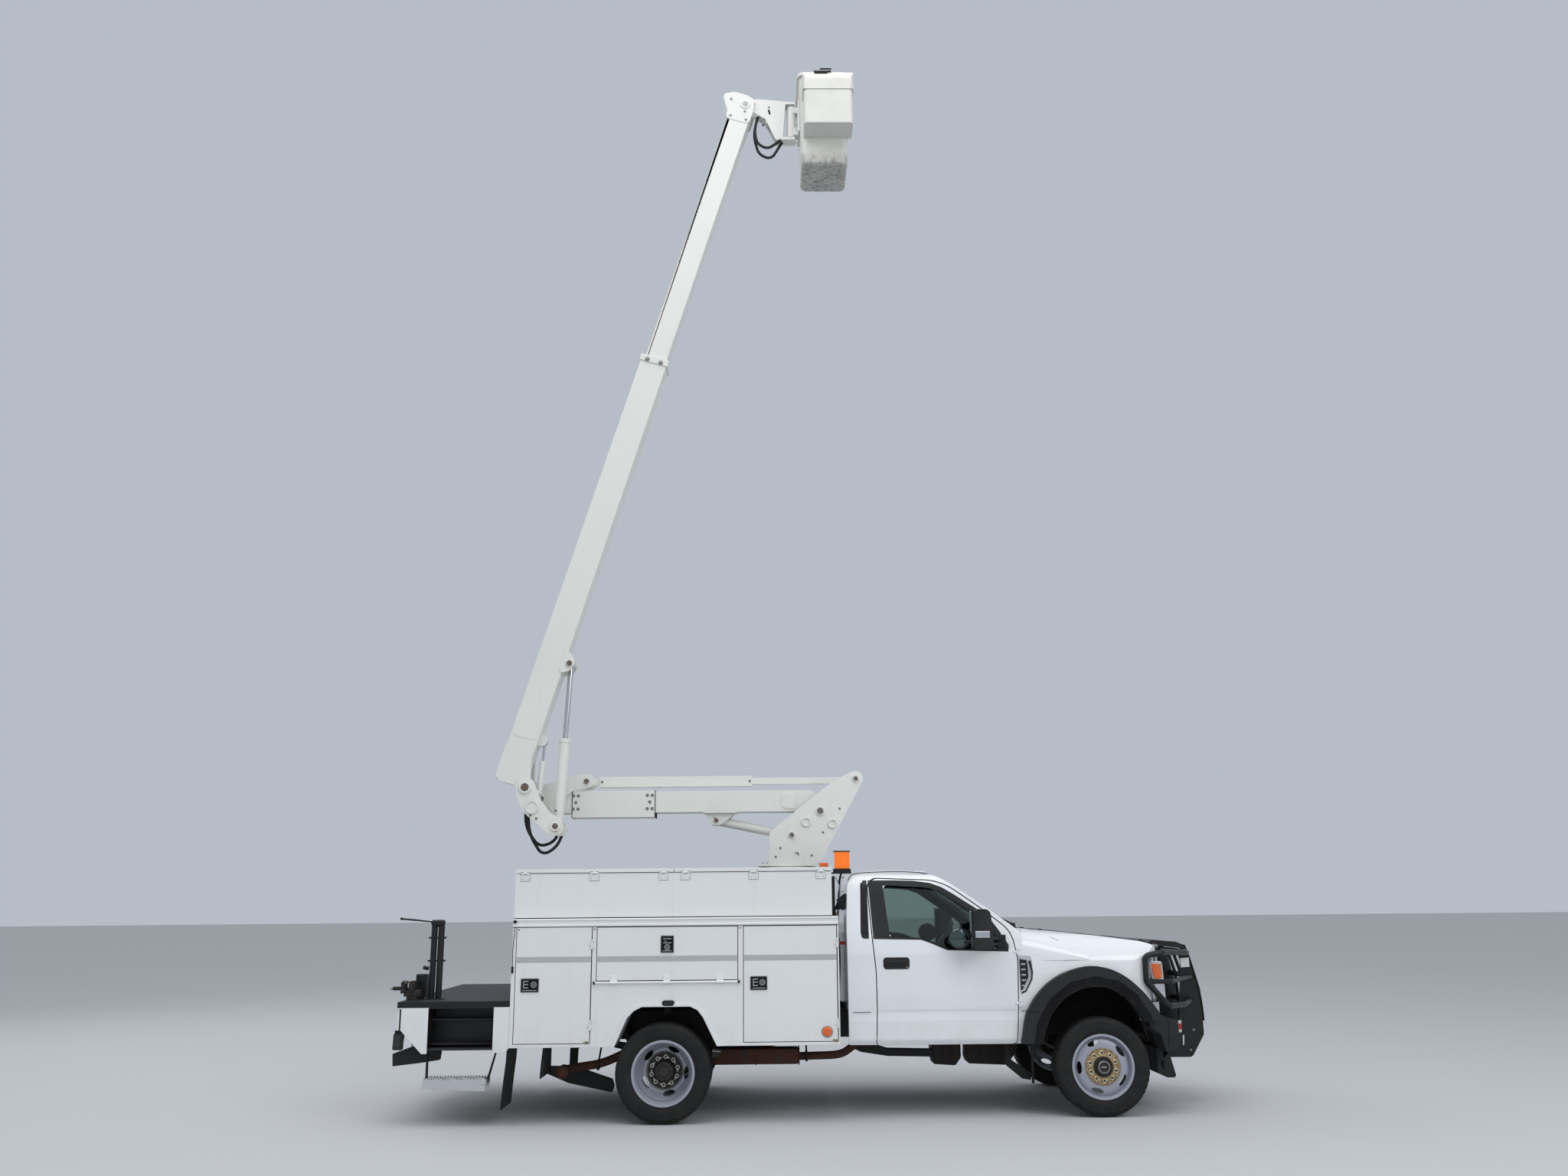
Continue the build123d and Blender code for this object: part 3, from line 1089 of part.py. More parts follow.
# Boom lift cylinder and the small levelling cylinder, drawn between their pins
tx, tz = boom_point(*BOOM_CYL_TOP)
blen = math.hypot(tx - BOOM_CYL_BASE[0], tz - BOOM_CYL_BASE[1])
BD = ((tx - BOOM_CYL_BASE[0]) / blen, (tz - BOOM_CYL_BASE[1]) / blen)


def bcyl(s, n=0.0):
    return along(BOOM_CYL_BASE, BD, s, n, BOOM_Y)


out["boom_cyl_barrel"] = cut(
    fuse(
        rod(bcyl(30), bcyl(790), 50),
        rod(bcyl(780), bcyl(815), 56),
        pin_y(BOOM_CYL_BASE[0], BOOM_CYL_BASE[1], BOOM_Y - 50, BOOM_Y + 50, 40),
    ),
    rod(bcyl(60), bcyl(785), 40),
    rod(bcyl(780), bcyl(900), 25 + RUN_FIT),
    pin_y(BOOM_CYL_BASE[0], BOOM_CYL_BASE[1], BOOM_Y - 60, BOOM_Y + 60, 20 + RUN_FIT),
)
out["boom_cyl_rod"] = fuse(
    rod(bcyl(610), bcyl(blen), 25), rod(bcyl(600), bcyl(650), 34),
    pin_y(tx, tz, BOOM_Y - 100, BOOM_Y + 100, 36),
)
lx, lz = boom_point(*LEVEL_TOP)
llen = math.hypot(lx - LEVEL_BASE[0], lz - LEVEL_BASE[1])
LD = ((lx - LEVEL_BASE[0]) / llen, (lz - LEVEL_BASE[1]) / llen)


def lcyl(s):
    return along(LEVEL_BASE, LD, s, 0, BOOM_Y)


out["level_cyl_barrel"] = cut(
    fuse(
        rod(lcyl(20), lcyl(300), 27),
        pin_y(LEVEL_BASE[0], LEVEL_BASE[1], BOOM_Y - 28, BOOM_Y + 28, 26),
    ),
    rod(lcyl(40), lcyl(282), 20),
    rod(lcyl(280), lcyl(320), 12 + RUN_FIT),
    pin_y(LEVEL_BASE[0], LEVEL_BASE[1], BOOM_Y - 40, BOOM_Y + 40, 12 + RUN_FIT),
)
out["level_cyl_rod"] = fuse(
    rod(lcyl(185), lcyl(llen), 12), pin_y(lx, lz, BOOM_Y - 28, BOOM_Y + 28, 24)
)

# Platform bracket, pinned at the boom tip and always level, with the bucket's post
px, pz = boom_point(*TIP_PIN)
POST_X = px + POST_REACH
BUCKET_X = (px + BUCKET_REACH[0], px + BUCKET_REACH[1])
BUCKET_Z = (pz - BUCKET_DROP, pz - BUCKET_DROP + BUCKET_TALL)
bracket_line = [
    (px - 60, pz + 30), (px - 20, pz + 62), (px + 120, pz + 85), (px + 422, pz + 59),
    (px + 422, pz + 39), (px + 372, pz - 391), (px + 322, pz - 403), (px + 212, pz - 151),
    (px + 60, pz - 60), (px - 10, pz - 66), (px - 58, pz - 30),
]
tip_hoses = [
    hose([(px + 140, BOOM_Y - 30, pz - 93), (px + 96, BOOM_Y - 30, pz - 251),
          (px + 120, BOOM_Y - 30, pz - 421), (px + 230, BOOM_Y - 30, pz - 491),
          (px + 383, BOOM_Y - 30, pz - 380)], 14),
    hose([(px + 130, BOOM_Y + 4, pz - 85), (px + 84, BOOM_Y + 4, pz - 311),
          (px + 140, BOOM_Y + 4, pz - 531), (px + 270, BOOM_Y + 4, pz - 591),
          (px + 390, BOOM_Y + 4, pz - 385)], 14),
]
out["tip_hoses"] = group(*tip_hoses)
out["platform_bracket"] = cut(
    fuse(
        soft_y(bracket_line, 45, BOOM_Y - 60, BOOM_Y - 46),
        soft_y(bracket_line, 45, BOOM_Y + 46, BOOM_Y + 60),
        slab_y([(px + 372, pz - 391), (px + 394, pz - 395), (px + 426, pz + 39),
                (px + 406, pz + 39)], BOOM_Y - 60, BOOM_Y + 60),
        slab_y([(px + 212, pz - 46), (px + 232, pz - 46), (px + 232, pz - 191),
                (px + 212, pz - 191)], BOOM_Y - 50, BOOM_Y + 50),
        block(px + 112, px + 170, BOOM_Y - 50, BOOM_Y + 50, pz - 112, pz - 72),
        block(px + 382, POST_X + 40, BOOM_Y - 60, BOOM_Y + 60, pz + 25, pz + 55),
        block(px + 372, POST_X + 40, BOOM_Y - 60, BOOM_Y + 60, pz - 395, pz - 365),
        rod((POST_X, BOOM_Y, pz - 391), (POST_X, BOOM_Y, pz + 53), 30),
        pin_y(px, pz, BOOM_Y - 105, BOOM_Y + 105, 25),
    ),
    *tip_hoses,
)
# Bucket: an open tub with tapered walls, a rim flange, its mount sleeve and the console
bx0, bx1 = BUCKET_X
zb0, zb1 = BUCKET_Z
TAPER = 16.0


TUB_CORNER = 66.0


def tub_ring(d, z, grow):
    out_by = TAPER * (1 - grow) + d
    x0 = bx0 + out_by
    x1 = bx1 - out_by
    h = BUCKET_HALF - out_by
    points = [(x0, BOOM_Y - h), (x1, BOOM_Y - h), (x1, BOOM_Y + h), (x0, BOOM_Y + h)]
    face = soft_outline(points, max(TUB_CORNER - d, 20), lambda v: Vector(v.X, v.Y, z))
    return face.outer_wire()


def tub(d, z0, z1):
    # Tapered walls over a belly that is drawn in at the floor
    rings = [tub_ring(d + 26, z0, 0), tub_ring(d + 5, z0 + 16, 0.01), tub_ring(d, z0 + 48, 0.04)]
    return Solid.make_loft(rings + [tub_ring(d, z1, 1)], True)


RIM_OUT = [
    (bx0 - 22, BOOM_Y - BUCKET_HALF - 22), (bx1 + 22, BOOM_Y - BUCKET_HALF - 22),
    (bx1 + 22, BOOM_Y + BUCKET_HALF + 22), (bx0 - 22, BOOM_Y + BUCKET_HALF + 22),
]
rim = cut(soft_z(RIM_OUT, 86, zb1 - 34, zb1), soft_z(inset(RIM_OUT, 31), 57, zb1 - 60, zb1 + 10))
bucket = fuse(cut(tub(0, zb0, zb1), tub(9, zb0 + 10, zb1 + 20)), rim)
out["bucket"] = bucket
mount = cut(
    fuse(
        rod((POST_X, BOOM_Y, pz - 351), (POST_X, BOOM_Y, pz + 11), 48),
        block(POST_X, bx0 + 2, BOOM_Y - 45, BOOM_Y + 45, pz - 331, pz - 251),
        block(POST_X, bx0 + 2, BOOM_Y - 45, BOOM_Y + 45, pz - 71, pz - 1),
        block(bx0 - 12, bx0 + 18, BOOM_Y - 150, BOOM_Y + 150, pz - 351, pz + 19),
    ),
    rod((POST_X, BOOM_Y, pz - 451), (POST_X, BOOM_Y, pz + 149), 30.06),
    tub(0, zb0, zb1),
)
out["bucket_mount"] = mount
cy = BOOM_Y - BUCKET_HALF
c0 = zb1 - 750
c1 = zb1 - 342
c2 = zb1 - 88
cap = [(cy - 232, c1), (cy - 232, c2 - 92), (cy - 150, c2), (cy - 22, c2), (cy - 22, c1)]
CONSOLE_PLAN = [(bx0 + 40, cy - 230), (bx1 + 30, cy - 230), (bx1 + 30, cy + 30), (bx0 + 40, cy + 30)]
CAP_PLAN = [(bx0 + 30, cy - 236), (bx1 + 44, cy - 236), (bx1 + 44, cy - 22), (bx0 + 30, cy - 22)]
console = fuse(
    slab_x([(cy - 230, c0 + 20), (cy - 230, c1), (cy + 30, c1), (cy + 30, c0)], bx0, bx1 + 60)
    & soft_z(CONSOLE_PLAN, [36, 36, 8, 8], c0 - 50, c1 + 50),
    soft_x(cap, [10, 190, 190, 20, 4], bx0, bx1 + 60)
    & soft_z(CAP_PLAN, [60, 60, 4, 4], c1 - 50, c2 + 30),
)
out["console"] = cut(console, tub(0, zb0, zb1), rim)

# The cab, nose and lift keep their place from the front axle
FOLLOW_FRONT = [
    "cab_shell", "cab_glass", "cab_door_l", "cab_door_r", "cab_door_glass_l", "cab_door_glass_r",
    "mirror_l", "mirror_r", "cab_seat", "cab_dash", "front_fenders", "hood", "headlamps", "grille",
    "fender_flares", "wheel_liners", "bumper", "grille_guard", "pedestal", "beacon", "turret",
    "lower_arm", "arm_sleeve", "arm_cyl_barrel", "arm_cyl_rod", "comp_link", "elbow", "elbow_hoses",
    "outer_boom", "inner_boom", "boom_cyl_barrel", "boom_cyl_rod", "level_cyl_barrel",
    "level_cyl_rod", "platform_bracket", "tip_hoses", "bucket", "bucket_mount", "console",
]
for name in FOLLOW_FRONT:
    out[name] = group(*[ahead * solid for solid in out[name].solids()])

# Pieces of one body and one material are stored together as one node
MERGED = {
    "axles": ("front_axle", "rear_axle"),
    "drivetrain": ("engine_block", "propshaft", "radiator", "exhaust", "fuel_tank"),
    "cab_interior": ("cab_seat", "cab_dash"),
    "arch_trim": ("fender_flares", "wheel_liners", "mud_flaps"),
    "tail_shelf": ("tail_shelf", "hitch", "grab_post", "bench_vise"),
    "cargo_deck": ("cargo_deck", "pedestal"),
    "lower_arm": ("lower_arm", "arm_sleeve"),
    "bucket": ("bucket", "console"),
    "front_guard": ("bumper", "grille", "grille_guard"),
    "cab_door_l": ("cab_door_l", "mirror_l"),
    "cab_door_r": ("cab_door_r", "mirror_r"),
}
for name, parts in MERGED.items():
    joined = group(*[out.pop(part) for part in parts])
    out[name] = joined

for name, shape in out.items():
    solids = shape.solids()
    moved = [Pos(SHIFT_X, 0, 0) * s for s in solids]
    result = Compound(moved) if len(moved) > 1 else moved[0]
    result.label = name
    export_step(result, "parts/" + name + ".step")
    b = result.bounding_box()
    print(name, len(solids), [round(v) for v in (b.min.X, b.min.Y, b.min.Z, b.max.X, b.max.Y, b.max.Z)])
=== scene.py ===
import json
import math

import bmesh
import bpy
from mathutils import Matrix, Vector
from mathutils.bvhtree import BVHTree

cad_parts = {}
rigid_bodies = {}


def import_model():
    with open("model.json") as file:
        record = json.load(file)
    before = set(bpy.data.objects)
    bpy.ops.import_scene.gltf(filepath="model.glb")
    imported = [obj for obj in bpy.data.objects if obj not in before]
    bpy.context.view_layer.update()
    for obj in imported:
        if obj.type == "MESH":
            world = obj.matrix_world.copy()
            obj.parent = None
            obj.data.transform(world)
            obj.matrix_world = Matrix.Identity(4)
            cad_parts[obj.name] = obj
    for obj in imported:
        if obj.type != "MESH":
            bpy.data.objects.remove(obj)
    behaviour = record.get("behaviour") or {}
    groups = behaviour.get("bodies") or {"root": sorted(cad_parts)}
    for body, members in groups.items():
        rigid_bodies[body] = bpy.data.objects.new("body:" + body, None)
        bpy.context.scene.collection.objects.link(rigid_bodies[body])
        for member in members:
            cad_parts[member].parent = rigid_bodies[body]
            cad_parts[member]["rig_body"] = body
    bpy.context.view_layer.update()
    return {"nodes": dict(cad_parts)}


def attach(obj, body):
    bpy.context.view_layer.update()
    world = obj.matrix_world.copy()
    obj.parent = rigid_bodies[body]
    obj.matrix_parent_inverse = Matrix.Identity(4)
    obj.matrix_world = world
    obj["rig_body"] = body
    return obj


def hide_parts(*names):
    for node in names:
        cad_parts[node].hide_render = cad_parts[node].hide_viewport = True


bl_info = {
    "name": "Bucket truck finishes",
    "version": (1, 0, 0),
    "blender": (4, 5, 0),
    "location": "3D View > Sidebar > Truck",
    "description": "Dresses the packed bucket truck with its finishes, trim and fittings",
    "category": "Object",
}

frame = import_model()
NODES = frame["nodes"]

# Places are in millimetres: forward of the rear axle, to the left, and up from the ground
TO_ROW = Matrix.Translation((-1.28, 0, 0)) @ Matrix.Scale(0.001, 4)
SIDES = ((1, "l"), (-1, "r"))

WHEEL_BASE = 3691
AXLE_Z = 398
RIM_R = 250
FRONT_Y = 950
DUAL_MID = 940
DUAL_OUTER = 1067
DUAL_INNER = 813
BODY_Y = 1194
BOOM_Y = -380
BOOM_PIN = (-1348, 2814)
BOOM_TILT = math.radians(73)
TIP = (687.5, 9950.7)
TURRET_X = 1065
TURRET_Z = 2118
ARM_PIN = (1376, 2600)
ARM_PIN_E = (-1176, 2600)
LINK_PIN = (1716, 2899)
LINK_PIN_E = (-836, 2899)
ARM_CYL_BASE = (395, 2527)
ARM_CYL_END = (1106, 2380)
BOOM_CYL_BASE = (-1058, 2459)

# Half width of the cab's side at each height, and the line of its roof and nose
CAB_SIDE = (
    (575, 968), (622, 994), (780, 1002), (848, 996), (872, 1004), (1000, 1010), (1330, 1010),
    (1460, 992), (1890, 886), (1985, 835),
)
NOSE_SIDE = (
    (560, 968), (622, 994), (780, 1002), (848, 996), (872, 1004), (1150, 1006), (1270, 992),
    (1375, 930), (1468, 790), (1508, 600), (1520, 300),
)
WINDOW_BAND = (
    (1757, 1948), (1786, 1453), (2199, 1442), (2281, 1412), (2420, 1354), (2945, 1338),
    (2951, 1392), (2866, 1530), (2789, 1636), (2660, 1722), (2500, 1826), (2403, 1884),
    (2300, 1922), (2150, 1942), (1980, 1947),
)
WINDOW = (
    (1925, 1474), (2120, 1462), (2215, 1452), (2290, 1425), (2360, 1392), (2431, 1364),
    (2560, 1361), (2836, 1359), (2830, 1480), (2820, 1553), (2720, 1622), (2621, 1690),
    (2480, 1787), (2390, 1846), (2300, 1878), (2180, 1893), (2030, 1901), (1882, 1905),
)


def between(table, value):
    """The second figure of a table at a value of its first."""
    for (a, p), (b, q) in zip(table, table[1:]):
        if value <= b:
            return p + (q - p) * max(0, (value - a) / (b - a))
    return table[-1][1]


def cab_side(z):
    return between(CAB_SIDE, z)


def nose_side(z):
    return between(NOSE_SIDE, z)


def span(sign, a, b):
    """A slice from a to b out from the middle, low end first, on one side of the truck."""
    return sorted((sign * a, sign * b))


def on_cab(x, z):
    return cab_side(z)


def on_wing(x, z):
    """Half width of the wing, which runs from the cab's side into the nose's."""
    share = min(1, max(0, (x - 3063) / 340))
    share = share * share * (3 - 2 * share)
    return cab_side(z) * (1 - share) + nose_side(z) * share


class Value:
    """A shader socket that can stand in a sum, which adds the Math node it needs."""

    def __init__(self, look, socket):
        self.look = look
        self.socket = socket

    def math(self, operation, first, second):
        return self.look.node("ShaderNodeMath", {"operation": operation}, {0: first, 1: second})

    def __add__(self, other):
        return self.math("ADD", self, other)

    def __sub__(self, other):
        return self.math("SUBTRACT", self, other)

    def __rsub__(self, other):
        return self.math("SUBTRACT", other, self)

    def __mul__(self, other):
        return self.math("MULTIPLY", self, other)

    def __gt__(self, other):
        return self.math("GREATER_THAN", self, other)

    def __lt__(self, other):
        return self.math("LESS_THAN", self, other)

    __radd__ = __add__
    __rmul__ = __mul__

    def rising(self, low, high):
        """0 below low, 1 above high and a smooth step between."""
        return self.look.node(
            "ShaderNodeMapRange",
            {"interpolation_type": "SMOOTHSTEP"},
            {"Value": self, "From Min": low, "From Max": high},
        )


class Look:
    """One finish: a Principled shader and the patterns that feed it."""

    def __init__(self, name, **constants):
        self.material = bpy.data.materials.new(name)
        self.material.use_nodes = True
        self.tree = self.material.node_tree
        self.shader = self.tree.nodes["Principled BSDF"]
        self.coordinates = None
        for socket, value in constants.items():
            self.feed(socket.replace("_", " ").title().replace("Ior", "IOR"), value)

    def node(self, kind, settings=None, inputs=None, output=0):
        """Any node: its settings first, then the values or links of its sockets."""
        made = self.tree.nodes.new(kind)
        for setting, value in (settings or {}).items():
            setattr(made, setting, value)
        for socket, value in (inputs or {}).items():
            self.join(made.inputs[socket], value)
        return Value(self, made.outputs[output])

    def join(self, socket, value):
        if isinstance(value, Value):
            self.tree.links.new(value.socket, socket)
        elif socket.type == "RGBA":
            socket.default_value = (*value[:3], 1)
        else:
            socket.default_value = value

    def feed(self, socket, value):
        """Sets or links a socket of the shader."""
        self.join(self.shader.inputs[socket], value)

    def place(self, stretch=(1, 1, 1)):
        """Object coordinates, stretched."""
        if self.coordinates is None:
            self.coordinates = self.node("ShaderNodeTexCoord", output=3)
        return self.node(
            "ShaderNodeMapping", inputs={"Vector": self.coordinates, "Scale": stretch}
        )

    def height(self):
        return self.node("ShaderNodeSeparateXYZ", inputs={"Vector": self.place()}, output=2)

    def noise(self, scale, detail=4, roughness=0.55, stretch=(1, 1, 1)):
        return self.node(
            "ShaderNodeTexNoise",
            inputs={
                "Vector": self.place(stretch), "Scale": scale, "Detail": detail,
                "Roughness": roughness,
            },
        )

    def cells(self, scale, feature="F1", stretch=(1, 1, 1)):
        return self.node(
            "ShaderNodeTexVoronoi", {"feature": feature},
            {"Vector": self.place(stretch), "Scale": scale},
        )

    def mix(self, share, first, second):
        """A colour between two colours."""
        return self.node(
            "ShaderNodeMix", {"data_type": "RGBA"}, {0: share, 6: first, 7: second}, output=2
        )

    def bump(self, height, distance, strength=1.0):
        """Relief from a height between 0 and 1, as deep as distance in metres."""
        relief = self.node(
            "ShaderNodeBump", inputs={"Height": height, "Distance": distance, "Strength": strength}
        )
        self.feed("Normal", relief)
        return relief


def painted(name, colour, roughness, coat=0.0, film=0.05, streaks=0.03, spray=0.20):
    """Paint with a thin uneven film of dirt, rain streaks, and road spray near the ground."""
    look = Look(name, coat_weight=coat, coat_roughness=0.08)
    low = 1 - look.height().rising(0.45, 0.95)
    patches = look.noise(2.1, 5, 0.6).rising(0.42, 0.75)
    runs = look.noise(11, 4, 0.5, (1, 1, 0.05)).rising(0.56, 0.76)
    specks = look.noise(160, 2, 0.6).rising(0.60, 0.72)
    splashes = look.noise(6, 5, 0.65).rising(0.35, 0.8)
    dirt = patches * film + runs * streaks + low * splashes * spray + low * specks * 0.08
    look.feed("Base Color", look.mix(dirt, colour, (0.30, 0.27, 0.23)))
    look.feed("Roughness", dirt * 0.5 + roughness)
    look.bump(look.noise(420, 2, 0.5), 0.00012, 0.3)
    return look.material


def coated(name, colour, roughness, grain, depth, dust=0.1, shine=0.5):
    """A plain coat or moulding with an even grain and some dust."""
    look = Look(name, specular_ior_level=shine)
    patches = look.noise(5, 5, 0.65).rising(0.38, 0.75)
    pale = tuple(c * 0.8 + 0.06 for c in colour)
    look.feed("Base Color", look.mix(patches * dust, colour, pale))
    look.feed("Roughness", patches * 0.12 + roughness)
    look.bump(look.noise(grain, 3, 0.6), depth, 0.6)
    return look.material


def corroded(name, clean, rust, share, roughness=0.5, metallic=0.6, grain=30):
    """Metal that has rusted or stained in patches."""
    look = Look(name)
    spread = look.noise(grain, 6, 0.68).rising(0.62 - share * 0.4, 0.78 - share * 0.3)
    pits = look.noise(grain * 9, 3, 0.6)
    deep = look.mix(pits, rust, tuple(c * 0.45 for c in rust))
    look.feed("Base Color", look.mix(spread, clean, deep))
    look.feed("Roughness", spread * 0.4 + roughness)
    look.feed("Metallic", (1 - spread) * metallic)
    look.bump(spread * 0.4 + pits * 0.6, 0.0006, 0.5)
    return look.material


def metal(name, colour, roughness, brushed=0.0, grime=0.15):
    """Bare or plated metal with a little grime in its low spots."""
    look = Look(name)
    patches = look.noise(14, 5, 0.6).rising(0.5, 0.8)
    look.feed("Base Color", look.mix(patches * grime, colour, (0.10, 0.085, 0.07)))
    look.feed("Metallic", 1 - patches * grime)
    look.feed("Roughness", patches * 0.2 + roughness)
    look.bump(look.noise(300, 3, 0.6, (0.05, 1, 1)), 0.0001, brushed)
    return look.material


def tyre_rubber(name):
    look = Look(name, specular_ior_level=0.25)
    dust = look.noise(9, 5, 0.65).rising(0.35, 0.75)
    scuffs = look.noise(55, 4, 0.7).rising(0.55, 0.8)
    colour = look.mix(dust * 0.35, (0.010, 0.0105, 0.011), (0.045, 0.042, 0.037))
    look.feed("Base Color", look.mix(scuffs * 0.15, colour, (0.07, 0.067, 0.062)))
    look.feed("Roughness", dust * 0.2 + 0.62)
    look.bump(look.noise(260, 3, 0.6), 0.0005, 0.5)
    return look.material


def tub_shell(name):
    """Glass fibre with scratches, and dark scuffs on its lower part."""
    look = Look(name, coat_weight=0.15)
    low = 1 - look.height().rising(9.150, 9.34)
    scuffs = look.noise(24, 6, 0.75, (1, 1, 0.6)).rising(0.46, 0.64)
    patches = look.noise(4, 5, 0.6).rising(0.4, 0.75)
    marks = look.noise(60, 3, 0.7, (0.15, 0.15, 2.4)).rising(0.66, 0.74)
    dirt = low * scuffs * 0.45 + low * 0.30 + patches * 0.10 + marks * 0.12
    look.feed("Base Color", look.mix(dirt, (0.66, 0.655, 0.61), (0.13, 0.12, 0.105)))
    look.feed("Roughness", dirt * 0.3 + 0.42)
    look.bump(look.noise(180, 4, 0.6), 0.0005, 0.4)
    return look.material


def gel_coat(name):
    """Warm white boom paint, faintly streaked and chalky."""
    look = Look(name, coat_weight=0.1)
    patches = look.noise(1.6, 5, 0.6).rising(0.4, 0.75)
    runs = look.noise(22, 4, 0.55, (1, 1, 0.08)).rising(0.55, 0.75)
    stains = look.noise(40, 4, 0.7).rising(0.68, 0.82)
    dirt = patches * 0.06 + runs * 0.05 + stains * 0.12
    look.feed("Base Color", look.mix(dirt, (0.735, 0.74, 0.705), (0.33, 0.29, 0.23)))
    look.feed("Roughness", dirt * 0.5 + 0.40)
    look.bump(look.noise(240, 3, 0.6), 0.0003, 0.3)
    return look.material


def window_glass(name, tint, dust=0.05):
    look = Look(name, transmission_weight=1.0, ior=1.45)
    film = look.noise(7, 5, 0.65).rising(0.45, 0.8)
    look.feed("Base Color", look.mix(film * dust, tint, (0.55, 0.55, 0.52)))
    look.feed("Roughness", film * 0.10 + 0.01)
    return look.material


def lens(name, colour, glow=0.0, ribs=0.0):
    look = Look(
        name, transmission_weight=0.35, ior=1.49, emission_color=colour, emission_strength=glow,
        coat_weight=0.6,
    )
    shade = look.noise(30, 4, 0.6)
    look.feed("Base Color", look.mix(shade * 0.3, colour, tuple(c * 0.6 for c in colour)))
    look.feed("Roughness", shade * 0.1 + 0.12)
    look.bump(look.cells(220, "F1"), 0.0006, ribs)
    return look.material


def tape(name):
    look = Look(name, specular_ior_level=0.6)
    cells = look.cells(190, "DISTANCE_TO_EDGE", (1, 1, 1)).rising(0.02, 0.10)
    wear = look.noise(18, 5, 0.7).rising(0.55, 0.8)
    colour = look.mix(cells, (0.36, 0.37, 0.39), (0.47, 0.48, 0.50))
    look.feed("Base Color", look.mix(wear * 0.5, colour, (0.70, 0.70, 0.69)))
    look.feed("Roughness", wear * 0.2 + 0.32)
    look.bump(cells, 0.0002, 0.4)
    return look.material


def braid(name):
    """A woven sleeve over a hose."""
    look = Look(name)
    one = look.node(
        "ShaderNodeTexWave", {"wave_type": "BANDS", "bands_direction": "DIAGONAL"},
        {"Vector": look.place(), "Scale": 60.0, "Distortion": 1.5},
    )
    dust = look.noise(40, 4, 0.6).rising(0.45, 0.8)
    look.feed("Base Color", look.mix(dust * 0.5, (0.012, 0.012, 0.013), (0.09, 0.085, 0.08)))
    look.feed("Roughness", one * 0.15 + 0.7)
    look.bump(one, 0.0012, 0.7)
    return look.material


def fabric(name, colour):
    look = Look(name, sheen_weight=0.3)
    weave = look.cells(420, "F1")
    wear = look.noise(9, 4, 0.6).rising(0.4, 0.8)
    look.feed("Base Color", look.mix(wear * 0.4, colour, tuple(c * 1.5 for c in colour)))
    look.feed("Roughness", wear * 0.1 + 0.85)
    look.bump(weave, 0.0008, 0.6)
    return look.material


def red_and_white(name):
    """Conspicuity strip in blocks along the truck's width."""
    look = Look(name)
    across = look.node("ShaderNodeSeparateXYZ", inputs={"Vector": look.place()}, output=2)
    block = (across.math("PINGPONG", across, 0.05) > 0.025)
    wear = look.noise(30, 4, 0.6).rising(0.5, 0.8)
    colour = look.mix(block, (0.62, 0.62, 0.60), (0.45, 0.03, 0.03))
    look.feed("Base Color", look.mix(wear * 0.3, colour, (0.3, 0.28, 0.25)))
    look.feed("Roughness", wear * 0.2 + 0.35)
    return look.material


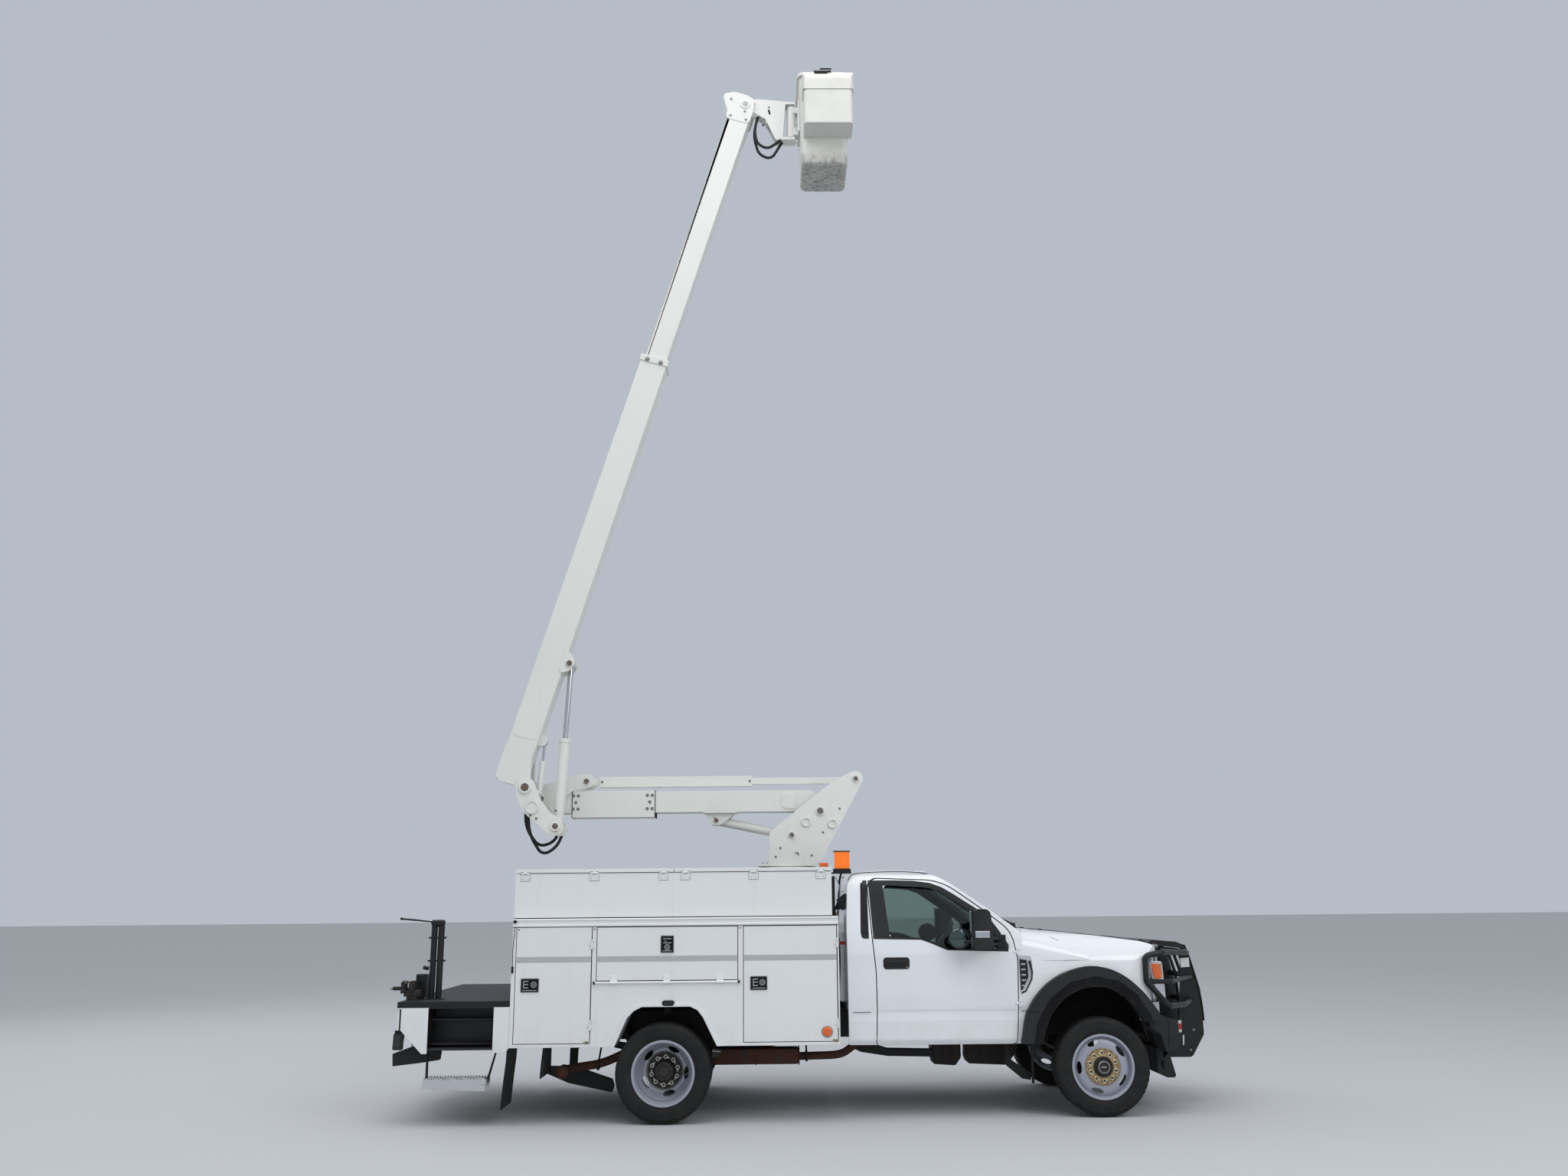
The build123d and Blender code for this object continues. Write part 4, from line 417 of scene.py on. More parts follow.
RECIPES = {
    "cab paint": lambda n: painted(n, tuple(settings("cab").paint), 0.28, coat=0.6),
    "body paint": lambda n: painted(n, tuple(settings("body").paint), 0.40, 0.1, 0.05, 0.06, 0.24),
    "boom paint": gel_coat,
    "tub shell": tub_shell,
    "trim plastic": lambda n: coated(n, (0.013, 0.0135, 0.015), 0.58, 900, 0.0004, 0.16, 0.35),
    "gloss black": lambda n: coated(n, (0.006, 0.006, 0.007), 0.18, 300, 0.0001, 0.05),
    "powder black": lambda n: coated(n, (0.007, 0.0075, 0.0085), 0.36, 420, 0.0004, 0.08, 0.4),
    "deck lining": lambda n: coated(n, (0.020, 0.021, 0.025), 0.70, 170, 0.0022, 0.25, 0.4),
    "frame black": lambda n: corroded(
        n, (0.010, 0.010, 0.010), (0.045, 0.026, 0.017), 0.14, 0.6, 0.1, 12,
    ),
    "cast iron": lambda n: corroded(
        n, (0.020, 0.019, 0.019), (0.085, 0.042, 0.024), 0.34, 0.6, 0.3, 16,
    ),
    "exhaust rust": lambda n: corroded(
        n, (0.060, 0.035, 0.026), (0.125, 0.048, 0.026), 0.70, 0.65, 0.3, 14,
    ),
    "rubber": tyre_rubber,
    "rim silver": lambda n: corroded(n, (0.355, 0.37, 0.43), (0.22, 0.20, 0.20), 0.05, 0.36, 0.3, 34),
    "rim edge": lambda n: corroded(n, (0.34, 0.335, 0.31), (0.17, 0.12, 0.09), 0.30, 0.45, 0.5, 50),
    "hub brass": lambda n: corroded(n, (0.38, 0.29, 0.155), (0.20, 0.085, 0.045), 0.42, 0.42, 0.6, 42),
    "hub dark": lambda n: corroded(n, (0.030, 0.031, 0.029), (0.060, 0.036, 0.024), 0.30, 0.5, 0.3, 40),
    "nut steel": lambda n: metal(n, (0.66, 0.58, 0.40), 0.36, 0.1, 0.30),
    "bolt steel": lambda n: metal(n, (0.30, 0.30, 0.29), 0.42, 0.1, 0.35),
    "pin rust": lambda n: corroded(n, (0.20, 0.17, 0.145), (0.17, 0.075, 0.045), 0.55, 0.5, 0.5, 60),
    "pointer cream": lambda n: coated(n, (0.66, 0.62, 0.50), 0.5, 300, 0.0003, 0.15),
    "tinted glass": lambda n: window_glass(n, (0.46, 0.56, 0.52)),
    "clear lens": lambda n: window_glass(n, (0.92, 0.94, 0.95), 0.12),
    "chrome": lambda n: metal(n, (0.80, 0.80, 0.82), 0.10, 0.0, 0.06),
    "stainless": lambda n: metal(n, (0.56, 0.56, 0.56), 0.28, 0.25, 0.15),
    "grip aluminium": lambda n: metal(n, (0.70, 0.71, 0.72), 0.36, 0.3, 0.22),
    "dark mirror": lambda n: metal(n, (0.10, 0.13, 0.13), 0.05, 0.0, 0.02),
    "mirror glass": lambda n: metal(n, (0.62, 0.66, 0.68), 0.03, 0.0, 0.02),
    "amber lens": lambda n: lens(n, (1.0, 0.25, 0.010), 0.22, 0.5),
    "red lens": lambda n: lens(n, (0.55, 0.012, 0.012), 0.03, 0.5),
    "marker lens": lambda n: lens(n, (0.95, 0.19, 0.02), 0.05, 0.6),
    "side tape": tape,
    "hose sleeve": braid,
    "gasket": lambda n: coated(n, (0.006, 0.006, 0.006), 0.7, 200, 0.0003, 0.15, 0.3),
    "seat cloth": lambda n: fabric(n, (0.055, 0.058, 0.065)),
    "dash": lambda n: coated(n, (0.030, 0.031, 0.034), 0.6, 700, 0.0004, 0.1),
    "cab lining": lambda n: coated(n, (0.23, 0.23, 0.235), 0.75, 500, 0.0004, 0.1),
    "red paint": lambda n: coated(n, (0.42, 0.018, 0.016), 0.35, 200, 0.0002, 0.2),
    "rod chrome": lambda n: metal(n, (0.62, 0.63, 0.64), 0.16, 0.2, 0.10),
    "brass": lambda n: metal(n, (0.55, 0.44, 0.22), 0.35, 0.1, 0.35),
    "tag white": lambda n: coated(n, (0.66, 0.66, 0.63), 0.45, 200, 0.0001, 0.15),
    "strip": red_and_white,
    "felt": lambda n: coated(n, (0.006, 0.006, 0.0065), 0.9, 300, 0.001, 0.2, 0.2),
    "wire red": lambda n: coated(n, (0.35, 0.02, 0.02), 0.45, 200, 0.0001, 0.15),
    "wire white": lambda n: coated(n, (0.55, 0.54, 0.50), 0.5, 200, 0.0001, 0.2),
}


def finish_of(name):
    """The finish of that name, made when it is first asked for."""
    title = name.capitalize()
    if title not in bpy.data.materials:
        RECIPES[name](title)
    return bpy.data.materials[title]


def settings(group):
    return getattr(bpy.context.scene, "truck_" + group)


class Form:
    """A piece while it is modelled, in millimetres."""

    def __init__(self, *looks):
        self.mesh = bmesh.new()
        self.looks = list(looks)
        self.now = 0

    def using(self, look):
        """What is added next has this finish."""
        if look not in self.looks:
            self.looks.append(look)
        self.now = self.looks.index(look)
        return self

    def add(self, part, soft=0.0, segments=2, turn=None):
        """Joins one shape, its sharp edges rounded by soft, then turned into place."""
        bmesh.ops.recalc_face_normals(part, faces=part.faces)
        if soft:
            sharp = [e for e in part.edges if e.is_manifold and e.calc_face_angle() > 0.6]
            bmesh.ops.bevel(
                part, geom=sharp, affect="EDGES", offset=soft, segments=segments, profile=0.5,
                material=-1, clamp_overlap=True,
            )
        if turn is not None:
            bmesh.ops.transform(part, matrix=turn, verts=part.verts)
        for f in part.faces:
            f.material_index = self.now
        holder = bpy.data.meshes.new("holder")
        part.to_mesh(holder)
        part.free()
        self.mesh.from_mesh(holder)
        bpy.data.meshes.remove(holder)
        return self

    def box(self, x0, x1, y0, y1, z0, z1, soft=0.0, segments=2, turn=None):
        part = bmesh.new()
        size = Matrix.Diagonal((x1 - x0, y1 - y0, z1 - z0, 1))
        middle = Matrix.Translation(((x0 + x1) / 2, (y0 + y1) / 2, (z0 + z1) / 2))
        bmesh.ops.create_cube(part, size=1, matrix=middle @ size)
        return self.add(part, soft, segments, turn=turn)

    def rod(self, a, b, r, r_end=None, sides=24, soft=0.0, turn=None):
        """A round bar or cone from a to b."""
        part = bmesh.new()
        a, b = Vector(a), Vector(b)
        way = (b - a).to_track_quat("Z", "Y").to_matrix().to_4x4()
        bmesh.ops.create_cone(
            part, cap_ends=True, segments=sides, radius1=r, radius2=r if r_end is None else r_end,
            depth=(b - a).length, matrix=Matrix.Translation((a + b) / 2) @ way,
        )
        return self.add(part, soft, turn=turn)

    def across(self, x, z, y0, y1, r, sides=24, soft=0.0, turn=None):
        """A round bar across the truck."""
        return self.rod((x, y0, z), (x, y1, z), r, sides=sides, soft=soft, turn=turn)

    def bolt(self, place, way, r, high, washer=True, sides=6):
        """A hexagon head on its washer, standing out along way."""
        a, way = Vector(place), Vector(way).normalized()
        if washer:
            self.rod(a, a + way * high * 0.25, r * 1.35, sides=16)
            a = a + way * high * 0.25
        return self.rod(a, a + way * high * 0.75, r, sides=sides, soft=high * 0.09)

    def ball(self, place, radii, turn=None):
        part = bmesh.new()
        size = Matrix.Diagonal((*radii, 1))
        bmesh.ops.create_uvsphere(
            part, u_segments=20, v_segments=12, radius=1, matrix=Matrix.Translation(place) @ size
        )
        return self.add(part, turn=turn)

    def slab(self, outline, axis, low, high, soft=0.0, corner=0.0, segments=2, turn=None):
        """A flat outline pulled from low to high along axis, its corners rounded first."""
        part = bmesh.new()
        order = {"x": (2, 0, 1), "y": (0, 2, 1), "z": (0, 1, 2)}[axis]
        verts = []
        for u, v in outline:
            flat = (u, v, low)
            verts.append(part.verts.new(tuple(flat[i] for i in order)))
        part.faces.new(verts)
        if corner:
            bmesh.ops.bevel(
                part, geom=list(part.verts), affect="VERTICES", offset=corner, segments=4,
                profile=0.5, material=-1, clamp_overlap=True,
            )
        way = {"x": (high - low, 0, 0), "y": (0, high - low, 0), "z": (0, 0, high - low)}[axis]
        pulled = bmesh.ops.extrude_face_region(part, geom=list(part.faces))["geom"]
        moved = [g for g in pulled if isinstance(g, bmesh.types.BMVert)]
        bmesh.ops.translate(part, verts=moved, vec=way)
        return self.add(part, soft, segments, turn=turn)

    def turned(self, profile, centre, way="y", steps=48, soft=0.0, turn=None):
        """A closed profile of (radius, along) pairs spun about an axis through centre."""
        part = bmesh.new()
        centre = Vector(centre)
        out = {"x": Vector((0, 0, 1)), "y": Vector((1, 0, 0)), "z": Vector((1, 0, 0))}[way]
        axis = {"x": Vector((1, 0, 0)), "y": Vector((0, 1, 0)), "z": Vector((0, 0, 1))}[way]
        verts = [part.verts.new(centre + out * r + axis * s) for r, s in profile]
        edges = [part.edges.new((a, b)) for a, b in zip(verts, verts[1:])]
        if profile[0][0] > 0.01 or profile[-1][0] > 0.01:
            edges.append(part.edges.new((verts[-1], verts[0])))
        bmesh.ops.spin(
            part, geom=verts + edges, cent=centre, axis=axis, angle=math.tau, steps=steps,
            use_merge=True,
        )
        bmesh.ops.remove_doubles(part, verts=part.verts, dist=0.01)
        return self.add(part, soft, turn=turn)

    def tube(self, points, r, rounds=3, resolution=6):
        """A round wire or pipe whose line runs smoothly by these points."""
        curve = bpy.data.curves.new("route", "CURVE")
        curve.dimensions = "3D"
        curve.bevel_depth = r
        curve.bevel_resolution = rounds
        curve.resolution_u = resolution
        curve.use_fill_caps = True
        line = curve.splines.new("NURBS")
        line.points.add(len(points) - 1)
        for point, place in zip(line.points, points):
            point.co = (*place, 1)
        line.order_u = 3
        line.use_endpoint_u = True
        holder = bpy.data.objects.new("route", curve)
        mesh = bpy.data.meshes.new_from_object(holder)
        bpy.data.objects.remove(holder)
        bpy.data.curves.remove(curve)
        part = bmesh.new()
        part.from_mesh(mesh)
        bpy.data.meshes.remove(mesh)
        bmesh.ops.remove_doubles(part, verts=part.verts, dist=0.001)
        return self.add(part)

    def skin(self, outline, side, lift, depth, hole=None, every=45, across=0, soft=0.0):
        """A panel that follows the curved side of the cab or nose, lift proud of it."""
        part = bmesh.new()
        for loop in filter(None, (outline, hole)):
            verts = [part.verts.new((x, 0, z)) for x, z in loop]
            for a, b in zip(verts, verts[1:] + verts[:1]):
                part.edges.new((a, b))
        bmesh.ops.triangle_fill(part, use_beauty=True, edges=list(part.edges))
        low = min(v.co.z for v in part.verts)
        high = max(v.co.z for v in part.verts)
        for i in range(1, int((high - low) / every) + 1):
            bmesh.ops.bisect_plane(
                part, geom=list(part.verts) + list(part.edges) + list(part.faces),
                plane_co=(0, 0, low + i * every), plane_no=(0, 0, 1),
            )
        low = min(v.co.x for v in part.verts)
        high = max(v.co.x for v in part.verts)
        for i in range(1, int((high - low) / across) + 1 if across else 0):
            bmesh.ops.bisect_plane(
                part, geom=list(part.verts) + list(part.edges) + list(part.faces),
                plane_co=(low + i * across, 0, 0), plane_no=(1, 0, 0),
            )
        for v in part.verts:
            v.co.y = side(v.co.x, v.co.z) + lift
        pulled = bmesh.ops.extrude_face_region(part, geom=list(part.faces))["geom"]
        moved = [g for g in pulled if isinstance(g, bmesh.types.BMVert)]
        bmesh.ops.translate(part, verts=moved, vec=(0, -depth, 0))
        return self.add(part, soft)

    def carve(self, tool):
        """Takes another form's shape out of this one."""
        objects = []
        for form in (self, tool):
            mesh = bpy.data.meshes.new("carving")
            form.mesh.to_mesh(mesh)
            objects.append(bpy.data.objects.new("carving", mesh))
            bpy.context.scene.collection.objects.link(objects[-1])
        cut = objects[0].modifiers.new("Cut", "BOOLEAN")
        cut.operation = "DIFFERENCE"
        cut.solver = "EXACT"
        cut.object = objects[1]
        bpy.context.view_layer.update()
        graph = bpy.context.evaluated_depsgraph_get()
        mesh = bpy.data.meshes.new_from_object(objects[0].evaluated_get(graph))
        self.mesh.free()
        tool.mesh.free()
        self.mesh = bmesh.new()
        self.mesh.from_mesh(mesh)
        for thing in objects:
            bpy.data.meshes.remove(thing.data)
        bpy.data.meshes.remove(mesh)
        return self

    def mirror(self, keep=True):
        """The same shapes on the truck's other side, beside these or instead of them."""
        shape = list(self.mesh.verts) + list(self.mesh.edges) + list(self.mesh.faces)
        if keep:
            shape = bmesh.ops.duplicate(self.mesh, geom=shape)["geom"]
        verts = [g for g in shape if isinstance(g, bmesh.types.BMVert)]
        faces = [g for g in shape if isinstance(g, bmesh.types.BMFace)]
        bmesh.ops.scale(self.mesh, vec=(1, -1, 1), verts=verts)
        bmesh.ops.reverse_faces(self.mesh, faces=faces)
        return self

    def moved(self, matrix):
        bmesh.ops.transform(self.mesh, matrix=matrix, verts=self.mesh.verts)
        return self

    def piece(self, name, body, slot=None, replaces=(), angle=32, weighted=True):
        """Ends the modelling: a Blender object in metres that rides on a body of the frame."""
        self.moved(TO_ROW)
        return self.settle(name, body, replaces, angle, weighted)

    def settle(self, name, body, replaces, angle, weighted):
        mesh = bpy.data.meshes.new(name)
        self.mesh.to_mesh(mesh)
        self.mesh.free()
        for look in self.looks:
            mesh.materials.append(finish_of(look))
        mesh.shade_smooth()
        mesh.set_sharp_from_angle(angle=math.radians(angle))
        thing = bpy.data.objects.new(name, mesh)
        bpy.context.scene.collection.objects.link(thing)
        if weighted:
            even = thing.modifiers.new("Even shading", "WEIGHTED_NORMAL")
            even.keep_sharp = True
        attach(thing, body)
        if replaces:
            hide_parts(*replaces)
        return thing


def islands(mesh):
    """The separate shapes of a mesh, as lists of faces."""
    left = set(mesh.faces)
    while left:
        found = [left.pop()]
        for face in found:
            for edge in face.edges:
                for other in edge.link_faces:
                    if other in left:
                        left.remove(other)
                        found.append(other)
        yield found


def room_at(edge):
    """How far an edge can be rounded before it meets what lies beside it."""
    way = (edge.verts[1].co - edge.verts[0].co).normalized()
    room = 1.0
    for face in edge.link_faces:
        for vert in edge.verts:
            for other in vert.link_edges:
                if other is edge or other not in face.edges:
                    continue
                along = (other.other_vert(vert).co - vert.co).normalized()
                if abs(along.dot(way)) < 0.77:
                    room = min(room, other.calc_length())
    return room


def dress(node, rules, soft=1.5, angle=32, keep=None, cuts=(), rounds=()):
    """A merged copy of a CAD node with rounded edges, each face in the finish of the first
    rule that fits it, which stands for the node. A rule is a finish and a test of a face's
    middle, its normal and its shape's box, in millimetres, or a finish alone. Cuts are planes
    that part its faces, and rounds are corners across the truck with their radii."""
    form = Form()
    mesh = form.mesh
    mesh.from_mesh(NODES[node].data)
    bmesh.ops.remove_doubles(mesh, verts=mesh.verts, dist=0.00002)
    bmesh.ops.dissolve_degenerate(mesh, edges=mesh.edges, dist=0.00001)
    bmesh.ops.dissolve_limit(
        mesh, angle_limit=math.radians(0.6), use_dissolve_boundaries=False, verts=mesh.verts,
        edges=mesh.edges, delimit=set(),
    )
    for x, z, size in rounds:
        spot = TO_ROW @ Vector((x, 0, z))
        corner = [
            e for e in mesh.edges
            if all(abs(v.co.x - spot.x) + abs(v.co.z - spot.z) < 0.004 for v in e.verts)
        ]
        bmesh.ops.bevel(
            mesh, geom=corner, affect="EDGES", offset=size / 1000, segments=6, profile=0.5,
            material=-1, clamp_overlap=True,
        )
    bmesh.ops.connect_verts_concave(mesh, faces=mesh.faces)
    for place, way in cuts:
        bmesh.ops.bisect_plane(
            mesh, geom=list(mesh.verts) + list(mesh.edges) + list(mesh.faces),
            plane_co=TO_ROW @ Vector(place), plane_no=way,
        )
    back = TO_ROW.inverted()
    for shape in islands(mesh):
        corners = [back @ v.co for f in shape for v in f.verts]
        low = Vector([min(c[i] for c in corners) for i in range(3)])
        high = Vector([max(c[i] for c in corners) for i in range(3)])
        if keep and not keep(low, high):
            bmesh.ops.delete(mesh, geom=shape, context="FACES")
            continue
        for face in shape:
            middle = back @ face.calc_center_median()
            for rule in rules:
                look, test = (rule, None) if isinstance(rule, str) else rule
                if test is None or test(middle, face.normal, (low, high)):
                    form.using(look)
                    face.material_index = form.now
                    break
            else:
                raise RuntimeError("no finish for a face of " + node)
    if soft:
        size = soft / 1000
        sharp = [
            e for e in mesh.edges
            if e.is_manifold and e.calc_face_angle() > 0.6 and room_at(e) > 2.6 * size
        ]
        bmesh.ops.bevel(
            mesh, geom=sharp, affect="EDGES", offset=size, segments=2, profile=0.5, material=-1,
            clamp_overlap=False,
        )
    body = NODES[node]["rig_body"]
    return form.settle("dressed_" + node, body, (node,), angle, True)


def inside_of(*centre):
    """True for faces that look at this point: the inner side of a hollow shell."""
    spot = Vector(centre)
    return lambda c, n, box: n.dot(spot - c) > 0


# Wheels

def tyre_form(y):
    """One tyre with its beads, side walls and a ribbed tread."""
    s = settings("wheels")
    form = Form("rubber")
    side = [
        (252, 80), (252, 90), (262, 95), (268, 101), (274, 103), (292, 108), (300, 111), (304, 111),
        (318, 113), (334, 113), (338, 112), (352, 110.5), (356, 112), (362, 111), (366, 108),
        (377, 104), (386, 96), (387, 74), (386.5, 60), (387, 30),
    ]
    profile = [(r, y + v) for r, v in side] + [(r, y - v) for r, v in reversed(side)]
    form.turned(profile, (0, 0, 0), steps=96)
    pitch = math.tau / s.tread_pitches
    long = 397.2 * pitch
    top = 397.6
    base = 397.6 - s.tread_depth * 1000
    one = Form("rubber")
    rows = ((-92, -70, 0.0, 0.78, 6), (-64, -28, 0.4, 0.90, 14), (-22, 22, 0.1, 0.92, -12),
            (28, 64, 0.6, 0.90, 14), (70, 92, 0.3, 0.78, -6))
    for y0, y1, phase, share, skew in rows:
        turn = Matrix.Rotation(-phase * pitch, 4, "Y")
        half = long * share / 2
        outline = [(-half, y + y0), (half, y + y0), (half + skew, y + y1), (-half + skew, y + y1)]
        one.slab(outline, "z", base - 2, top - 0.6, soft=1.4, segments=1, turn=turn)
    for sign in (-1, 1):
        lug = ((94, 393), (103, 380), (108, 366), (100, 366), (88, 384))
        outline = [(y + sign * a, b) for a, b in lug]
        one.slab(outline, "x", -long * 0.3, long * 0.3, soft=1, segments=1)
    copies = one.mesh
    bmesh.ops.spin(
        copies, geom=list(copies.verts) + list(copies.edges) + list(copies.faces), cent=(0, 0, 0),
        axis=(0, 1, 0), angle=math.tau - pitch, steps=s.tread_pitches - 1, use_duplicate=True,
    )
    form.add(copies)
    return form


def barrel_profile(y):
    """The rim's outer barrel with a rolled flange at each side."""
    half = [
        (RIM_R - 12, 49), (RIM_R - 3, 62), (RIM_R - 2, 97), (RIM_R + 2, 101), (RIM_R + 9, 102),
        (RIM_R + 13.5, 100), (RIM_R + 14, 104), (RIM_R + 12, 107.5), (RIM_R + 4, 108),
        (RIM_R - 5, 107), (RIM_R - 9, 102), (RIM_R - 10, 66), (RIM_R - 20, 51),
    ]
    outer = half[:6]
    inner = half[6:]
    right = outer + inner
    loop = [(r, y + v) for r, v in right]
    loop += [(r, y - v) for r, v in reversed(right)]
    return loop


def oval_holes(radius, y0, y1, count, first, half_round, half_out):
    """Cutters for the hand holes of a rim's disc."""
    tool = Form("rim silver")
    for i in range(count):
        angle = first + math.tau * i / count
        turn = Matrix.Rotation(-angle, 4, "Y")
        shape = [
            (radius + half_out * math.cos(a), half_round * math.sin(a))
            for a in (math.tau * k / 20 for k in range(20))
        ]
        tool.slab(shape, "y", y0, y1, turn=turn)
    return tool


def pointer(form, x, z, y, way):
    """A loose marker on a wheel nut: a ring with a point on one side."""
    form.turned([(9.5, y), (18, y), (18, y + 4), (14, y + 7), (9.5, y + 5)], (x, 0, z), steps=20)
    turn = Matrix.Translation((x, 0, z)) @ Matrix.Rotation(-way, 4, "Y")
    form.slab([(14, -9), (39, -1), (39, 1), (14, 9)], "y", y, y + 5, soft=1, turn=turn)


def front_rim_form():
    y = FRONT_Y
    form = Form("rim silver")
    disc = [
        (92, y + 62), (150, y + 70), (196, y + 62), (222, y + 50), (232, y + 38), (238, y + 38),
        (240, y + 52), (234, y + 60), (216, y + 72), (190, y + 79), (150, y + 84), (118, y + 82),
        (92, y + 76),
    ]
    form.turned(disc, (0, 0, 0), steps=90)
    form.carve(oval_holes(197, y + 20, y + 120, 5, math.radians(38), 53, 21))
    form.turned(barrel_profile(y), (0, 0, 0), steps=90)
    form.using("hub brass")
    flange = [
        (84, y + 76), (147, y + 78), (148, y + 86), (143, y + 92), (100, y + 94), (86, y + 99),
        (84, y + 99),
    ]
    form.turned(flange, (0, 0, 0), steps=60)
    form.using("rim edge")
    form.turned([(146, y + 78), (155, y + 78), (154, y + 88), (148, y + 89)], (0, 0, 0), steps=60)
    form.using("hub dark")
    form.turned([(0, y + 76), (84, y + 76), (84, y + 84), (0, y + 84)], (0, 0, 0), steps=48)
    form.turned([(0, y + 80), (50, y + 80), (50, y + 118), (0, y + 118)], (0, 0, 0), steps=40)
    form.using("bolt steel")
    cap = [(38, y + 112), (51, y + 112), (53, y + 126), (48, y + 133), (40, y + 133), (38, y + 128)]
    form.turned(cap, (0, 0, 0), steps=40)
    form.using("rim edge")
    form.box(-24, 24, y + 116, y + 128, -6, 6, soft=2)
    for i in range(10):
        angle = math.tau * i / 10 + math.radians(20)
        x, z = 112.5 * math.cos(angle), 112.5 * math.sin(angle)
        form.using("hub dark")
        form.rod((x, y + 92, z), (x, y + 100, z), 10, sides=12, soft=1)
        form.using("nut steel")
        pointer(form, x, z, y + 93, angle + math.radians(105))
    return form


def rear_rims_form():
    m = DUAL_MID
    form = Form("rim silver")
    disc = [
        (84, m - 12), (172, m - 12), (184, m - 18), (226, m - 66), (234, m - 72), (238, m - 72),
        (238, m - 62), (232, m - 54), (190, m - 4), (190, m + 4), (232, m + 54), (238, m + 62),
        (238, m + 72), (234, m + 72), (226, m + 66), (184, m + 18), (172, m + 12), (84, m + 12),
    ]
    form.turned(disc, (0, 0, 0), steps=90)
    form.carve(oval_holes(182, m - 80, m + 80, 5, math.radians(66), 52, 21))
    form.turned(barrel_profile(DUAL_OUTER), (0, 0, 0), steps=90)
    form.turned(barrel_profile(DUAL_INNER), (0, 0, 0), steps=64)
    form.using("rim edge")
    lip = [(144, m + 10), (156, m + 10), (157, m + 18), (151, m + 24), (145, m + 18)]
    form.turned(lip, (0, 0, 0), steps=60)
    form.using("hub dark")
    form.turned([(70, m + 8), (146, m + 8), (146, m + 15), (70, m + 17)], (0, 0, 0), steps=60)
    hub = [
        (0, m - 30), (88, m - 30), (88, m + 14), (84, m + 20), (82, m + 70), (78, m + 88),
        (74, m + 100), (62, m + 106), (46, m + 108), (44, m + 118), (38, m + 124), (0, m + 125),
    ]
    form.turned(hub, (0, 0, 0), steps=48)
    for i in range(8):
        angle = math.tau * i / 8
        form.bolt((60 * math.cos(angle), m + 106, 60 * math.sin(angle)), (0, 1, 0), 7, 8)
    for i in range(10):
        angle = math.tau * i / 10 + math.radians(14)
        x, z = 112.5 * math.cos(angle), 112.5 * math.sin(angle)
        form.using("hub dark")
        form.rod((x, m + 14, z), (x, m + 38, z), 15.5, 14, sides=6, soft=1)
        form.rod((x, m + 38, z), (x, m + 44, z), 9, sides=12, soft=1)
        form.using("pointer cream")
        pointer(form, x, z, m + 37, angle - math.radians(105))
    return form


class TRUCK_OT_wheels(bpy.types.Operator):
    """Tyres with their tread, painted rims, hubs and wheel nuts"""

    bl_idname = "truck.wheels"
    bl_label = "Wheels"

    def execute(self, context):
        for sign, tag in SIDES:
            at_front = Matrix.Translation((WHEEL_BASE, 0, AXLE_Z))
            at_rear = Matrix.Translation((0, 0, AXLE_Z))
            body = "front_wheel_" + tag
            self.place(front_rim_form(), sign, at_front).piece(
                "rim_front_" + tag, body, "rim_silver", ("front_rim_" + tag,)
            )
            self.place(tyre_form(FRONT_Y), sign, at_front).piece(
                "tyre_front_" + tag, body, "tyre", ("front_tyre_" + tag,), weighted=False
            )
            body = "rear_wheels_" + tag
            self.place(rear_rims_form(), sign, at_rear).piece(
                "rims_rear_" + tag, body, "rim_silver", ("rear_rims_" + tag,)
            )
            for name, y in (("outer", DUAL_OUTER), ("inner", DUAL_INNER)):
                self.place(tyre_form(y), sign, at_rear).piece(
                    "tyre_rear_" + name + "_" + tag, body, "tyre", ("rear_tyres_" + tag,),
                    weighted=False,
                )
        return {"FINISHED"}

    def place(self, form, sign, matrix):
        if sign < 0:
            form.mirror(keep=False)
        return form.moved(matrix)


# Cab

INWARD_CAB = inside_of(2300, 0, 1300)


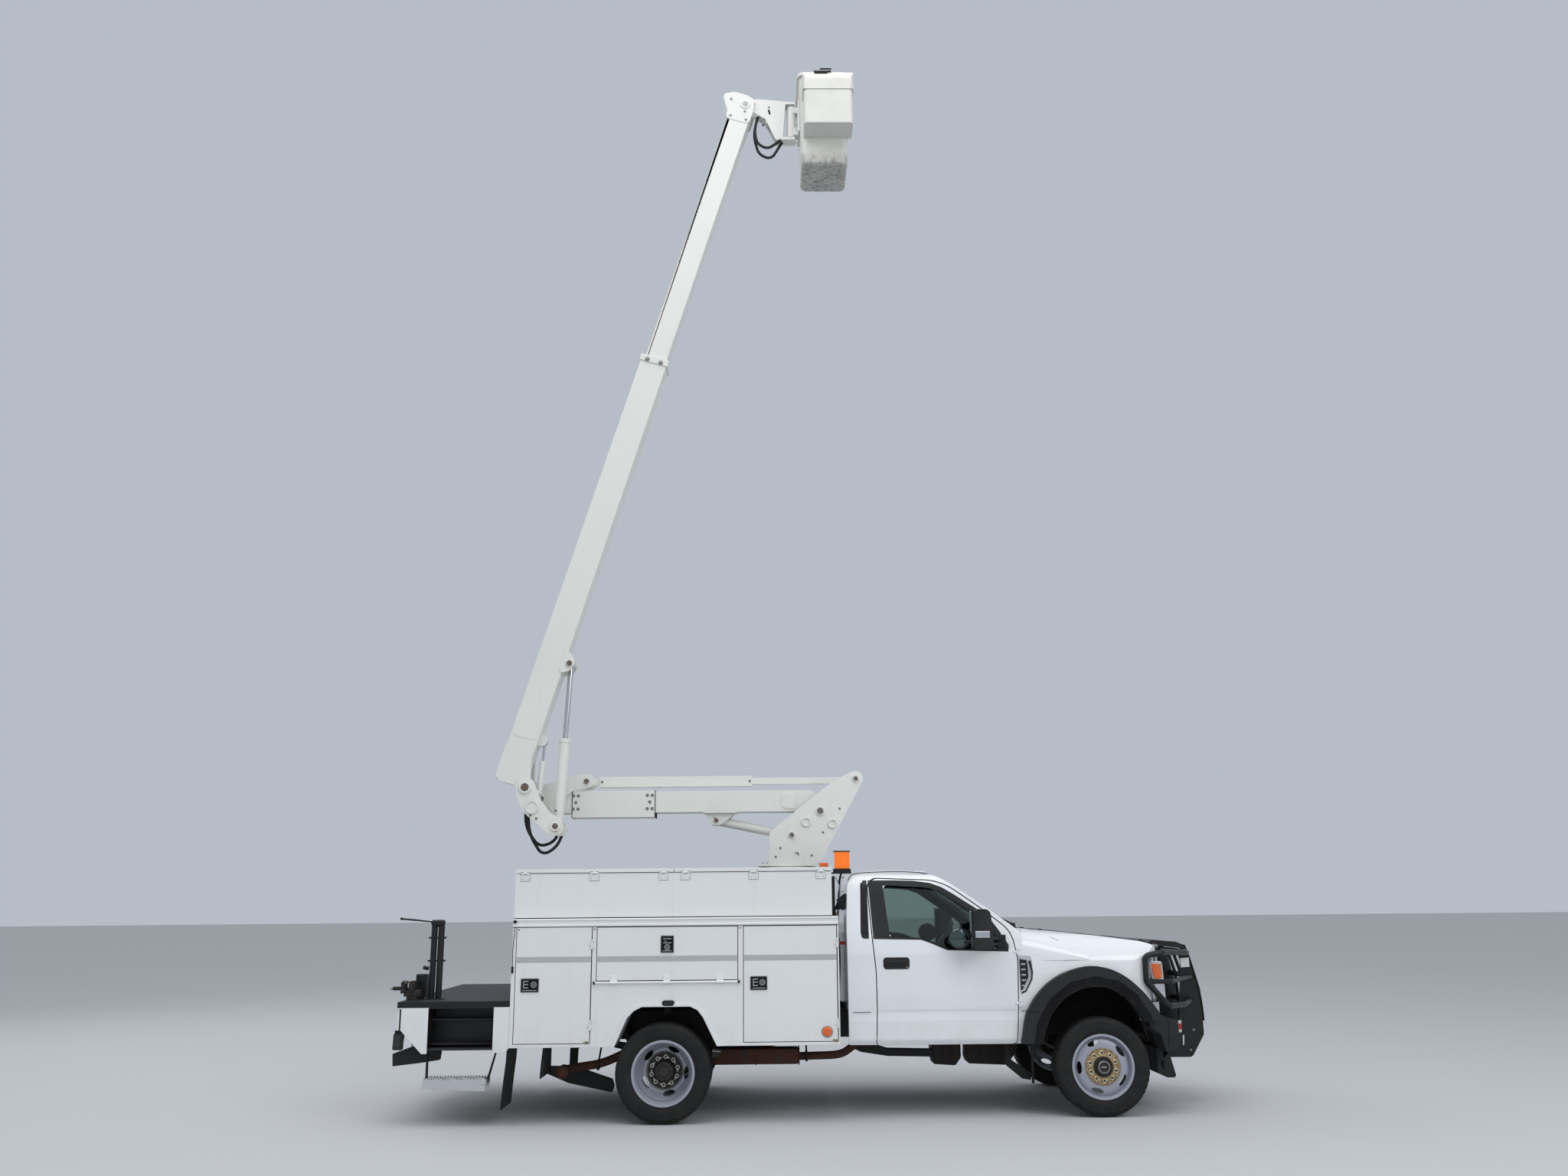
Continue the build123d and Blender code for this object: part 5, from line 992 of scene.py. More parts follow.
class TRUCK_OT_cab(bpy.types.Operator):
    """Cab shell, doors, glass, seals, handles, mirrors, wipers and roof lamps"""

    bl_idname = "truck.cab"
    bl_label = "Cab"

    def execute(self, context):
        dress("cab_shell", [
            ("frame black", lambda c, n, b: c.z < 870 and abs(c.y) < 500),
            ("gasket", self.reveal),
            ("cab lining", self.lining),
            ("frame black", lambda c, n, b: c.z < 900 and n.z < -0.5),
            "cab paint",
        ], 2.0)
        dress("cab_glass", ["tinted glass"], 0)
        for sign, tag in SIDES:
            dress("cab_door_" + tag, [
                ("trim plastic", lambda c, n, b: max(abs(b[0].y), abs(b[1].y)) > 1100),
                ("gasket", self.window_edge),
                ("dash", lambda c, n, b: abs(c.y) < 955 and n.y * c.y < 0),
                "cab paint",
            ], 2.0)
            dress("cab_door_glass_" + tag, ["tinted glass"], 0)
            self.door_trim(sign, tag)
            self.mirror(sign, tag)
        self.cab_trim()
        self.cab_inside()
        return {"FINISHED"}

    def reveal(self, c, n, box):
        """The edges of the shell's window openings."""
        middle = (Vector((2300, 0, 1300)) - c).normalized()
        return (
            1480 < c.z < 1960 and 1600 < c.x < 2990 and abs(n.dot(middle)) < 0.5
            and abs(n.x) + abs(n.z) > 0.9 and abs(n.y) < 0.35
        )

    def lining(self, c, n, box):
        return INWARD_CAB(c, n, box) and 1590 < c.x < 3040 and abs(c.y) < 985 and c.z > 870

    def window_edge(self, c, n, box):
        """The edges of a door's window opening."""
        over = n.z > 0.3 and c.z > 1880
        return 1345 < c.z < 1915 and abs(n.y) < 0.5 and 1900 < c.x < 2860 and not over

    def door_trim(self, sign, tag):
        form = Form("trim plastic")
        form.skin(WINDOW_BAND, on_cab, 1.2, 4, hole=WINDOW, every=40)
        form.using("gasket")
        inner = [((x - 2350) * 0.994 + 2350, (z - 1640) * 0.988 + 1640) for x, z in WINDOW]
        form.skin(WINDOW, on_cab, 2.4, 12, hole=inner, every=40)
        y = cab_side(1253)
        form.using("trim plastic")
        plate = [(1864, 1201), (2090, 1201), (2090, 1299), (1864, 1299)]
        form.slab(plate, "y", y - 2, y + 3, soft=1.5, corner=26)
        form.using("gloss black")
        form.box(1880, 2076, y + 1, y + 13, 1234, 1272, soft=9, segments=3)
        form.using("bolt steel")
        form.across(2067, 1219, y, y + 5, 8, soft=1)
        if sign < 0:
            form.mirror(keep=False)
        form.piece("door_trim_" + tag, "cab_door_" + tag, "black_plastic")

    def mirror(self, sign, tag):
        form = Form("mirror glass")
        for z0, z1 in ((1480, 1684), (1384, 1466)):
            plate = [(1168, z0), (1246, z0), (1246, z1), (1168, z1)]
            form.slab(plate, "x", 2596, 2601, soft=1, corner=16)
        form.using("gasket")
        plate = [(1160, 1374), (1254, 1374), (1254, 1692), (1160, 1692)]
        form.slab(plate, "x", 2599, 2622, soft=1, corner=20)
        form.using("chrome")
        form.box(2626, 2748, 1244, 1271, 1461, 1517, soft=5, segments=3)
        form.using("clear lens")
        form.box(2636, 2736, 1262, 1273, 1470, 1508, soft=3)
        form.using("gloss black")
        form.ball((2508, 1110, 1456), (92, 22, 88))
        form.using("dark mirror")
        form.ball((2506, 1119, 1457), (82, 19, 78))
        form.using("trim plastic")
        form.rod((2540, 1110, 1430), (2640, 1160, 1424), 14, soft=2)
        form.box(2596, 2720, 1150, 1180, 1358, 1378, soft=6)
        form.skin(
            [(2846, 1352), (2938, 1350), (2930, 1400), (2880, 1500), (2850, 1546), (2836, 1500)],
            on_cab, 5, 8, soft=1,
        )
        for z in (1404, 1450):
            form.rod((2690, 1165, z), (2880, 1000, z), 13, soft=2)
        form.using("bolt steel")
        for z in (1386, 1474):
            form.bolt((2885, 1014, z), (0, 1, 0), 6, 6)
        if sign < 0:
            form.mirror(keep=False)
        form.piece("mirror_glass_" + tag, "cab_door_" + tag, "black_plastic")

    def cab_trim(self):
        form = Form("trim plastic")
        strip = [
            (1710, 1946), (1694, 1800), (1679, 1500), (1684, 1470), (1701, 1457), (1747, 1456),
            (1747, 1948),
        ]
        form.skin(strip, on_cab, 1.2, 4, every=40)
        form.using("gloss black")
        strip = [(1716, 1930), (1702, 1800), (1688, 1500), (1738, 1480), (1738, 1932)]
        form.skin(strip, on_cab, 2.4, 4, every=40)
        form.using("gasket")
        seam = [
            (1584, 1950), (1600, 1985), (1640, 2006), (1720, 2016), (1900, 2022), (2080, 2022),
            (2240, 2012), (2330, 1990), (2440, 1938), (2610, 1822), (2776, 1706), (2900, 1610),
            (3052, 1504),
        ]
        form.tube([(x, self.roof_side(z), z) for x, z in seam], 3.5, 2)
        # A thin dark line along the cab side's crease at Z 851, behind the door: painted shade in the
        # crease.
        form.tube([(1600, 1003, 851), (1748, 1003, 851)], 2.0, 2)
        form.mirror()
        form.using("trim plastic")
        cowl = [(3050, 1494), (3066, 1494), (3066, 1516), (3030, 1534), (2990, 1560), (2982, 1554)]
        form.slab(cowl, "y", -860, 860, soft=2)
        for y in range(-780, 800, 60):
            form.box(3020, 3062, y, y + 26, 1520, 1536, soft=2)
        for y0 in (-760, 20):
            form.using("gloss black")
            form.rod((3044, y0, 1520), (3036, y0, 1572), 24, soft=4)
            form.tube([(3036, y0, 1566), (2960, y0 + 120, 1604), (2880, y0 + 250, 1664)], 7)
            form.using("gasket")
            form.tube([(2990, y0 + 40, 1566), (2880, y0 + 250, 1650), (2745, y0 + 470, 1744)], 5)
        for y in (-560, -240, 0, 240, 560):
            form.using("cab paint")
            plan = [(2190, y - 26), (2300, y - 22), (2300, y + 22), (2190, y + 26)]
            form.slab(plan, "z", 2022, 2031, soft=3, corner=12)
            form.using("clear lens")
            form.ball((2242, y, 2029), (42, 19, 11))
        form.piece("cab_trim", "chassis", "black_plastic")

    def roof_side(self, z):
        """How far out the roof's edge lies where a line over it has this height."""
        if z > 1960:
            return min(cab_side(z), 1000) - (z - 1960) * 0.9 - 6
        return cab_side(z) - 4

    def cab_inside(self):
        form = Form("dash")
        panel = [
            (2720, 1180), (2690, 1250), (2684, 1330), (2700, 1400), (2740, 1436), (2860, 1462),
            (2950, 1470), (3005, 1440), (3005, 1100), (2780, 1110),
        ]
        form.slab(panel, "y", -878, 878, soft=12, segments=3)
        hood = [(2700, 1395), (2760, 1440), (2850, 1500), (2900, 1500), (2900, 1440)]
        form.slab(hood, "y", 250, 560, soft=14)
        form.box(2900, 3005, -880, -845, 892, 1110, soft=6)
        form.box(2900, 3005, 845, 880, 892, 1110, soft=6)
        for y in (-700, -120, 120, 700):
            form.box(2676, 2700, y - 60, y + 60, 1340, 1385, soft=6)
        form.using("gloss black")
        form.box(2672, 2700, -110, 110, 1215, 1330, soft=6)
        form.rod((2720, 400, 1300), (2572, 400, 1392), 26, soft=4)
        tilt = Matrix.Translation((2560, 400, 1400)) @ Matrix.Rotation(math.radians(-58), 4, "Y")
        turns = [math.tau * k / 10 for k in range(10)]
        rim = [(190 + 15 * math.cos(a), 15 * math.sin(a)) for a in turns]
        form.turned(rim, (0, 0, 0), way="z", steps=48, turn=tilt)
        boss = [(0, -16), (62, -14), (70, 0), (60, 18), (0, 22)]
        form.turned(boss, (0, 0, 0), way="z", steps=24, turn=tilt)
        for angle in (0, 90, 180):
            arm = tilt @ Matrix.Rotation(math.radians(angle), 4, "Z")
            form.box(50, 184, -16, 16, -6, 6, soft=4, turn=arm)
        form.using("dash")
        form.box(1960, 2380, -700, 700, 892, 1000, soft=10)
        form.piece("dashboard", "chassis", "cabin_trim", ("cab_interior",))
        for tag, y0, y1 in (("right", -745, -205), ("middle", -195, 195), ("left", 205, 745)):
            seat = Form("seat cloth")
            self.cushion(seat, (1905, 2420, y0, y1, 1000, 1150), 44)
            lean = Matrix.Translation((1840, 0, 1110)) @ Matrix.Rotation(math.radians(-8), 4, "Y")
            self.cushion(seat, (-70, 70, y0, y1, 10, 560), 52, lean)
            if tag != "middle":
                middle = (y0 + y1) / 2
                self.cushion(seat, (-45, 45, middle - 140, middle + 140, 590, 730), 36, lean)
                seat.using("bolt steel")
                for dy in (-50, 50):
                    seat.rod((0, middle + dy, 545), (0, middle + dy, 620), 7, turn=lean)
            thing = seat.piece("seat_" + tag, "chassis", "cabin_trim", angle=60)

    def cushion(self, form, box, soft, turn=None):
        """A crowned block with two sewn channels and rounded edges."""
        x0, x1, y0, y1, z0, z1 = box
        flat = x1 - x0 > z1 - z0
        part = bmesh.new()
        size = Matrix.Diagonal((x1 - x0, y1 - y0, z1 - z0, 1))
        spot = Vector(((x0 + x1) / 2, (y0 + y1) / 2, (z0 + z1) / 2))
        bmesh.ops.create_cube(part, size=1, matrix=Matrix.Translation(spot) @ size)
        bmesh.ops.bevel(
            part, geom=list(part.edges), affect="EDGES", offset=soft, segments=4, profile=0.5,
            material=-1, clamp_overlap=True,
        )
        for offset in (-0.22, 0.22):
            bmesh.ops.bisect_plane(
                part, geom=list(part.verts) + list(part.edges) + list(part.faces),
                plane_co=(0, spot.y + (y1 - y0) * offset, 0), plane_no=(0, 1, 0),
            )
        bmesh.ops.subdivide_edges(part, edges=list(part.edges), cuts=2, use_grid_fill=True)
        for v in part.verts:
            out = v.co - spot
            u = out.y / (y1 - y0)
            w = out.x / (x1 - x0) if flat else out.z / (z1 - z0)
            crown = 14 * (1 - (2 * u) ** 2) * (1 - (2 * w) ** 2)
            groove = -9 * sum(math.exp(-((u - c) * 30) ** 2) for c in (-0.22, 0.22))
            if flat:
                v.co.z += (crown + groove) if out.z > 0 else 0
            else:
                v.co.x += (crown + groove) * (1 if out.x > 0 else -1)
        bmesh.ops.smooth_vert(
            part, verts=part.verts, factor=0.4, use_axis_x=True, use_axis_y=True, use_axis_z=True
        )
        form.add(part, turn=turn)


# Nose

class TRUCK_OT_nose(bpy.types.Operator):
    """Wings, bonnet, lamps, grille, guard, bumper, wheel arch trim and vents"""

    bl_idname = "truck.nose"
    bl_label = "Nose"

    def execute(self, context):
        inward = inside_of(3700, 0, 1000)
        dress("front_fenders", [
            ("trim plastic", lambda c, n, b: 4055 < c.x < 4280 and abs(c.y) < 565 and c.z < 1292),
            ("felt", lambda c, n, b: inward(c, n, b) and abs(c.y) < 985),
            ("felt", lambda c, n, b: c.x > 4030 and c.z < 760),
            "cab paint",
        ], 2.0, cuts=(((0, 0, 762), (0, 0, 1)), ((4030, 0, 0), (1, 0, 0))))
        dress("hood", [
            ("felt", lambda c, n, b: inward(c, n, b) and n.z < 0.2),
            "cab paint",
        ], 2.0)
        dress("arch_trim", [
            ("trim plastic", lambda c, n, b: max(abs(b[0].y), abs(b[1].y)) < 1150 and b[0].x > 3000
                and max(abs(b[0].y), abs(b[1].y)) > 1060),
            ("rubber", lambda c, n, b: b[1].x < 0),
            "felt",
        ], 2.0, keep=lambda low, high: low.x > -1200)
        dress("front_guard", [
            ("trim plastic", lambda c, n, b: b[1].x < 4405 and b[0].x > 4150 and b[0].z < 400),
            ("gloss black", lambda c, n, b: b[0].z > 780 and b[1].x < 4310),
            "powder black",
        ], 1.5)
        dress("headlamps", ["clear lens"], 1.5)
        self.wings()
        self.lamps()
        self.vents()
        self.guard()
        self.bumper_ends()
        return {"FINISHED"}

    def wings(self):
        """The wings' rear ends, which run from the cab's square shoulder into the nose."""
        form = Form("cab paint")
        part = bmesh.new()
        for i in range(8):
            z = 1262 + i * 29
            part.verts.new((3064, min(cab_side(z) - 1, 1009) - max(0, z - 1440) * 1.2, z))
            z = 1262 + i * 28.5
            part.verts.new((3640, nose_side(z) - 1, z))
        part.verts.new((3064, 860, 1499))
        part.verts.new((3064, 792, 1501))
        part.verts.new((3640, 792, 1464))
        bmesh.ops.convex_hull(part, input=list(part.verts))
        form.add(part)
        outer = BVHTree.FromBMesh(form.mesh)
        form.using("cab paint")
        panel = [
            (3028, 640), (3028, 1300), (3034, 1330), (3060, 1336), (3300, 1290), (3420, 1270),
            (3420, 1180), (3275, 1088), (3150, 968), (3075, 846), (3050, 740), (3040, 640),
        ]
        form.skin(panel, on_wing, 1.6, 6, every=30, across=60)
        form.using("gasket")
        line = []
        for x, z in ((3262, 1488), (3310, 1466), (3360, 1440), (3402, 1420)):
            spot = outer.ray_cast(Vector((x, 1300, z)), Vector((0, -1, 0)))[0]
            line.append((x, spot.y - 1.2 if spot else nose_side(z), z))
        form.tube(line, 2.6, 2)
        # The crease's dark line carried on ahead of the door: painted shade in the crease.
        form.tube([(3030, 1006, 851), (3060, 1006, 851), (3112, 1005, 851)], 2.0, 2)
        lip = [
            (3110, 590), (3152, 773), (3269, 957), (3448, 1085), (3664, 1134), (3866, 1092),
            (4020, 973), (4122, 800), (4128, 766), (4053, 766), (3960, 922), (3830, 1022),
            (3660, 1056), (3480, 1014), (3330, 907), (3229, 754), (3192, 590),
        ]
        form.using("felt")
        form.slab(lip, "y", 1083, 1086.4, soft=1, segments=1)
        # A short dark strip at the crease's height on the flare's outer face: painted shade of the
        # crease.
        form.using("gasket")
        form.box(3064, 3172, 1084, 1088, 844, 849, soft=1)
        form.mirror()
        form.piece("wing_ends", "chassis", "white_paint")

    def lamps(self):
        form = Form("chrome")
        ring = [(4162, 1246), (4284, 1240), (4290, 1088), (4184, 1090)]
        form.slab(ring, "y", 928, 944, soft=3, corner=18)
        ring = [(4204, 1060), (4296, 1060), (4298, 926), (4246, 930)]
        form.slab(ring, "y", 915, 930, soft=3, corner=14)
        form.box(4166, 4200, 640, 915, 920, 1262, soft=8)
        form.using("marker lens")
        lens = [(4186, 1226), (4268, 1222), (4272, 1100), (4202, 1100)]
        form.slab(lens, "y", 942, 954, soft=3, corner=14)
        for k in range(7):
            z = 1112 + k * 16
            form.box(4204, 4262, 952, 957, z, z + 8, soft=2)
        form.using("stainless")
        for y in (700, 840):
            bowl = [(0, -46), (30, -40), (62, -8), (66, 6), (60, 6), (52, -4), (26, -32), (0, -36)]
            form.turned(bowl, (4216, y, 1165), way="x", steps=32)
            form.using("clear lens")
            form.ball((4200, y, 1165), (26, 24, 24))
            form.using("stainless")
        form.using("gloss black")
        form.box(4202, 4210, 600, 900, 1000, 1060, soft=3)
        form.box(4166, 4216, 566, 640, 920, 1262, soft=4)
        form.mirror()
        form.piece("lamp_insides", "chassis", "lamp_clear")

    def vents(self):
        form = Form("chrome")
        outline = [
            (3030, 1306), (3126, 1302), (3138, 1290), (3146, 1167), (3138, 1110), (3078, 1011),
            (3030, 991),
        ]
        inner = [
            (3034, 1274), (3094, 1268), (3102, 1230), (3104, 1128), (3096, 1110), (3050, 1022),
            (3034, 1018),
        ]
        form.skin(outline, on_wing, 7, 8, hole=inner, soft=1.5)
        form.using("trim plastic")
        form.skin(
            [(3106, 1262), (3130, 1262), (3146, 1170), (3138, 1108), (3080, 1008), (3040, 990),
             (3040, 1006), (3072, 1018), (3126, 1112), (3130, 1168)],
            on_wing, 8, 8, soft=1,
        )
        form.using("gloss black")
        form.skin(inner, on_wing, 4, 6)
        form.using("stainless")
        for z in range(1050, 1250, 44):
            form.box(3046, 3084, 1011, 1015.5, z, z + 14, soft=2)
        form.mirror()
        form.piece("wing_vents", "chassis", "black_plastic")
        bonnet = Form("trim plastic")
        for y in (-420, 420):
            bonnet.box(3330, 3362, y - 14, y + 14, 1500, 1512, soft=4)
        bonnet.using("gasket")
        for y in (-330, 330):
            bonnet.tube([(3250, y, 1512), (3700, y * 1.08, 1474), (4080, y * 1.2, 1421)], 2.2, 2)
        bonnet.using("gloss black")
        shield = [(4158, 1398), (4220, 1376), (4288, 1346), (4294, 1352), (4260, 1392), (4176, 1424)]
        bonnet.slab(shield, "y", -690, 690, soft=3)
        bonnet.piece("bonnet_trim", "hood", "black_plastic")

    def guard(self):
        form = Form("powder black")
        top = [
            (4300, 1352), (4380, 1404), (4500, 1392), (4600, 1386), (4664, 1360), (4640, 1330),
            (4560, 1350), (4470, 1352), (4400, 1376), (4330, 1344),
        ]
        form.slab(top, "y", -352, 352, soft=3)
        lip = [(4270, 380), (4360, 480), (4408, 280), (4394, 262), (4330, 262)]
        form.slab(lip, "y", -700, 700, soft=4)
        edge = [(4627, 1362), (4696, 1290), (4732, 1170), (4796, 890), (4798, 700)]
        for s in (-1, 1):
            form.tube([(4575, s * 352, 1342)] + [(x, s * 354, z) for x, z in edge], 8)
        form.using("tag white")
        for s in (-1, 1):
            tag = [(4624, 1160), (4705, 1164), (4704, 1246), (4624, 1240)]
            form.slab(tag, "y", *span(s, 360, 364), soft=1)
        form.using("bolt steel")
        for s in (-1, 1):
            for x, z in ((4660, 450), (4700, 620)):
                form.bolt((x, s * 351, z), (0, s, 0), 8, 8)
        form.using("strip")
        for s in (-1, 1):
            form.box(4398, 4402, *span(s, 420, 700), 590, 640)
            mark = [(4566, 598), (4592, 602), (4594, 706), (4564, 700)]
            form.slab(mark, "y", *span(s, 351, 354))
        form.using("tag white")
        for s in (-1, 1):
            mark = [(4592, 488), (4604, 498), (4611, 577), (4597, 575)]
            form.slab(mark, "y", *span(s, 351, 354))
        form.using("powder black")
        hook = [
            (4822, 0, 684), (4846, 0, 690), (4850, 0, 664), (4838, 0, 640), (4816, 0, 636),
            (4806, 0, 650),
        ]
        form.tube(hook, 8)
        form.using("rod chrome")
        form.rod((4786, -56, 600), (4786, 56, 600), 9)
        form.piece("guard_fittings", "chassis", "black_paint")

    def bumper_ends(self):
        form = Form("trim plastic")
        end = [
            (4110, 762), (4150, 786), (4262, 784), (4290, 762), (4362, 764), (4376, 700),
            (4372, 580), (4331, 514), (4250, 502), (4216, 640), (4130, 700),
        ]
        form.slab(end, "y", 720, 985, soft=10, segments=3)
        form.using("gasket")
        form.tube([(4284, 986, 760), (4296, 987, 680), (4276, 987, 560)], 3, 2)
        form.mirror()
        form.piece("bumper_ends", "chassis", "black_plastic")


# Service body

DOORS = (
    ("rear", -1243, -613, 645, 1577),
    ("centre", -565, 618, 1141, 1573),
    ("front", 671, 1455, 642, 1573),
)
LATCHES = {
    "rear": (-1194, -1046, 1055, 1164),
    "front": (727, 866, 1056, 1165),
    "centre": (-28, 79, 1364, 1501),
}
LID_HINGES = (-1202, -612, -19, 171, 754, 1334)


class TRUCK_OT_body(bpy.types.Operator):
    """Service bodies with their doors, latches, tape, lids, hinges, seals, painted shadow lines and
    lamps
    """

    bl_idname = "truck.body"
    bl_label = "Service body"

    def execute(self, context):
        for sign, tag in SIDES:
            dress("body_" + tag, [
                ("powder black", lambda c, n, b: abs(c.y) > 1195 and 1105 < c.z < 1142
                    and not -574.5 < c.x < 620.5),
                "body paint",
            ], 2.0)
            for door in DOORS:
                node = "body_door_" + door[0] + "_" + tag
                dress(node, ["body paint"], 1.5)
                self.door(sign, tag, node, *door)
            for lid in ("rear", "front"):
                dress("box_lid_" + lid + "_" + tag, ["body paint"], 1.5)
            self.side(sign, tag)
        return {"FINISHED"}

    def door(self, sign, tag, node, door, x0, x1, z0, z1):
        s = settings("body")
        y = BODY_Y
        form = Form("side tape")
        form.box(x0 + 4, x1 - 4, y - 0.5, y + 0.9, s.tape_low * 1000, s.tape_high * 1000)
        self.latch(form, *LATCHES[door])
        form.using("gasket")
        low, high = y - 26, y - 19
        form.box(x0 + 10, x1 - 10, low, high, z0 + 10, z0 + 20)
        form.box(x0 + 10, x1 - 10, low, high, z1 - 20, z1 - 10)
        form.box(x0 + 10, x0 + 20, low, high, z0 + 20, z1 - 20)
        form.box(x1 - 20, x1 - 10, low, high, z0 + 20, z1 - 20)
        if door == "front":
            spot = (1366, 0, 718)
            form.using("rim edge")
            form.turned([(36, y), (47, y), (47, y + 5), (43, y + 8), (38, y + 7)], spot, steps=40)
            form.using("marker lens")
            dome = [(0, y + 2), (39, y + 2), (39, y + 9), (34, y + 13), (20, y + 15), (0, y + 16)]
            form.turned(dome, spot, steps=40)
            form.turned([(14, y + 12), (20, y + 12), (20, y + 18), (14, y + 18)], spot, steps=30)
        form.using("brass")
        if door != "centre":
            form.box(x1 - 46, x1 - 6, y, y + 5, z0 + 3, z0 + 15, soft=2)
            form.using("pin rust")
            form.box(x1 - 30, x1 - 6, y + 3, y + 9, z0 + 4, z0 + 12, soft=2)
            form.across(x1 - 12, z0 + 9, y, y + 11, 5, soft=1)
        if sign < 0:
            form.mirror(keep=False)
        form.piece("door_fittings_" + door + "_" + tag, node, "black_plastic")

    def latch(self, form, a, b, c, d):
        """A paddle latch and its round lock in a shallow black tray."""
        y = BODY_Y
        form.using("stainless")
        form.box(a - 3, b + 3, y, y + 2.5, c - 3, d + 3, soft=1.2)
        form.using("gloss black")
        form.box(a, b, y + 1, y + 11.5, c, d, soft=5, segments=3)
        form.using("felt")
        form.box(a + 10, b - 10, y + 10, y + 12.4, c + 10, d - 10, soft=1)
        form.using("stainless")
        form.box(a + 14, b - 14, y + 11, y + 14, c + 12, c + 18, soft=1)
        if b - a > d - c:
            form.box(a + 20, a + 28, y + 11, y + 15, c + 30, d - 18, soft=1.5)
            for z in (c + 32, (c + d) / 2 + 4, d - 26):
                form.box(a + 28, a + 62, y + 11, y + 15, z, z + 8, soft=1.5)
            u, v = b - 40, (c + d) / 2 + 6
        else:
            for z in (d - 28, d - 62):
                form.box(a + 20, b - 18, y + 11, y + 15, z, z + 8, soft=1.5)
            form.box(a + 28, a + 46, y + 11, y + 14, d - 46, d - 40, soft=1.5)
            u, v = (a + b) / 2, c + 44
        form.turned([(17, y + 11), (25, y + 11), (24, y + 15), (18, y + 16)], (u, 0, v), steps=32)
        form.using("bolt steel")
        form.across(u, v, y + 11, y + 16, 13, soft=1.5)
        form.using("gasket")
        form.box(u - 1.5, u + 1.5, y + 15.5, y + 16.4, v - 7, v + 7)

    def side(self, sign, tag):
        y = BODY_Y
        form = Form("body paint")
        rail = [(y - 1, 1648), (y + 7, 1643), (y + 8, 1636), (y - 1, 1630)]
        form.slab(rail, "x", -1280, 1475, soft=1)
        rail = [(y - 1, 1606), (y + 6, 1602), (y + 9, 1590), (y + 6, 1584), (y - 1, 1580)]
        form.slab(rail, "x", -1280, 1475, soft=1)
        form.box(64, 78, 1118, 1123, 1660, 2018, soft=1)
        for x in LID_HINGES:
            # A dark plate a little larger than each hinge plate, behind it: painted shadow round the
            # plate.
            form.using("gasket")
            form.box(x - 43, x + 43, 1119.4, 1121, 1960, 2012)
            form.using("body paint")
            form.box(x - 41, x + 41, 1120, 1124.2, 1962.5, 2011, soft=1)
            form.using("rim edge")
            for dx in (-24, 24):
                form.across(x + dx, 1980, 1124, 1125.6, 4.5, sides=12, soft=0.6)
        form.using("gasket")
        # A dark strip the length of the top box's lower edge: painted shadow in the gap below the box.
        form.box(-1288, 1425, 1118, 1121.5, 1649, 1656)
        # A thin dark line under the lower drip rail, over the doors: painted shadow under the rail.
        form.box(-1280, 1475, y - 2, y + 1.5, 1577.5, 1580.5)
        form.across(-1262, 1627, y, y + 14, 14, soft=3)
        wire = ((-1262, 5, 1530), (-1271, 6, 1450), (-1274, 4, 1340), (-1270, 4, 1255))
        form.tube([(x, y + out, z) for x, out, z in wire], 2.5, 2)
        form.box(-1279, -1262, y - 10, y + 12, 1208, 1262, soft=4)
        form.using("bolt steel")
        loop = ((0, 1573), (14, 1566), (14, 1546), (0, 1538))
        form.tube([(-1262, y + out, z) for out, z in loop], 4)
        for x in (-610, 1458):
            for z0 in (745, 1393):
                for dz in (12, 68):
                    spot = (min(x + 15, 1470), y + 3.8, z0 + dz)
                    form.bolt(spot, (0, 1, 0), 3.6, 3, washer=False)
        form.using("gloss black")
        base = [(-14, 932), (92, 932), (92, 979), (-14, 979)]
        form.slab(base, "y", y - 1, y + 13, soft=4, corner=22)
        form.using("clear lens")
        for x in (12, 31, 50):
            form.box(x, x + 15, y + 11, y + 15.5, 948, 963, soft=3)
        form.using("gasket")
        for x in (-1228, 640, -589):
            form.box(x - 8, x + 8, y - 1, y + 3, 1557, 1563, soft=1)
        if sign < 0:
            form.mirror(keep=False)
        form.piece("body_side_trim_" + tag, "chassis", "white_paint")


# Tail

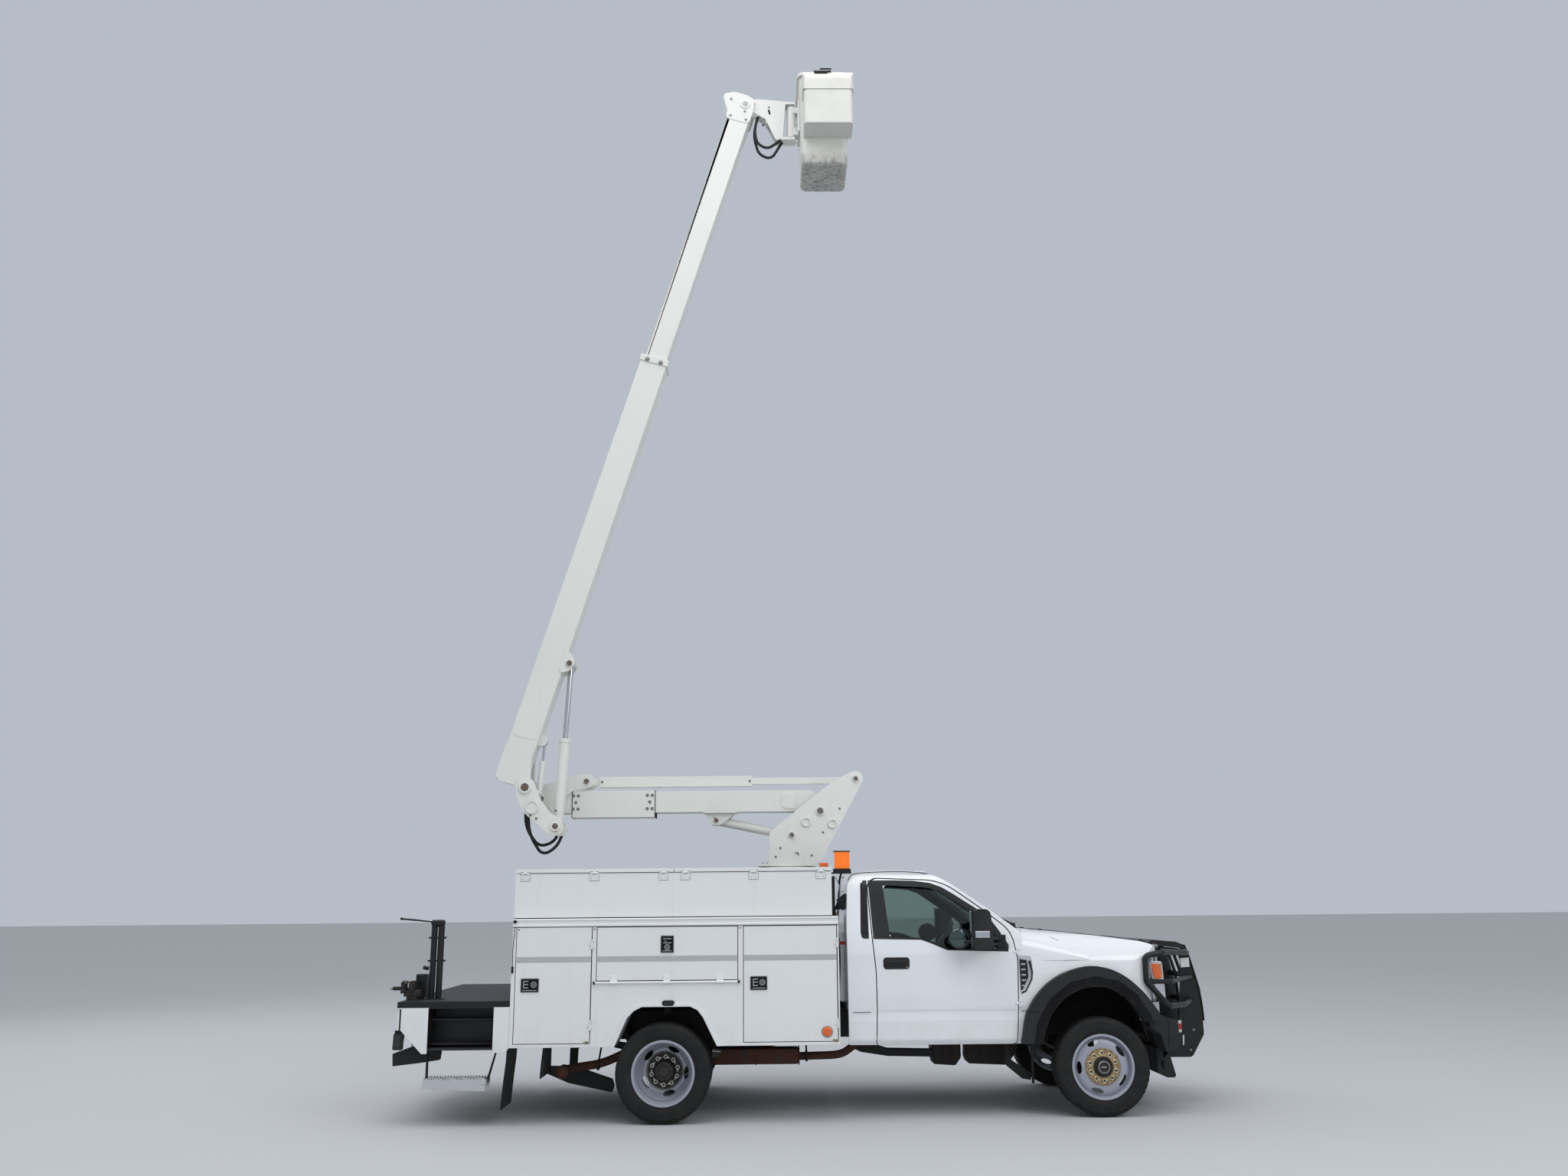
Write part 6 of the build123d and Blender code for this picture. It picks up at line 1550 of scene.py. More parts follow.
class TRUCK_OT_tail(bpy.types.Operator):
    """Tail shelf, steps, hitch, posts, vice, mud flaps and rear lamps"""

    bl_idname = "truck.tail"
    bl_label = "Tail"

    def execute(self, context):
        dress("tail_shelf", [
            ("body paint", lambda c, n, b: b[1].x - b[0].x > 700 and 1171 < abs(c.y) < 1195
                and 573 < c.z < 938 and not -1953 < c.x < -1413),
            ("deck lining", lambda c, n, b: b[1].x - b[0].x > 700 and n.z > 0.7),
            "powder black",
        ], 2.0, cuts=(
            ((0, 0, 938), (0, 0, 1)), ((-1953, 0, 0), (1, 0, 0)), ((-1413, 0, 0), (1, 0, 0)),
        ))
        dress("hanging_step", [
            ("frame black", lambda c, n, b: c.z > 378),
            "grip aluminium",
        ], 1.0)
        dress("cargo_deck", [
            ("deck lining", lambda c, n, b: c.z < 945 and n.z > 0.7),
            ("body paint", lambda c, n, b: c.z > 941),
            "frame black",
        ], 2.0)
        self.step()
        self.flaps()
        self.posts()
        self.vice()
        self.rear_lamps()
        self.hitch()
        return {"FINISHED"}

    def step(self):
        form = Form("grip aluminium")
        for i in range(17):
            x = -1956 + i * 29
            for j in range(5):
                form.rod((x, -1150 + j * 28, 371), (x, -1150 + j * 28, 376), 8, 5.5, sides=8)
        for y0, y1 in ((-1178, -1169), (-1017, -1009)):
            lip = [(-1984, 300), (-1462, 276), (-1456, 326), (-1984, 350)]
            form.slab(lip, "y", y0, y1, soft=2)
            for k in range(22):
                x = -1972 + k * 23.4
                form.box(x, x + 12, y0, y1, 372, 383, soft=2)
        form.using("bolt steel")
        for x, s in ((-1974, -1), (-1458, 1)):
            for z in (352, 372):
                form.bolt((x, -1085, z), (s, 0, 0), 7, 7)
        form.using("deck lining")
        treads = ((985, 1062, 1068), (838, 1052, 1062), (643, 1052, 1062), (612, 1172, 1182))
        for s in (-1, 1):
            for z, y0, y1 in treads:
                form.box(-1956, -1410, *span(s, y0, y1), z - 12, z + 3, soft=2)
        form.box(-2212, -1284, -1186, 1186, 984, 987.5, soft=1)
        form.piece("step_grip", "chassis", "grip_aluminium")

    def flaps(self):
        """Mud flaps behind the rear wheels, a little swept back."""
        form = Form("rubber")
        flap = [
            (-1284, 616), (-1289, 500), (-1299, 400), (-1312, 260), (-1321, 130), (-1333, 130),
            (-1324, 262), (-1311, 404), (-1301, 502), (-1296, 616),
        ]
        form.slab(flap, "y", 745, 1170, soft=2)
        form.using("frame black")
        form.box(-1306, -1281, 700, 1168, 596, 624, soft=3)
        form.using("bolt steel")
        for y in (790, 900, 1010, 1120):
            form.bolt((-1306, y, 609), (-1, 0, 0), 8, 8)
        form.mirror()
        form.piece("mud_flaps", "chassis", "black_plastic")

    def posts(self):
        form = Form("powder black")
        form.rod((-2010, -900, 1000), (-2010, -900, 1620), 26, soft=3)
        form.rod((-1950, -900, 1000), (-1950, -900, 1620), 27, soft=3)
        form.box(-2040, -1922, -932, -868, 1594, 1646, soft=20, segments=4)
        form.box(-2060, -1900, -950, -850, 984, 996, soft=3)
        form.box(-2052, -1906, -924, -876, 1296, 1312, soft=3)
        form.box(-2052, -1906, -924, -876, 1488, 1504, soft=3)
        form.box(-2142, -2046, -930, -850, 986, 1196, soft=10, segments=3)
        form.box(-2108, -2070, -936, -928, 1120, 1172, soft=4)
        form.rod((-2044, -900, 1240), (-2090, -900, 1250), 16, soft=3)
        form.using("bolt steel")
        for x, y in ((-2050, -940), (-2050, -862), (-1910, -940), (-1910, -862)):
            form.bolt((x, y, 996), (0, 0, 1), 8, 8)
        form.using("rod chrome")
        form.rod((-2300, -900, 1657), (-1990, -900, 1632), 6)
        form.using("powder black")
        form.ball((-2300, -900, 1657), (14, 12, 12))
        form.piece("post_fittings", "chassis", "black_paint")

    def vice(self):
        form = Form("cast iron")
        form.rod((-2120, -1080, 984), (-2120, -1080, 1028), 58, 48, soft=4)
        form.box(-2192, -2056, -1112, -1048, 1024, 1076, soft=8, segments=3)
        for jaw in (
            [(-2152, 1070), (-2108, 1070), (-2108, 1150), (-2140, 1150)],
            [(-2218, 1050), (-2178, 1050), (-2178, 1150), (-2206, 1150)],
        ):
            form.slab(jaw, "y", -1124, -1036, soft=5)
        form.rod((-2292, -1080, 1090), (-2204, -1080, 1090), 15, soft=3)
        form.using("bolt steel")
        form.rod((-2284, -1140, 1090), (-2284, -1020, 1090), 7, soft=2)
        for y in (-1143, -1017):
            form.ball((-2284, y, 1090), (10, 10, 10))
        form.box(-2180, -2172, -1122, -1038, 1128, 1148, soft=1)
        form.box(-2152, -2144, -1122, -1038, 1128, 1148, soft=1)
        form.piece("vice", "chassis", "dark_steel")

    def rear_lamps(self):
        form = Form("gloss black")
        on_back = Matrix.Rotation(math.radians(-90), 4, "Y")
        for s in (-1, 1):
            form.using("gloss black")
            case = [(-2238, 606), (-2154, 606), (-2148, 738), (-2232, 742)]
            form.slab(case, "y", *span(s, 1164, 1197), soft=6, corner=14)
            form.using("clear lens")
            pane = [(-2226, 620), (-2170, 620), (-2165, 726), (-2221, 729)]
            form.slab(pane, "y", *span(s, 1195, 1204), soft=3, corner=12)
            form.using("powder black")
            form.box(-2232, -2160, *span(s, 1120, 1166), 690, 760, soft=4)
            for y, look in ((900, "red lens"), (760, "red lens"), (1040, "clear lens")):
                form.using("gasket")
                form.rod((-2214, s * y, 850), (-2222, s * y, 850), 58, sides=36, soft=2)
                form.using(look)
                turn = Matrix.Translation((-2218, s * y, 850)) @ on_back
                dome = [(0, 0), (50, 0), (50, 8), (44, 13), (0, 17)]
                form.turned(dome, (0, 0, 0), way="z", steps=36, turn=turn)
            form.using("strip")
            form.box(-2217.5, -2215, *span(s, 700, 1170), 764, 786)
        form.using("red lens")
        for y in (-120, 0, 120):
            form.box(-2224, -2214, y - 24, y + 24, 894, 912, soft=4)
        form.using("tag white")
        form.box(-2219, -2215, 560, 700, 780, 855, soft=1)
        form.piece("rear_lamps", "chassis", "black_plastic")

    def hitch(self):
        form = Form("bolt steel")
        for y in (-120, 120):
            for z in (520, 680):
                form.bolt((-2285, y, z), (-1, 0, 0), 12, 12)
        form.using("cast iron")
        ring = [(22, -14), (38, -14), (40, 0), (38, 14), (22, 14), (20, 0)]
        form.turned(ring, (-2300, 0, 585), way="x", steps=28, soft=2)
        jaw = [(-2290, 555), (-2340, 560), (-2350, 590), (-2330, 612), (-2290, 620)]
        form.slab(jaw, "y", -22, 22, soft=6)
        form.using("bolt steel")
        for s in (-1, 1):
            y = s * 220
            loop = ((-2242, 560), (-2262, 556), (-2276, 540), (-2262, 522), (-2242, 520))
            form.tube([(x, y, z) for x, z in loop], 8)
        form.using("stainless")
        form.box(-2246, -2239, -560, -540, 500, 930, soft=1)
        form.piece("hitch_fittings", "chassis", "dark_steel")


# Underside

class TRUCK_OT_underside(bpy.types.Operator):
    """Frame rails, axles, springs, drive line, exhaust and lines"""

    bl_idname = "truck.underside"
    bl_label = "Underside"

    def execute(self, context):
        dress("frame_rails", ["frame black"], 2.0)
        dress("axles", ["cast iron"], 2.5)
        for tag in "lr":
            dress("knuckle_" + tag, ["cast iron"], 2.5)
        dress("drivetrain", [
            ("frame black", lambda c, n, b: b[0].y > 430),
            ("grip aluminium", lambda c, n, b: b[0].x > 3900),
            "cast iron",
        ], 3.0, keep=lambda low, high: low.y > -850)
        self.springs()
        self.coils()
        self.exhaust()
        self.lumps()
        self.lines()
        return {"FINISHED"}

    def springs(self):
        form = Form("cast iron")
        clamp = ((-48, 560), (-48, 330), (0, 322), (48, 330), (48, 560))
        for s in (-1, 1):
            y = s * 486
            for x in (-62, 62):
                form.tube([(x, y + dy, z) for dy, z in clamp], 8)
                form.bolt((x, y - 48, 560), (0, 0, 1), 12, 12)
                form.bolt((x, y + 48, 560), (0, 0, 1), 12, 12)
            form.box(-90, 90, y - 60, y + 60, 548, 566, soft=4)
            form.box(-90, 90, y - 60, y + 60, 440, 456, soft=4)
            for x in (-330, 330):
                form.box(x - 14, x + 14, y - 46, y + 46, 486, 580, soft=3)
            form.across(-725, 650, y - 46, y + 46, 26, soft=3)
            form.across(725, 650, y - 46, y + 46, 26, soft=3)
            form.rod((-230, s * 560, 400), (-420, s * 470, 760), 30, soft=3)
            form.rod((-300, s * 528, 540), (-420, s * 470, 760), 38, soft=3)
        form.using("bolt steel")
        for k in range(10):
            a = math.tau * k / 10
            spot = (165 * math.cos(a), -104, 398 + 148 * math.sin(a))
            form.bolt(spot, (0, -1, 0), 8, 8, washer=False)
        form.piece("spring_clamps", "chassis", "dark_steel")

    def coils(self):
        form = Form("frame black")
        for s in (-1, 1):
            points = []
            for k in range(85):
                a = math.tau * k / 14
                x, y = WHEEL_BASE + 68 * math.cos(a), s * 395 + 68 * math.sin(a)
                points.append((x, y, 424 + k * 1.96))
            form.tube(points, 9, 2, 2)
            x = WHEEL_BASE - 120
            form.rod((x, s * 470, 380), (x - 30, s * 440, 640), 26, soft=3)
        form.rod((WHEEL_BASE - 150, -640, 430), (WHEEL_BASE - 150, 640, 430), 18)
        form.piece("coil_springs", "chassis", "dark_steel")

    def exhaust(self):
        """Pipe, muffler box and turned-out tail pipe on the right side."""
        form = Form("exhaust rust")
        form.box(392, 1142, -650, -450, 399, 531, soft=22, segments=3)
        for x in (392, 767, 1142):
            form.box(x - 5, x + 5, -655, -445, 394, 536, soft=24, segments=3)
        down_pipe = [
            (1130, -520, 453), (1360, -500, 453), (1520, -490, 460), (1610, -470, 516),
            (1760, -420, 620), (1900, -360, 700),
        ]
        form.tube(down_pipe, 34, 4)
        tail_pipe = [
            (400, -560, 470), (250, -560, 500), (80, -565, 660), (-120, -575, 660),
            (-330, -590, 520), (-560, -620, 420), (-760, -650, 398), (-850, -720, 390),
            (-874, -800, 388), (-874, -905, 386),
        ]
        form.tube(tail_pipe, 36, 4)
        form.turned([(40, -908), (50, -908), (50, -780), (40, -780)], (-874, 0, 386), steps=32)
        form.using("felt")
        form.across(-874, 386, -896, -890, 42)
        form.using("cast iron")
        for x, y, z in ((1210, -515, 453), (300, -560, 490), (-600, -625, 412)):
            form.box(x - 12, x + 12, y - 44, y + 44, z - 44, z + 44, soft=10)
            form.rod((x, y + 30, z + 30), (x, -440, z + 130), 8)
        form.piece("exhaust", "chassis", "dark_steel")

    def lumps(self):
        """Gear cases, brackets and bars that hang below the frame."""
        form = Form("cast iron")
        case = [(2350, 350), (2548, 337), (2599, 404), (2599, 560), (2338, 560), (2338, 415)]
        form.slab(case, "y", -335, -90, soft=14, segments=3)
        case = [
            (2662, 352), (2993, 337), (3060, 400), (3109, 479), (3109, 560), (2650, 560),
            (2644, 403),
        ]
        form.slab(case, "y", -335, -90, soft=14, segments=3)
        for x in (2420, 2500, 2760, 2860, 2950):
            form.box(x - 6, x + 6, -341, -84, 350, 540, soft=3)
        form.using("frame black")
        bar = [
            (1617, 500), (1701, 461), (1941, 424), (2345, 414), (2345, 480), (1941, 490),
            (1700, 560), (1617, 560),
        ]
        form.slab(bar, "y", -345, -270, soft=10)
        for s in (-1, 1):
            strut = [(3150, 230), (3172, 230), (3176, 620), (3156, 620)]
            form.slab(strut, "y", *span(s, 690, 712), soft=3)
            liner = [
                (2940, 374), (3085, 256), (3160, 244), (3168, 300), (3000, 410), (2960, 560),
                (2940, 560),
            ]
            form.slab(liner, "y", *span(s, 600, 610), soft=2)
            form.rod((3060, s * 430, 560), (3180, s * 704, 540), 14)
        link = [
            (-1061, 330), (-868, 250), (-488, 169), (-470, 225), (-488, 279), (-804, 385),
            (-1040, 392),
        ]
        form.slab(link, "y", -530, -478, soft=8)
        form.slab([(-868, 380), (-800, 380), (-790, 700), (-860, 700)], "y", -520, -470, soft=4)
        arm = [(-2284, 559), (-2278, 459), (-2058, 482), (-1889, 505), (-1880, 573), (-2079, 631)]
        form.slab(arm, "y", -1008, -948, soft=6)
        form.slab([(-2079, 631), (-1960, 600), (-1960, 760), (-2079, 760)], "y", -1004, -952, soft=4)
        plate = [(410, 588), (485, 574), (464, 530), (397, 511)]
        form.slab(plate, "y", -1110, -1092, soft=3)
        form.using("bolt steel")
        form.rod((404, -1112, 566), (476, -1112, 560), 6)
        form.piece("underside_parts", "chassis", "dark_steel")

    def lines(self):
        form = Form("gasket")
        for s in (-1, 1):
            y = s * 351
            route = [(-1800, y, 700), (-600, y, 690), (600, y, 700), (1900, y, 690), (3300, y, 700)]
            form.tube(route, 7, 2)
            route = [(-1800, y, 720), (0, y, 725), (1900, y, 715), (3300, y, 722)]
            form.tube(route, 5, 2)
        form.piece("frame_lines", "chassis", "hose")


# Lift

def boom_place(s=0.0, n=0.0):
    """From the raised boom's own axes, along it and square to it, to the truck's."""
    c, i = math.cos(BOOM_TILT), math.sin(BOOM_TILT)
    turn = Matrix(((c, 0, -i, BOOM_PIN[0]), (0, 1, 0, BOOM_Y), (i, 0, c, BOOM_PIN[1]), (0, 0, 0, 1)))
    return turn @ Matrix.Translation((s, 0, n))


class TRUCK_OT_lift(bpy.types.Operator):
    """Turret, arms, booms, cylinders, links, pins, bolts and hoses"""

    bl_idname = "truck.lift"
    bl_label = "Lift"

    def execute(self, context):
        for node in ("turret", "lower_arm", "comp_link", "elbow", "outer_boom", "inner_boom"):
            dress(node, ["boom paint"], 2.5)
        for node in ("arm_cyl_barrel", "boom_cyl_barrel", "level_cyl_barrel"):
            dress(node, ["boom paint"], 2.0)
        for node in ("arm_cyl_rod", "boom_cyl_rod", "level_cyl_rod"):
            dress(node, ["rod chrome"], 1.5)
        for node in ("elbow_hoses", "tip_hoses"):
            dress(node, ["hose sleeve"], 0)
        self.turret()
        self.arm()
        self.link()
        self.elbow()
        self.booms()
        return {"FINISHED"}

    def turret(self):
        form = Form("bolt steel")
        for s in (-1, 1):
            y = s * 229
            for (x, z), r in ((ARM_PIN, 30), (LINK_PIN, 22), (ARM_CYL_END, 22)):
                form.across(x, z, y, y + s * 8, r, soft=2)
                form.using("pin rust")
                form.across(x, z, y + s * 6, y + s * 11, r * 0.6, soft=1.5)
                form.bolt((x + r * 0.55, y + s * 8, z - r * 0.4), (0, s, 0), 6, 6)
                form.using("bolt steel")
            form.using("boom paint")
            ring = ((33, 218), (44, 218), (44, 226), (40, 229), (36, 229), (33, 224))
            for x, z in ((1241, 2497), (1488, 2480)):
                form.turned([(r, s * out) for r, out in ring], (x, 0, z), steps=36)
            form.using("bolt steel")
            for x, z in ((955, 2180), (1000, 2260), (1290, 2190), (1400, 2400), (1560, 2620)):
                form.bolt((x, s * 215, z), (0, s, 0), 8, 8)
        form.using("bolt steel")
        for k in range(20):
            a = math.tau * k / 20
            x, y = TURRET_X + 238 * math.cos(a), 238 * math.sin(a)
            if abs(y) < 205 and 800 < x < 1330:
                form.bolt((x, y, TURRET_Z), (0, 0, 1), 9, 12)
        form.using("powder black")
        form.rod((TURRET_X, 0, TURRET_Z), (TURRET_X, 0, TURRET_Z + 72), 70, soft=4)
        form.using("hose sleeve")
        route = (
            (TURRET_X, 0.5, 2180), (1040, 0.6, 2290), (1130, 0.8, 2420), (1240, 1, 2560),
            (1330, 1, 2700),
        )
        for y in (-60, -25, 15, 55):
            form.tube([(x, y * share, z) for x, share, z in route], 11, 3)
        form.piece("turret_pins", "turret", "dark_steel")
        bearing = Form("cast iron")
        for k in range(24):
            a = math.tau * k / 24
            spot = (TURRET_X + 244 * math.cos(a), 244 * math.sin(a), TURRET_Z - 31)
            bearing.bolt(spot, (0, 0, 1), 8, 5, washer=False)
        bearing.piece("bearing_bolts", "chassis", "dark_steel")

    def arm(self):
        form = Form("bolt steel")
        for s in (-1, 1):
            for x0 in (-940, -240):
                for dx, z in ((-18, 2640), (28, 2640), (-18, 2765), (28, 2765), (5, 2702)):
                    form.bolt((x0 + dx, s * 115, z), (0, s, 0), 11, 9)
            form.using("boom paint")
            plate = [(1010, 2640), (1150, 2620), (1150, 2785), (1010, 2770)]
            form.slab(plate, "y", *span(s, 109, 116), soft=2, corner=30)
            form.using("pin rust")
            form.across(*ARM_CYL_BASE, s * 84, s * 92, 20, soft=2)
            form.using("bolt steel")
            form.bolt((380, s * 84, 2548), (0, s, 0), 6, 6)
        form.using("gasket")
        form.box(-972, -966, -117, 117, 2558, 2810)
        form.box(-188, -182, -117, 117, 2558, 2810)
        form.piece("arm_bolts", "lower_arm", "dark_steel")

    def link(self):
        form = Form("pin rust")
        for x, z in (LINK_PIN, LINK_PIN_E):
            for s in (-1, 1):
                form.across(x, z, s * 38, s * 46, 30, soft=2)
        form.using("bolt steel")
        for x in (-700, 712):
            for s in (-1, 1):
                form.bolt((x, s * 45, 2898), (0, s, 0), 9, 7)
        form.piece("link_pins", "comp_link", "dark_steel")

    def elbow(self):
        near = BOOM_Y - 132
        form = Form("pin rust")
        for (x, z), y0, r in ((ARM_PIN_E, -147, 26), (LINK_PIN_E, -145, 24)):
            form.across(x, z, y0 - 8, y0, r, soft=2)
            form.across(x, z, -y0, -y0 + 8, r, soft=2)
        for (x, z), r in ((BOOM_PIN, 34), (BOOM_CYL_BASE, 24)):
            form.using("boom paint")
            ring = ((4, 14), (20, 14), (20, 20), (4, 22))
            form.turned([(r + wide, near - out) for wide, out in ring], (x, 0, z), steps=36)
            form.using("pin rust")
            form.across(x, z, near - 24, near - 12, r, soft=3)
            form.using("bolt steel")
            form.bolt((x + r * 0.4, near - 24, z + r * 0.4), (0, -1, 0), 7, 6)
            form.across(x, z, BOOM_Y + 132, BOOM_Y + 150, r, soft=3)
        form.using("boom paint")
        boss = [(48, near - 6), (62, near - 6), (62, near - 12), (50, near - 14)]
        form.turned(boss, (-1280, 0, 2634), steps=40)
        form.using("bolt steel")
        for x, z in ((-1290, 2560), (-1235, 2530), (-1185, 2700), (-1060, 2600)):
            form.bolt((x, near, z), (0, -1, 0), 9, 8)
        form.using("red lens")
        form.across(-1052, 2418, near - 18, near - 10, 10, soft=2)
        form.using("stainless")
        for x, z in ((-1412, 2668), (-1058, 2472)):
            form.across(x, z, -252, -178, 9, soft=1)
        form.piece("elbow_pins", "elbow", "dark_steel")

    def booms(self):
        form = Form("bolt steel")
        doubler = [(430, 300), (430, 40), (640, 60), (760, 163), (640, 268)]
        for s in (-1, 1):
            for n in (92, 232):
                form.bolt((4362, s * 120, n), (0, s, 0), 17, 14)
            form.using("pin rust")
            form.across(1215, -16, s * 130, s * 138, 26, soft=2)
            form.using("boom paint")
            form.slab(doubler, "y", *span(s, 109, 113.5), soft=1.5, corner=60)
            form.using("bolt steel")
        form.moved(boom_place())
        form.piece("boom_bolts", "outer_boom", "dark_steel")
        tip = Form("bolt steel")
        ring = ((30, 96), (52, 96), (52, 102), (46, 104), (30, 104))
        for s in (-1, 1):
            for a, n in ((7250, 80), (7250, 250), (7340, 120), (7440, 300)):
                tip.bolt((a, s * 96, n), (0, s, 0), 11, 9)
            tip.using("boom paint")
            tip.turned([(r, s * out) for r, out in ring], (7420, 0, 140), steps=32)
            tip.using("bolt steel")
        tip.moved(boom_place())
        tip.piece("tip_bolts", "inner_boom", "dark_steel")


class TRUCK_OT_platform(bpy.types.Operator):
    """Platform bracket, tub, console, controls and their fittings"""

    bl_idname = "truck.platform"
    bl_label = "Platform"

    def execute(self, context):
        px, pz = TIP
        dress("platform_bracket", ["boom paint"], 2.0)
        dress("bucket", ["tub shell"], 4.0)
        dress("bucket_mount", ["boom paint"], 2.5)
        form = Form("bolt steel")
        mark = [(236, -40), (256, -40), (270, -100), (250, -100)]
        mark = [(px + x, pz + z) for x, z in mark]
        for s in (-1, 1):
            y = BOOM_Y + s * 60
            form.across(px, pz, BOOM_Y + s * 105, BOOM_Y + s * 106, 22)
            for x, z in ((90, 30), (250, -9), (188, -146)):
                form.bolt((px + x, y, pz + z), (0, s, 0), 10, 9)
            form.using("gasket")
            form.slab(mark, "y", *sorted((y - s * 2, y + s * 1.5)), corner=8)
            form.using("bolt steel")
        form.piece("bracket_bolts", "platform_bracket", "dark_steel")
        self.tub(px, pz)
        return {"FINISHED"}

    def tub(self, px, pz):
        x0, x1 = px + 562.5, px + 1072.5
        top = pz + 229.3
        cy = BOOM_Y - 300
        form = Form("gasket")
        slot = [(150, 150), (290, 150), (290, 124), (150, 124)]
        slot = [(x0 + along, top - down) for along, down in slot]
        form.slab(slot, "y", cy - 212, cy - 200, corner=10, soft=2)
        form.box(x0 + 210, x0 + 330, cy - 206, cy - 192, top - 98, top - 84, soft=5)
        form.using("tub shell")
        form.box(x0 + 32, x1 + 38, cy - 238, cy - 20, top - 345, top - 336, soft=2)
        form.using("powder black")
        form.box(x0 + 150, x0 + 330, cy - 160, cy - 60, top - 92, top - 80, soft=5)
        for k, knob in enumerate(("red paint", "gloss black", "gloss black", "gloss black")):
            x = x0 + 170 + k * 46
            form.using("gloss black")
            form.rod((x, cy - 60, top - 90), (x, cy - 60, top - 30), 6)
            form.using(knob)
            form.ball((x, cy - 60, top - 24), (13, 13, 15))
        form.using("bolt steel")
        for z in (pz - 320, pz - 262, pz - 40, pz + 12):
            for dy in (-120, 120):
                form.bolt((x0 - 22, BOOM_Y + dy, z), (-1, 0, 0), 10, 9)
        form.using("tub shell")
        for x in (x0 + 90, x1 - 110):
            form.slab([(x, pz - 790), (x + 22, pz - 790), (x + 24, pz - 440), (x - 2, pz - 440)], "y",
                      BOOM_Y + 285, BOOM_Y + 301, soft=4)
        form.piece("tub_fittings", "bucket", "tub_plastic")


class TRUCK_OT_fittings(bpy.types.Operator):
    """Beacon, work lamp, wires and bracket behind the cab"""

    bl_idname = "truck.fittings"
    bl_label = "Fittings behind the cab"

    def execute(self, context):
        form = Form("powder black")
        form.box(1426, 1615, -880, -760, 2008, 2020, soft=2)
        foot = [(1458, -882), (1612, -882), (1612, -738), (1458, -738)]
        form.slab(foot, "z", 2020, 2050, soft=4, corner=20)
        form.using("amber lens")
        lens_plan = [(1468, -872), (1602, -872), (1602, -748), (1468, -748)]
        form.slab(lens_plan, "z", 2050, 2200, soft=10, corner=26, segments=4)
        for k in range(14):
            x = 1474 + k * 9.4
            form.box(x, x + 4, -874, -870, 2066, 2182, soft=1)
        form.using("chrome")
        form.rod((1535, -810, 2052), (1535, -810, 2130), 24)
        form.using("powder black")
        form.box(1462, 1608, -878, -742, 2196, 2206, soft=4)
        form.piece("beacon_lens", "chassis", "amber", ("beacon",))
        extra = Form("powder black")
        extra.box(1452, 1476, -700, -560, 1640, 1990, soft=3)
        extra.box(1500, 1560, -770, -640, 1700, 1790, soft=14, segments=3)
        hood = [(1486, 1782), (1560, 1840), (1616, 1800), (1606, 1740), (1540, 1690)]
        extra.slab(hood, "y", -790, -660, soft=8)
        extra.rod((1520, -715, 1800), (1476, -690, 1700), 10)
        extra.using("clear lens")
        extra.slab([(1608, 1742), (1618, 1796), (1624, 1790), (1614, 1742)], "y", -780, -670, soft=2)
        extra.using("marker lens")
        extra.box(1340, 1420, -700, -640, 2062, 2110, soft=12, segments=3)
        extra.using("red paint")
        extra.box(1478, 1500, -640, -600, 1140, 1420, soft=3)
        extra.box(1478, 1552, -760, -600, 1400, 1426, soft=3)
        extra.box(1478, 1500, -760, -600, 1146, 1170, soft=3)
        extra.using("gasket")
        routes = (
            ((1490, -600, 960), (1510, -560, 1200), (1500, -520, 1500), (1480, -480, 1700)),
            ((1500, -520, 940), (1530, -500, 1300), (1500, -400, 1600), (1478, -380, 1760)),
            ((1500, -300, 940), (1520, -300, 1400), (1510, -260, 1700), (1300, -200, 2000)),
            ((1490, -740, 1700), (1520, -700, 1840), (1510, -780, 1960), (1530, -800, 2014)),
        )
        for route in routes:
            extra.tube(list(route), 9, 3)
        extra.using("wire red")
        wire = [(1482, -620, 1000), (1500, -600, 1250), (1490, -610, 1500), (1500, -660, 1720)]
        extra.tube(wire, 4, 2)
        extra.using("wire white")
        wire = [(1486, -700, 1660), (1530, -760, 1850), (1500, -800, 1930), (1480, -760, 1980)]
        extra.tube(wire, 4, 2)
        extra.piece("bulkhead_fittings", "chassis", "black_paint")
        return {"FINISHED"}


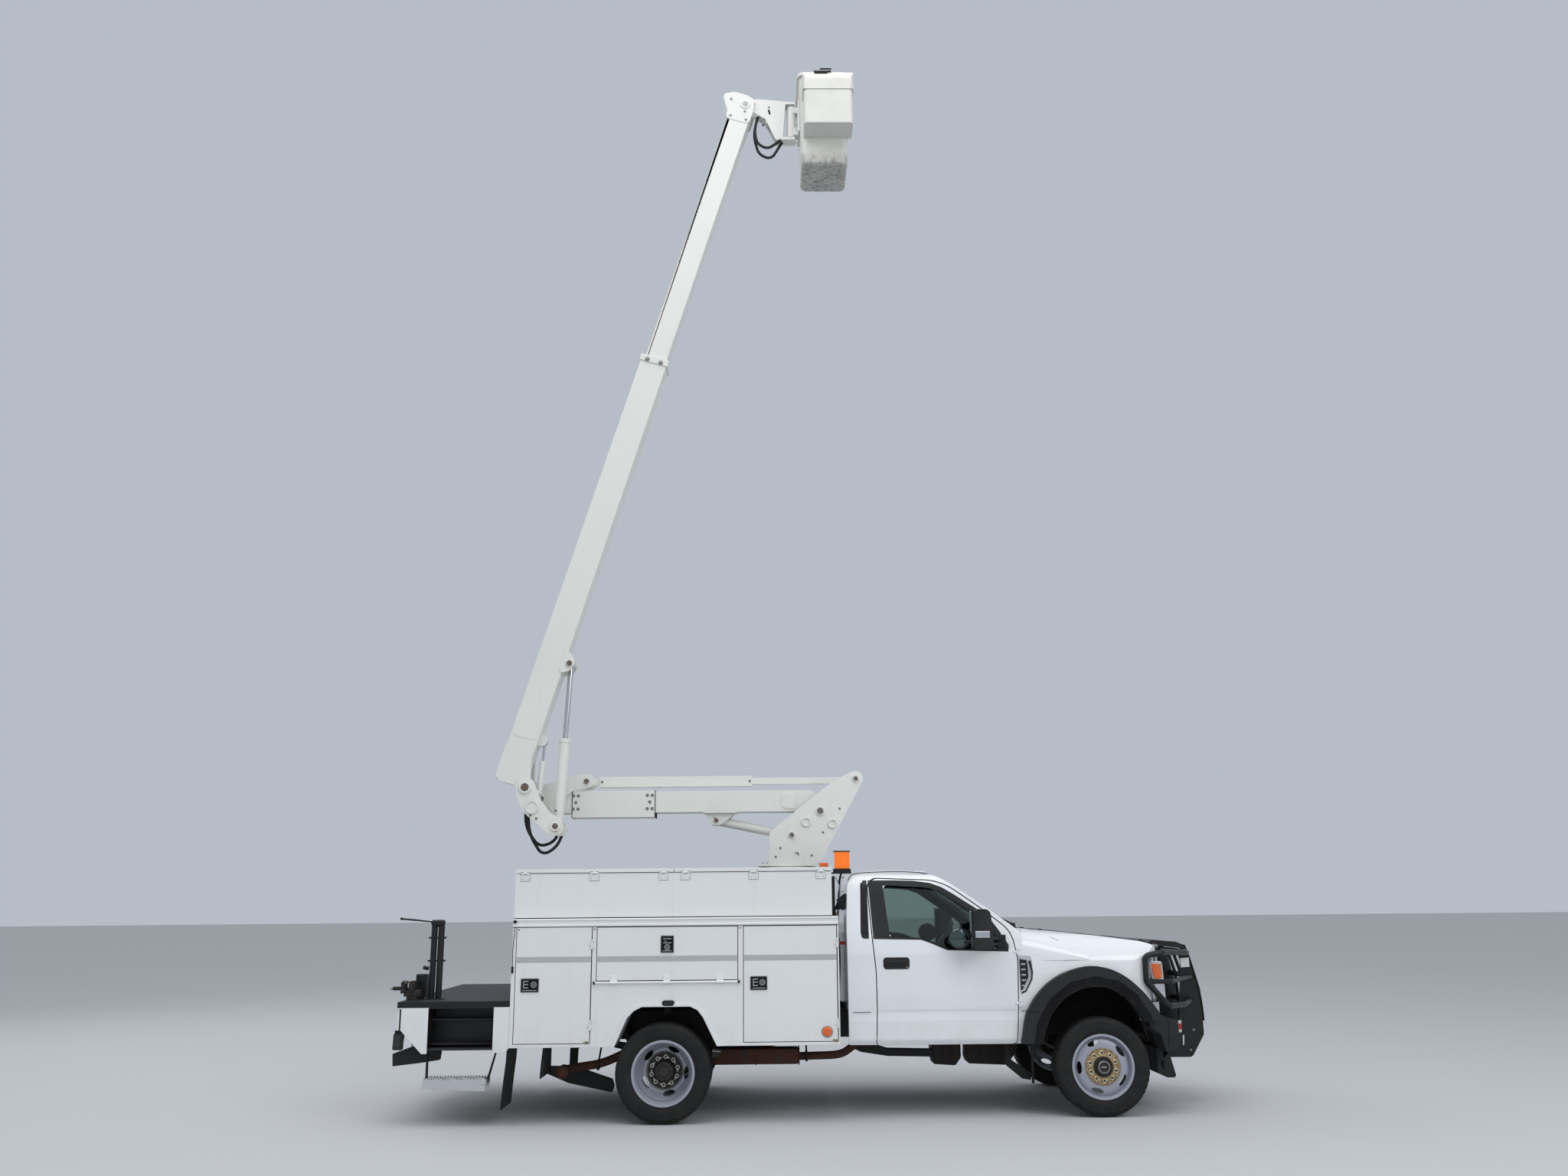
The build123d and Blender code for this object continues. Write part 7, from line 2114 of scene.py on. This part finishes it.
class TRUCK_OT_stage(bpy.types.Operator):
    """Floor, soft light and the camera at the photograph's viewing angle"""

    bl_idname = "truck.stage"
    bl_label = "Stage"

    def execute(self, context):
        s = settings("stage")
        scene = context.scene
        scene.view_settings.view_transform = "Standard"
        mesh = bmesh.new()
        bmesh.ops.create_grid(mesh, x_segments=1, y_segments=1, size=120)
        data = bpy.data.meshes.new("floor")
        mesh.to_mesh(data)
        mesh.free()
        floor = bpy.data.objects.new("floor", data)
        scene.collection.objects.link(floor)
        floor.location = (0, 0, -0.002)
        look = Look("Stage floor", roughness=0.9, specular_ior_level=0.1)
        worn = tuple(c * 0.97 for c in s.floor)
        look.feed("Base Color", look.mix(look.noise(0.6, 4), tuple(s.floor), worn))
        data.materials.append(look.material)
        self.world(scene, s)
        self.lamps(scene)
        self.camera(scene, s)
        return {"FINISHED"}

    def world(self, scene, s):
        world = bpy.data.worlds.new("Studio")
        scene.world = world
        world.use_nodes = True
        tree = world.node_tree
        tree.nodes.clear()
        output = tree.nodes.new("ShaderNodeOutputWorld")
        rays = tree.nodes.new("ShaderNodeLightPath")
        seen = tree.nodes.new("ShaderNodeBackground")
        seen.inputs["Color"].default_value = (*s.backdrop, 1)
        light = tree.nodes.new("ShaderNodeBackground")
        light.inputs["Color"].default_value = (0.90, 0.95, 1.0, 1)
        light.inputs["Strength"].default_value = s.sky
        first = tree.nodes.new("ShaderNodeMath")
        first.operation = "MAXIMUM"
        second = tree.nodes.new("ShaderNodeMath")
        second.operation = "MAXIMUM"
        mix = tree.nodes.new("ShaderNodeMixShader")
        tree.links.new(rays.outputs["Is Camera Ray"], first.inputs[0])
        tree.links.new(rays.outputs["Is Glossy Ray"], first.inputs[1])
        tree.links.new(first.outputs[0], second.inputs[0])
        tree.links.new(rays.outputs["Is Transmission Ray"], second.inputs[1])
        tree.links.new(second.outputs[0], mix.inputs[0])
        tree.links.new(light.outputs[0], mix.inputs[1])
        tree.links.new(seen.outputs[0], mix.inputs[2])
        tree.links.new(mix.outputs[0], output.inputs["Surface"])

    def lamps(self, scene):
        for name, place, target, size, power in (
            ("overhead", (-2, -5, 16), (0, 0, 2), 14, 1050),
            ("front", (9, -11, 9), (0, 0, 2), 8, 520),
            ("rear", (-11, 7, 10), (0, 0, 3), 8, 300),
        ):
            lamp = bpy.data.lights.new(name, "AREA")
            lamp.shape = "DISK"
            lamp.size = size
            lamp.energy = power
            thing = bpy.data.objects.new(name, lamp)
            scene.collection.objects.link(thing)
            thing.location = place
            way = Vector(target) - Vector(place)
            thing.rotation_euler = way.to_track_quat("-Z", "Y").to_euler()

    def camera(self, scene, s):
        data = bpy.data.cameras.new("camera")
        data.sensor_fit = "HORIZONTAL"
        data.sensor_width = 36
        data.lens = s.lens
        data.clip_start = 0.1
        data.clip_end = 400
        camera = bpy.data.objects.new("camera", data)
        scene.collection.objects.link(camera)
        yaw, pitch, roll = s.camera_yaw, s.camera_pitch, s.camera_roll
        level = Vector((math.sin(yaw), math.cos(yaw), 0))
        right = Vector((math.cos(yaw), -math.sin(yaw), 0))
        up = Vector((0, 0, 1))
        ahead = level * math.cos(pitch) + up * math.sin(pitch)
        over = up * math.cos(pitch) - level * math.sin(pitch)
        side = right * math.cos(roll) + over * math.sin(roll)
        over = over * math.cos(roll) - right * math.sin(roll)
        turn = Matrix((side, over, -ahead)).transposed().to_4x4()
        camera.matrix_world = Matrix.Translation(s.camera_place) @ turn
        scene.camera = camera


class TruckWheelSettings(bpy.types.PropertyGroup):
    tread_pitches: bpy.props.IntProperty(
        name="Tread pitches", description="Tread blocks round one tyre", default=46, min=20, max=90
    )
    tread_depth: bpy.props.FloatProperty(
        name="Tread depth", description="Height of the tread blocks", default=0.011, unit="LENGTH"
    )


class TruckCabSettings(bpy.types.PropertyGroup):
    paint: bpy.props.FloatVectorProperty(
        name="Cab paint", description="Colour of the cab and nose", subtype="COLOR",
        default=(0.775, 0.795, 0.82), min=0, max=1,
    )


class TruckBodySettings(bpy.types.PropertyGroup):
    paint: bpy.props.FloatVectorProperty(
        name="Body paint", description="Colour of the service body", subtype="COLOR",
        default=(0.755, 0.765, 0.765), min=0, max=1,
    )
    tape_low: bpy.props.FloatProperty(
        name="Tape bottom", description="Height of the side tape's lower edge", default=1.292,
        unit="LENGTH",
    )
    tape_high: bpy.props.FloatProperty(
        name="Tape top", description="Height of the side tape's upper edge", default=1.338,
        unit="LENGTH",
    )


class TruckStageSettings(bpy.types.PropertyGroup):
    floor: bpy.props.FloatVectorProperty(
        name="Floor", description="Colour of the floor", subtype="COLOR",
        default=(0.50, 0.51, 0.53), min=0, max=1,
    )
    backdrop: bpy.props.FloatVectorProperty(
        name="Backdrop", description="Colour behind the truck", subtype="COLOR",
        default=(0.47, 0.51, 0.57), min=0, max=1,
    )
    sky: bpy.props.FloatProperty(
        name="Sky light", description="Strength of the even light", default=0.70
    )
    lens: bpy.props.FloatProperty(
        name="Lens", description="Focal length in millimetres", default=29.62
    )
    camera_place: bpy.props.FloatVectorProperty(
        name="Camera place", description="Where the camera stands",
        default=(-0.431, -12.505, 1.779), unit="LENGTH",
    )
    camera_yaw: bpy.props.FloatProperty(
        name="Yaw", description="Turn to the right", default=math.radians(0.96), unit="ROTATION"
    )
    camera_pitch: bpy.props.FloatProperty(
        name="Pitch", description="Tilt upwards", default=math.radians(13.63), unit="ROTATION"
    )
    camera_roll: bpy.props.FloatProperty(
        name="Roll", description="Tilt to the side", default=math.radians(-0.52), unit="ROTATION"
    )


OPERATORS = (
    TRUCK_OT_stage, TRUCK_OT_wheels, TRUCK_OT_cab, TRUCK_OT_nose, TRUCK_OT_body, TRUCK_OT_tail,
    TRUCK_OT_underside, TRUCK_OT_lift, TRUCK_OT_platform, TRUCK_OT_fittings,
)
GROUPS = {
    "wheels": TruckWheelSettings, "cab": TruckCabSettings, "body": TruckBodySettings,
    "stage": TruckStageSettings,
}


class TRUCK_PT_panel(bpy.types.Panel):
    """Lists the truck's pieces and their settings"""

    bl_label = "Bucket truck"
    bl_idname = "TRUCK_PT_panel"
    bl_space_type = "VIEW_3D"
    bl_region_type = "UI"
    bl_category = "Truck"

    def draw(self, context):
        for operator in OPERATORS:
            self.layout.operator(operator.bl_idname)
        for group, kind in GROUPS.items():
            for name in kind.__annotations__:
                self.layout.prop(getattr(context.scene, "truck_" + group), name)


def register():
    for kind in (*GROUPS.values(), *OPERATORS, TRUCK_PT_panel):
        bpy.utils.register_class(kind)
    for group, kind in GROUPS.items():
        setattr(bpy.types.Scene, "truck_" + group, bpy.props.PointerProperty(type=kind))


def unregister():
    for group in GROUPS:
        delattr(bpy.types.Scene, "truck_" + group)
    for kind in reversed((*GROUPS.values(), *OPERATORS, TRUCK_PT_panel)):
        bpy.utils.unregister_class(kind)


def main():
    register()
    for operator in OPERATORS:
        name = operator.bl_idname.split(".")[1]
        getattr(bpy.ops.truck, name)()


if __name__ == "__main__":
    main()
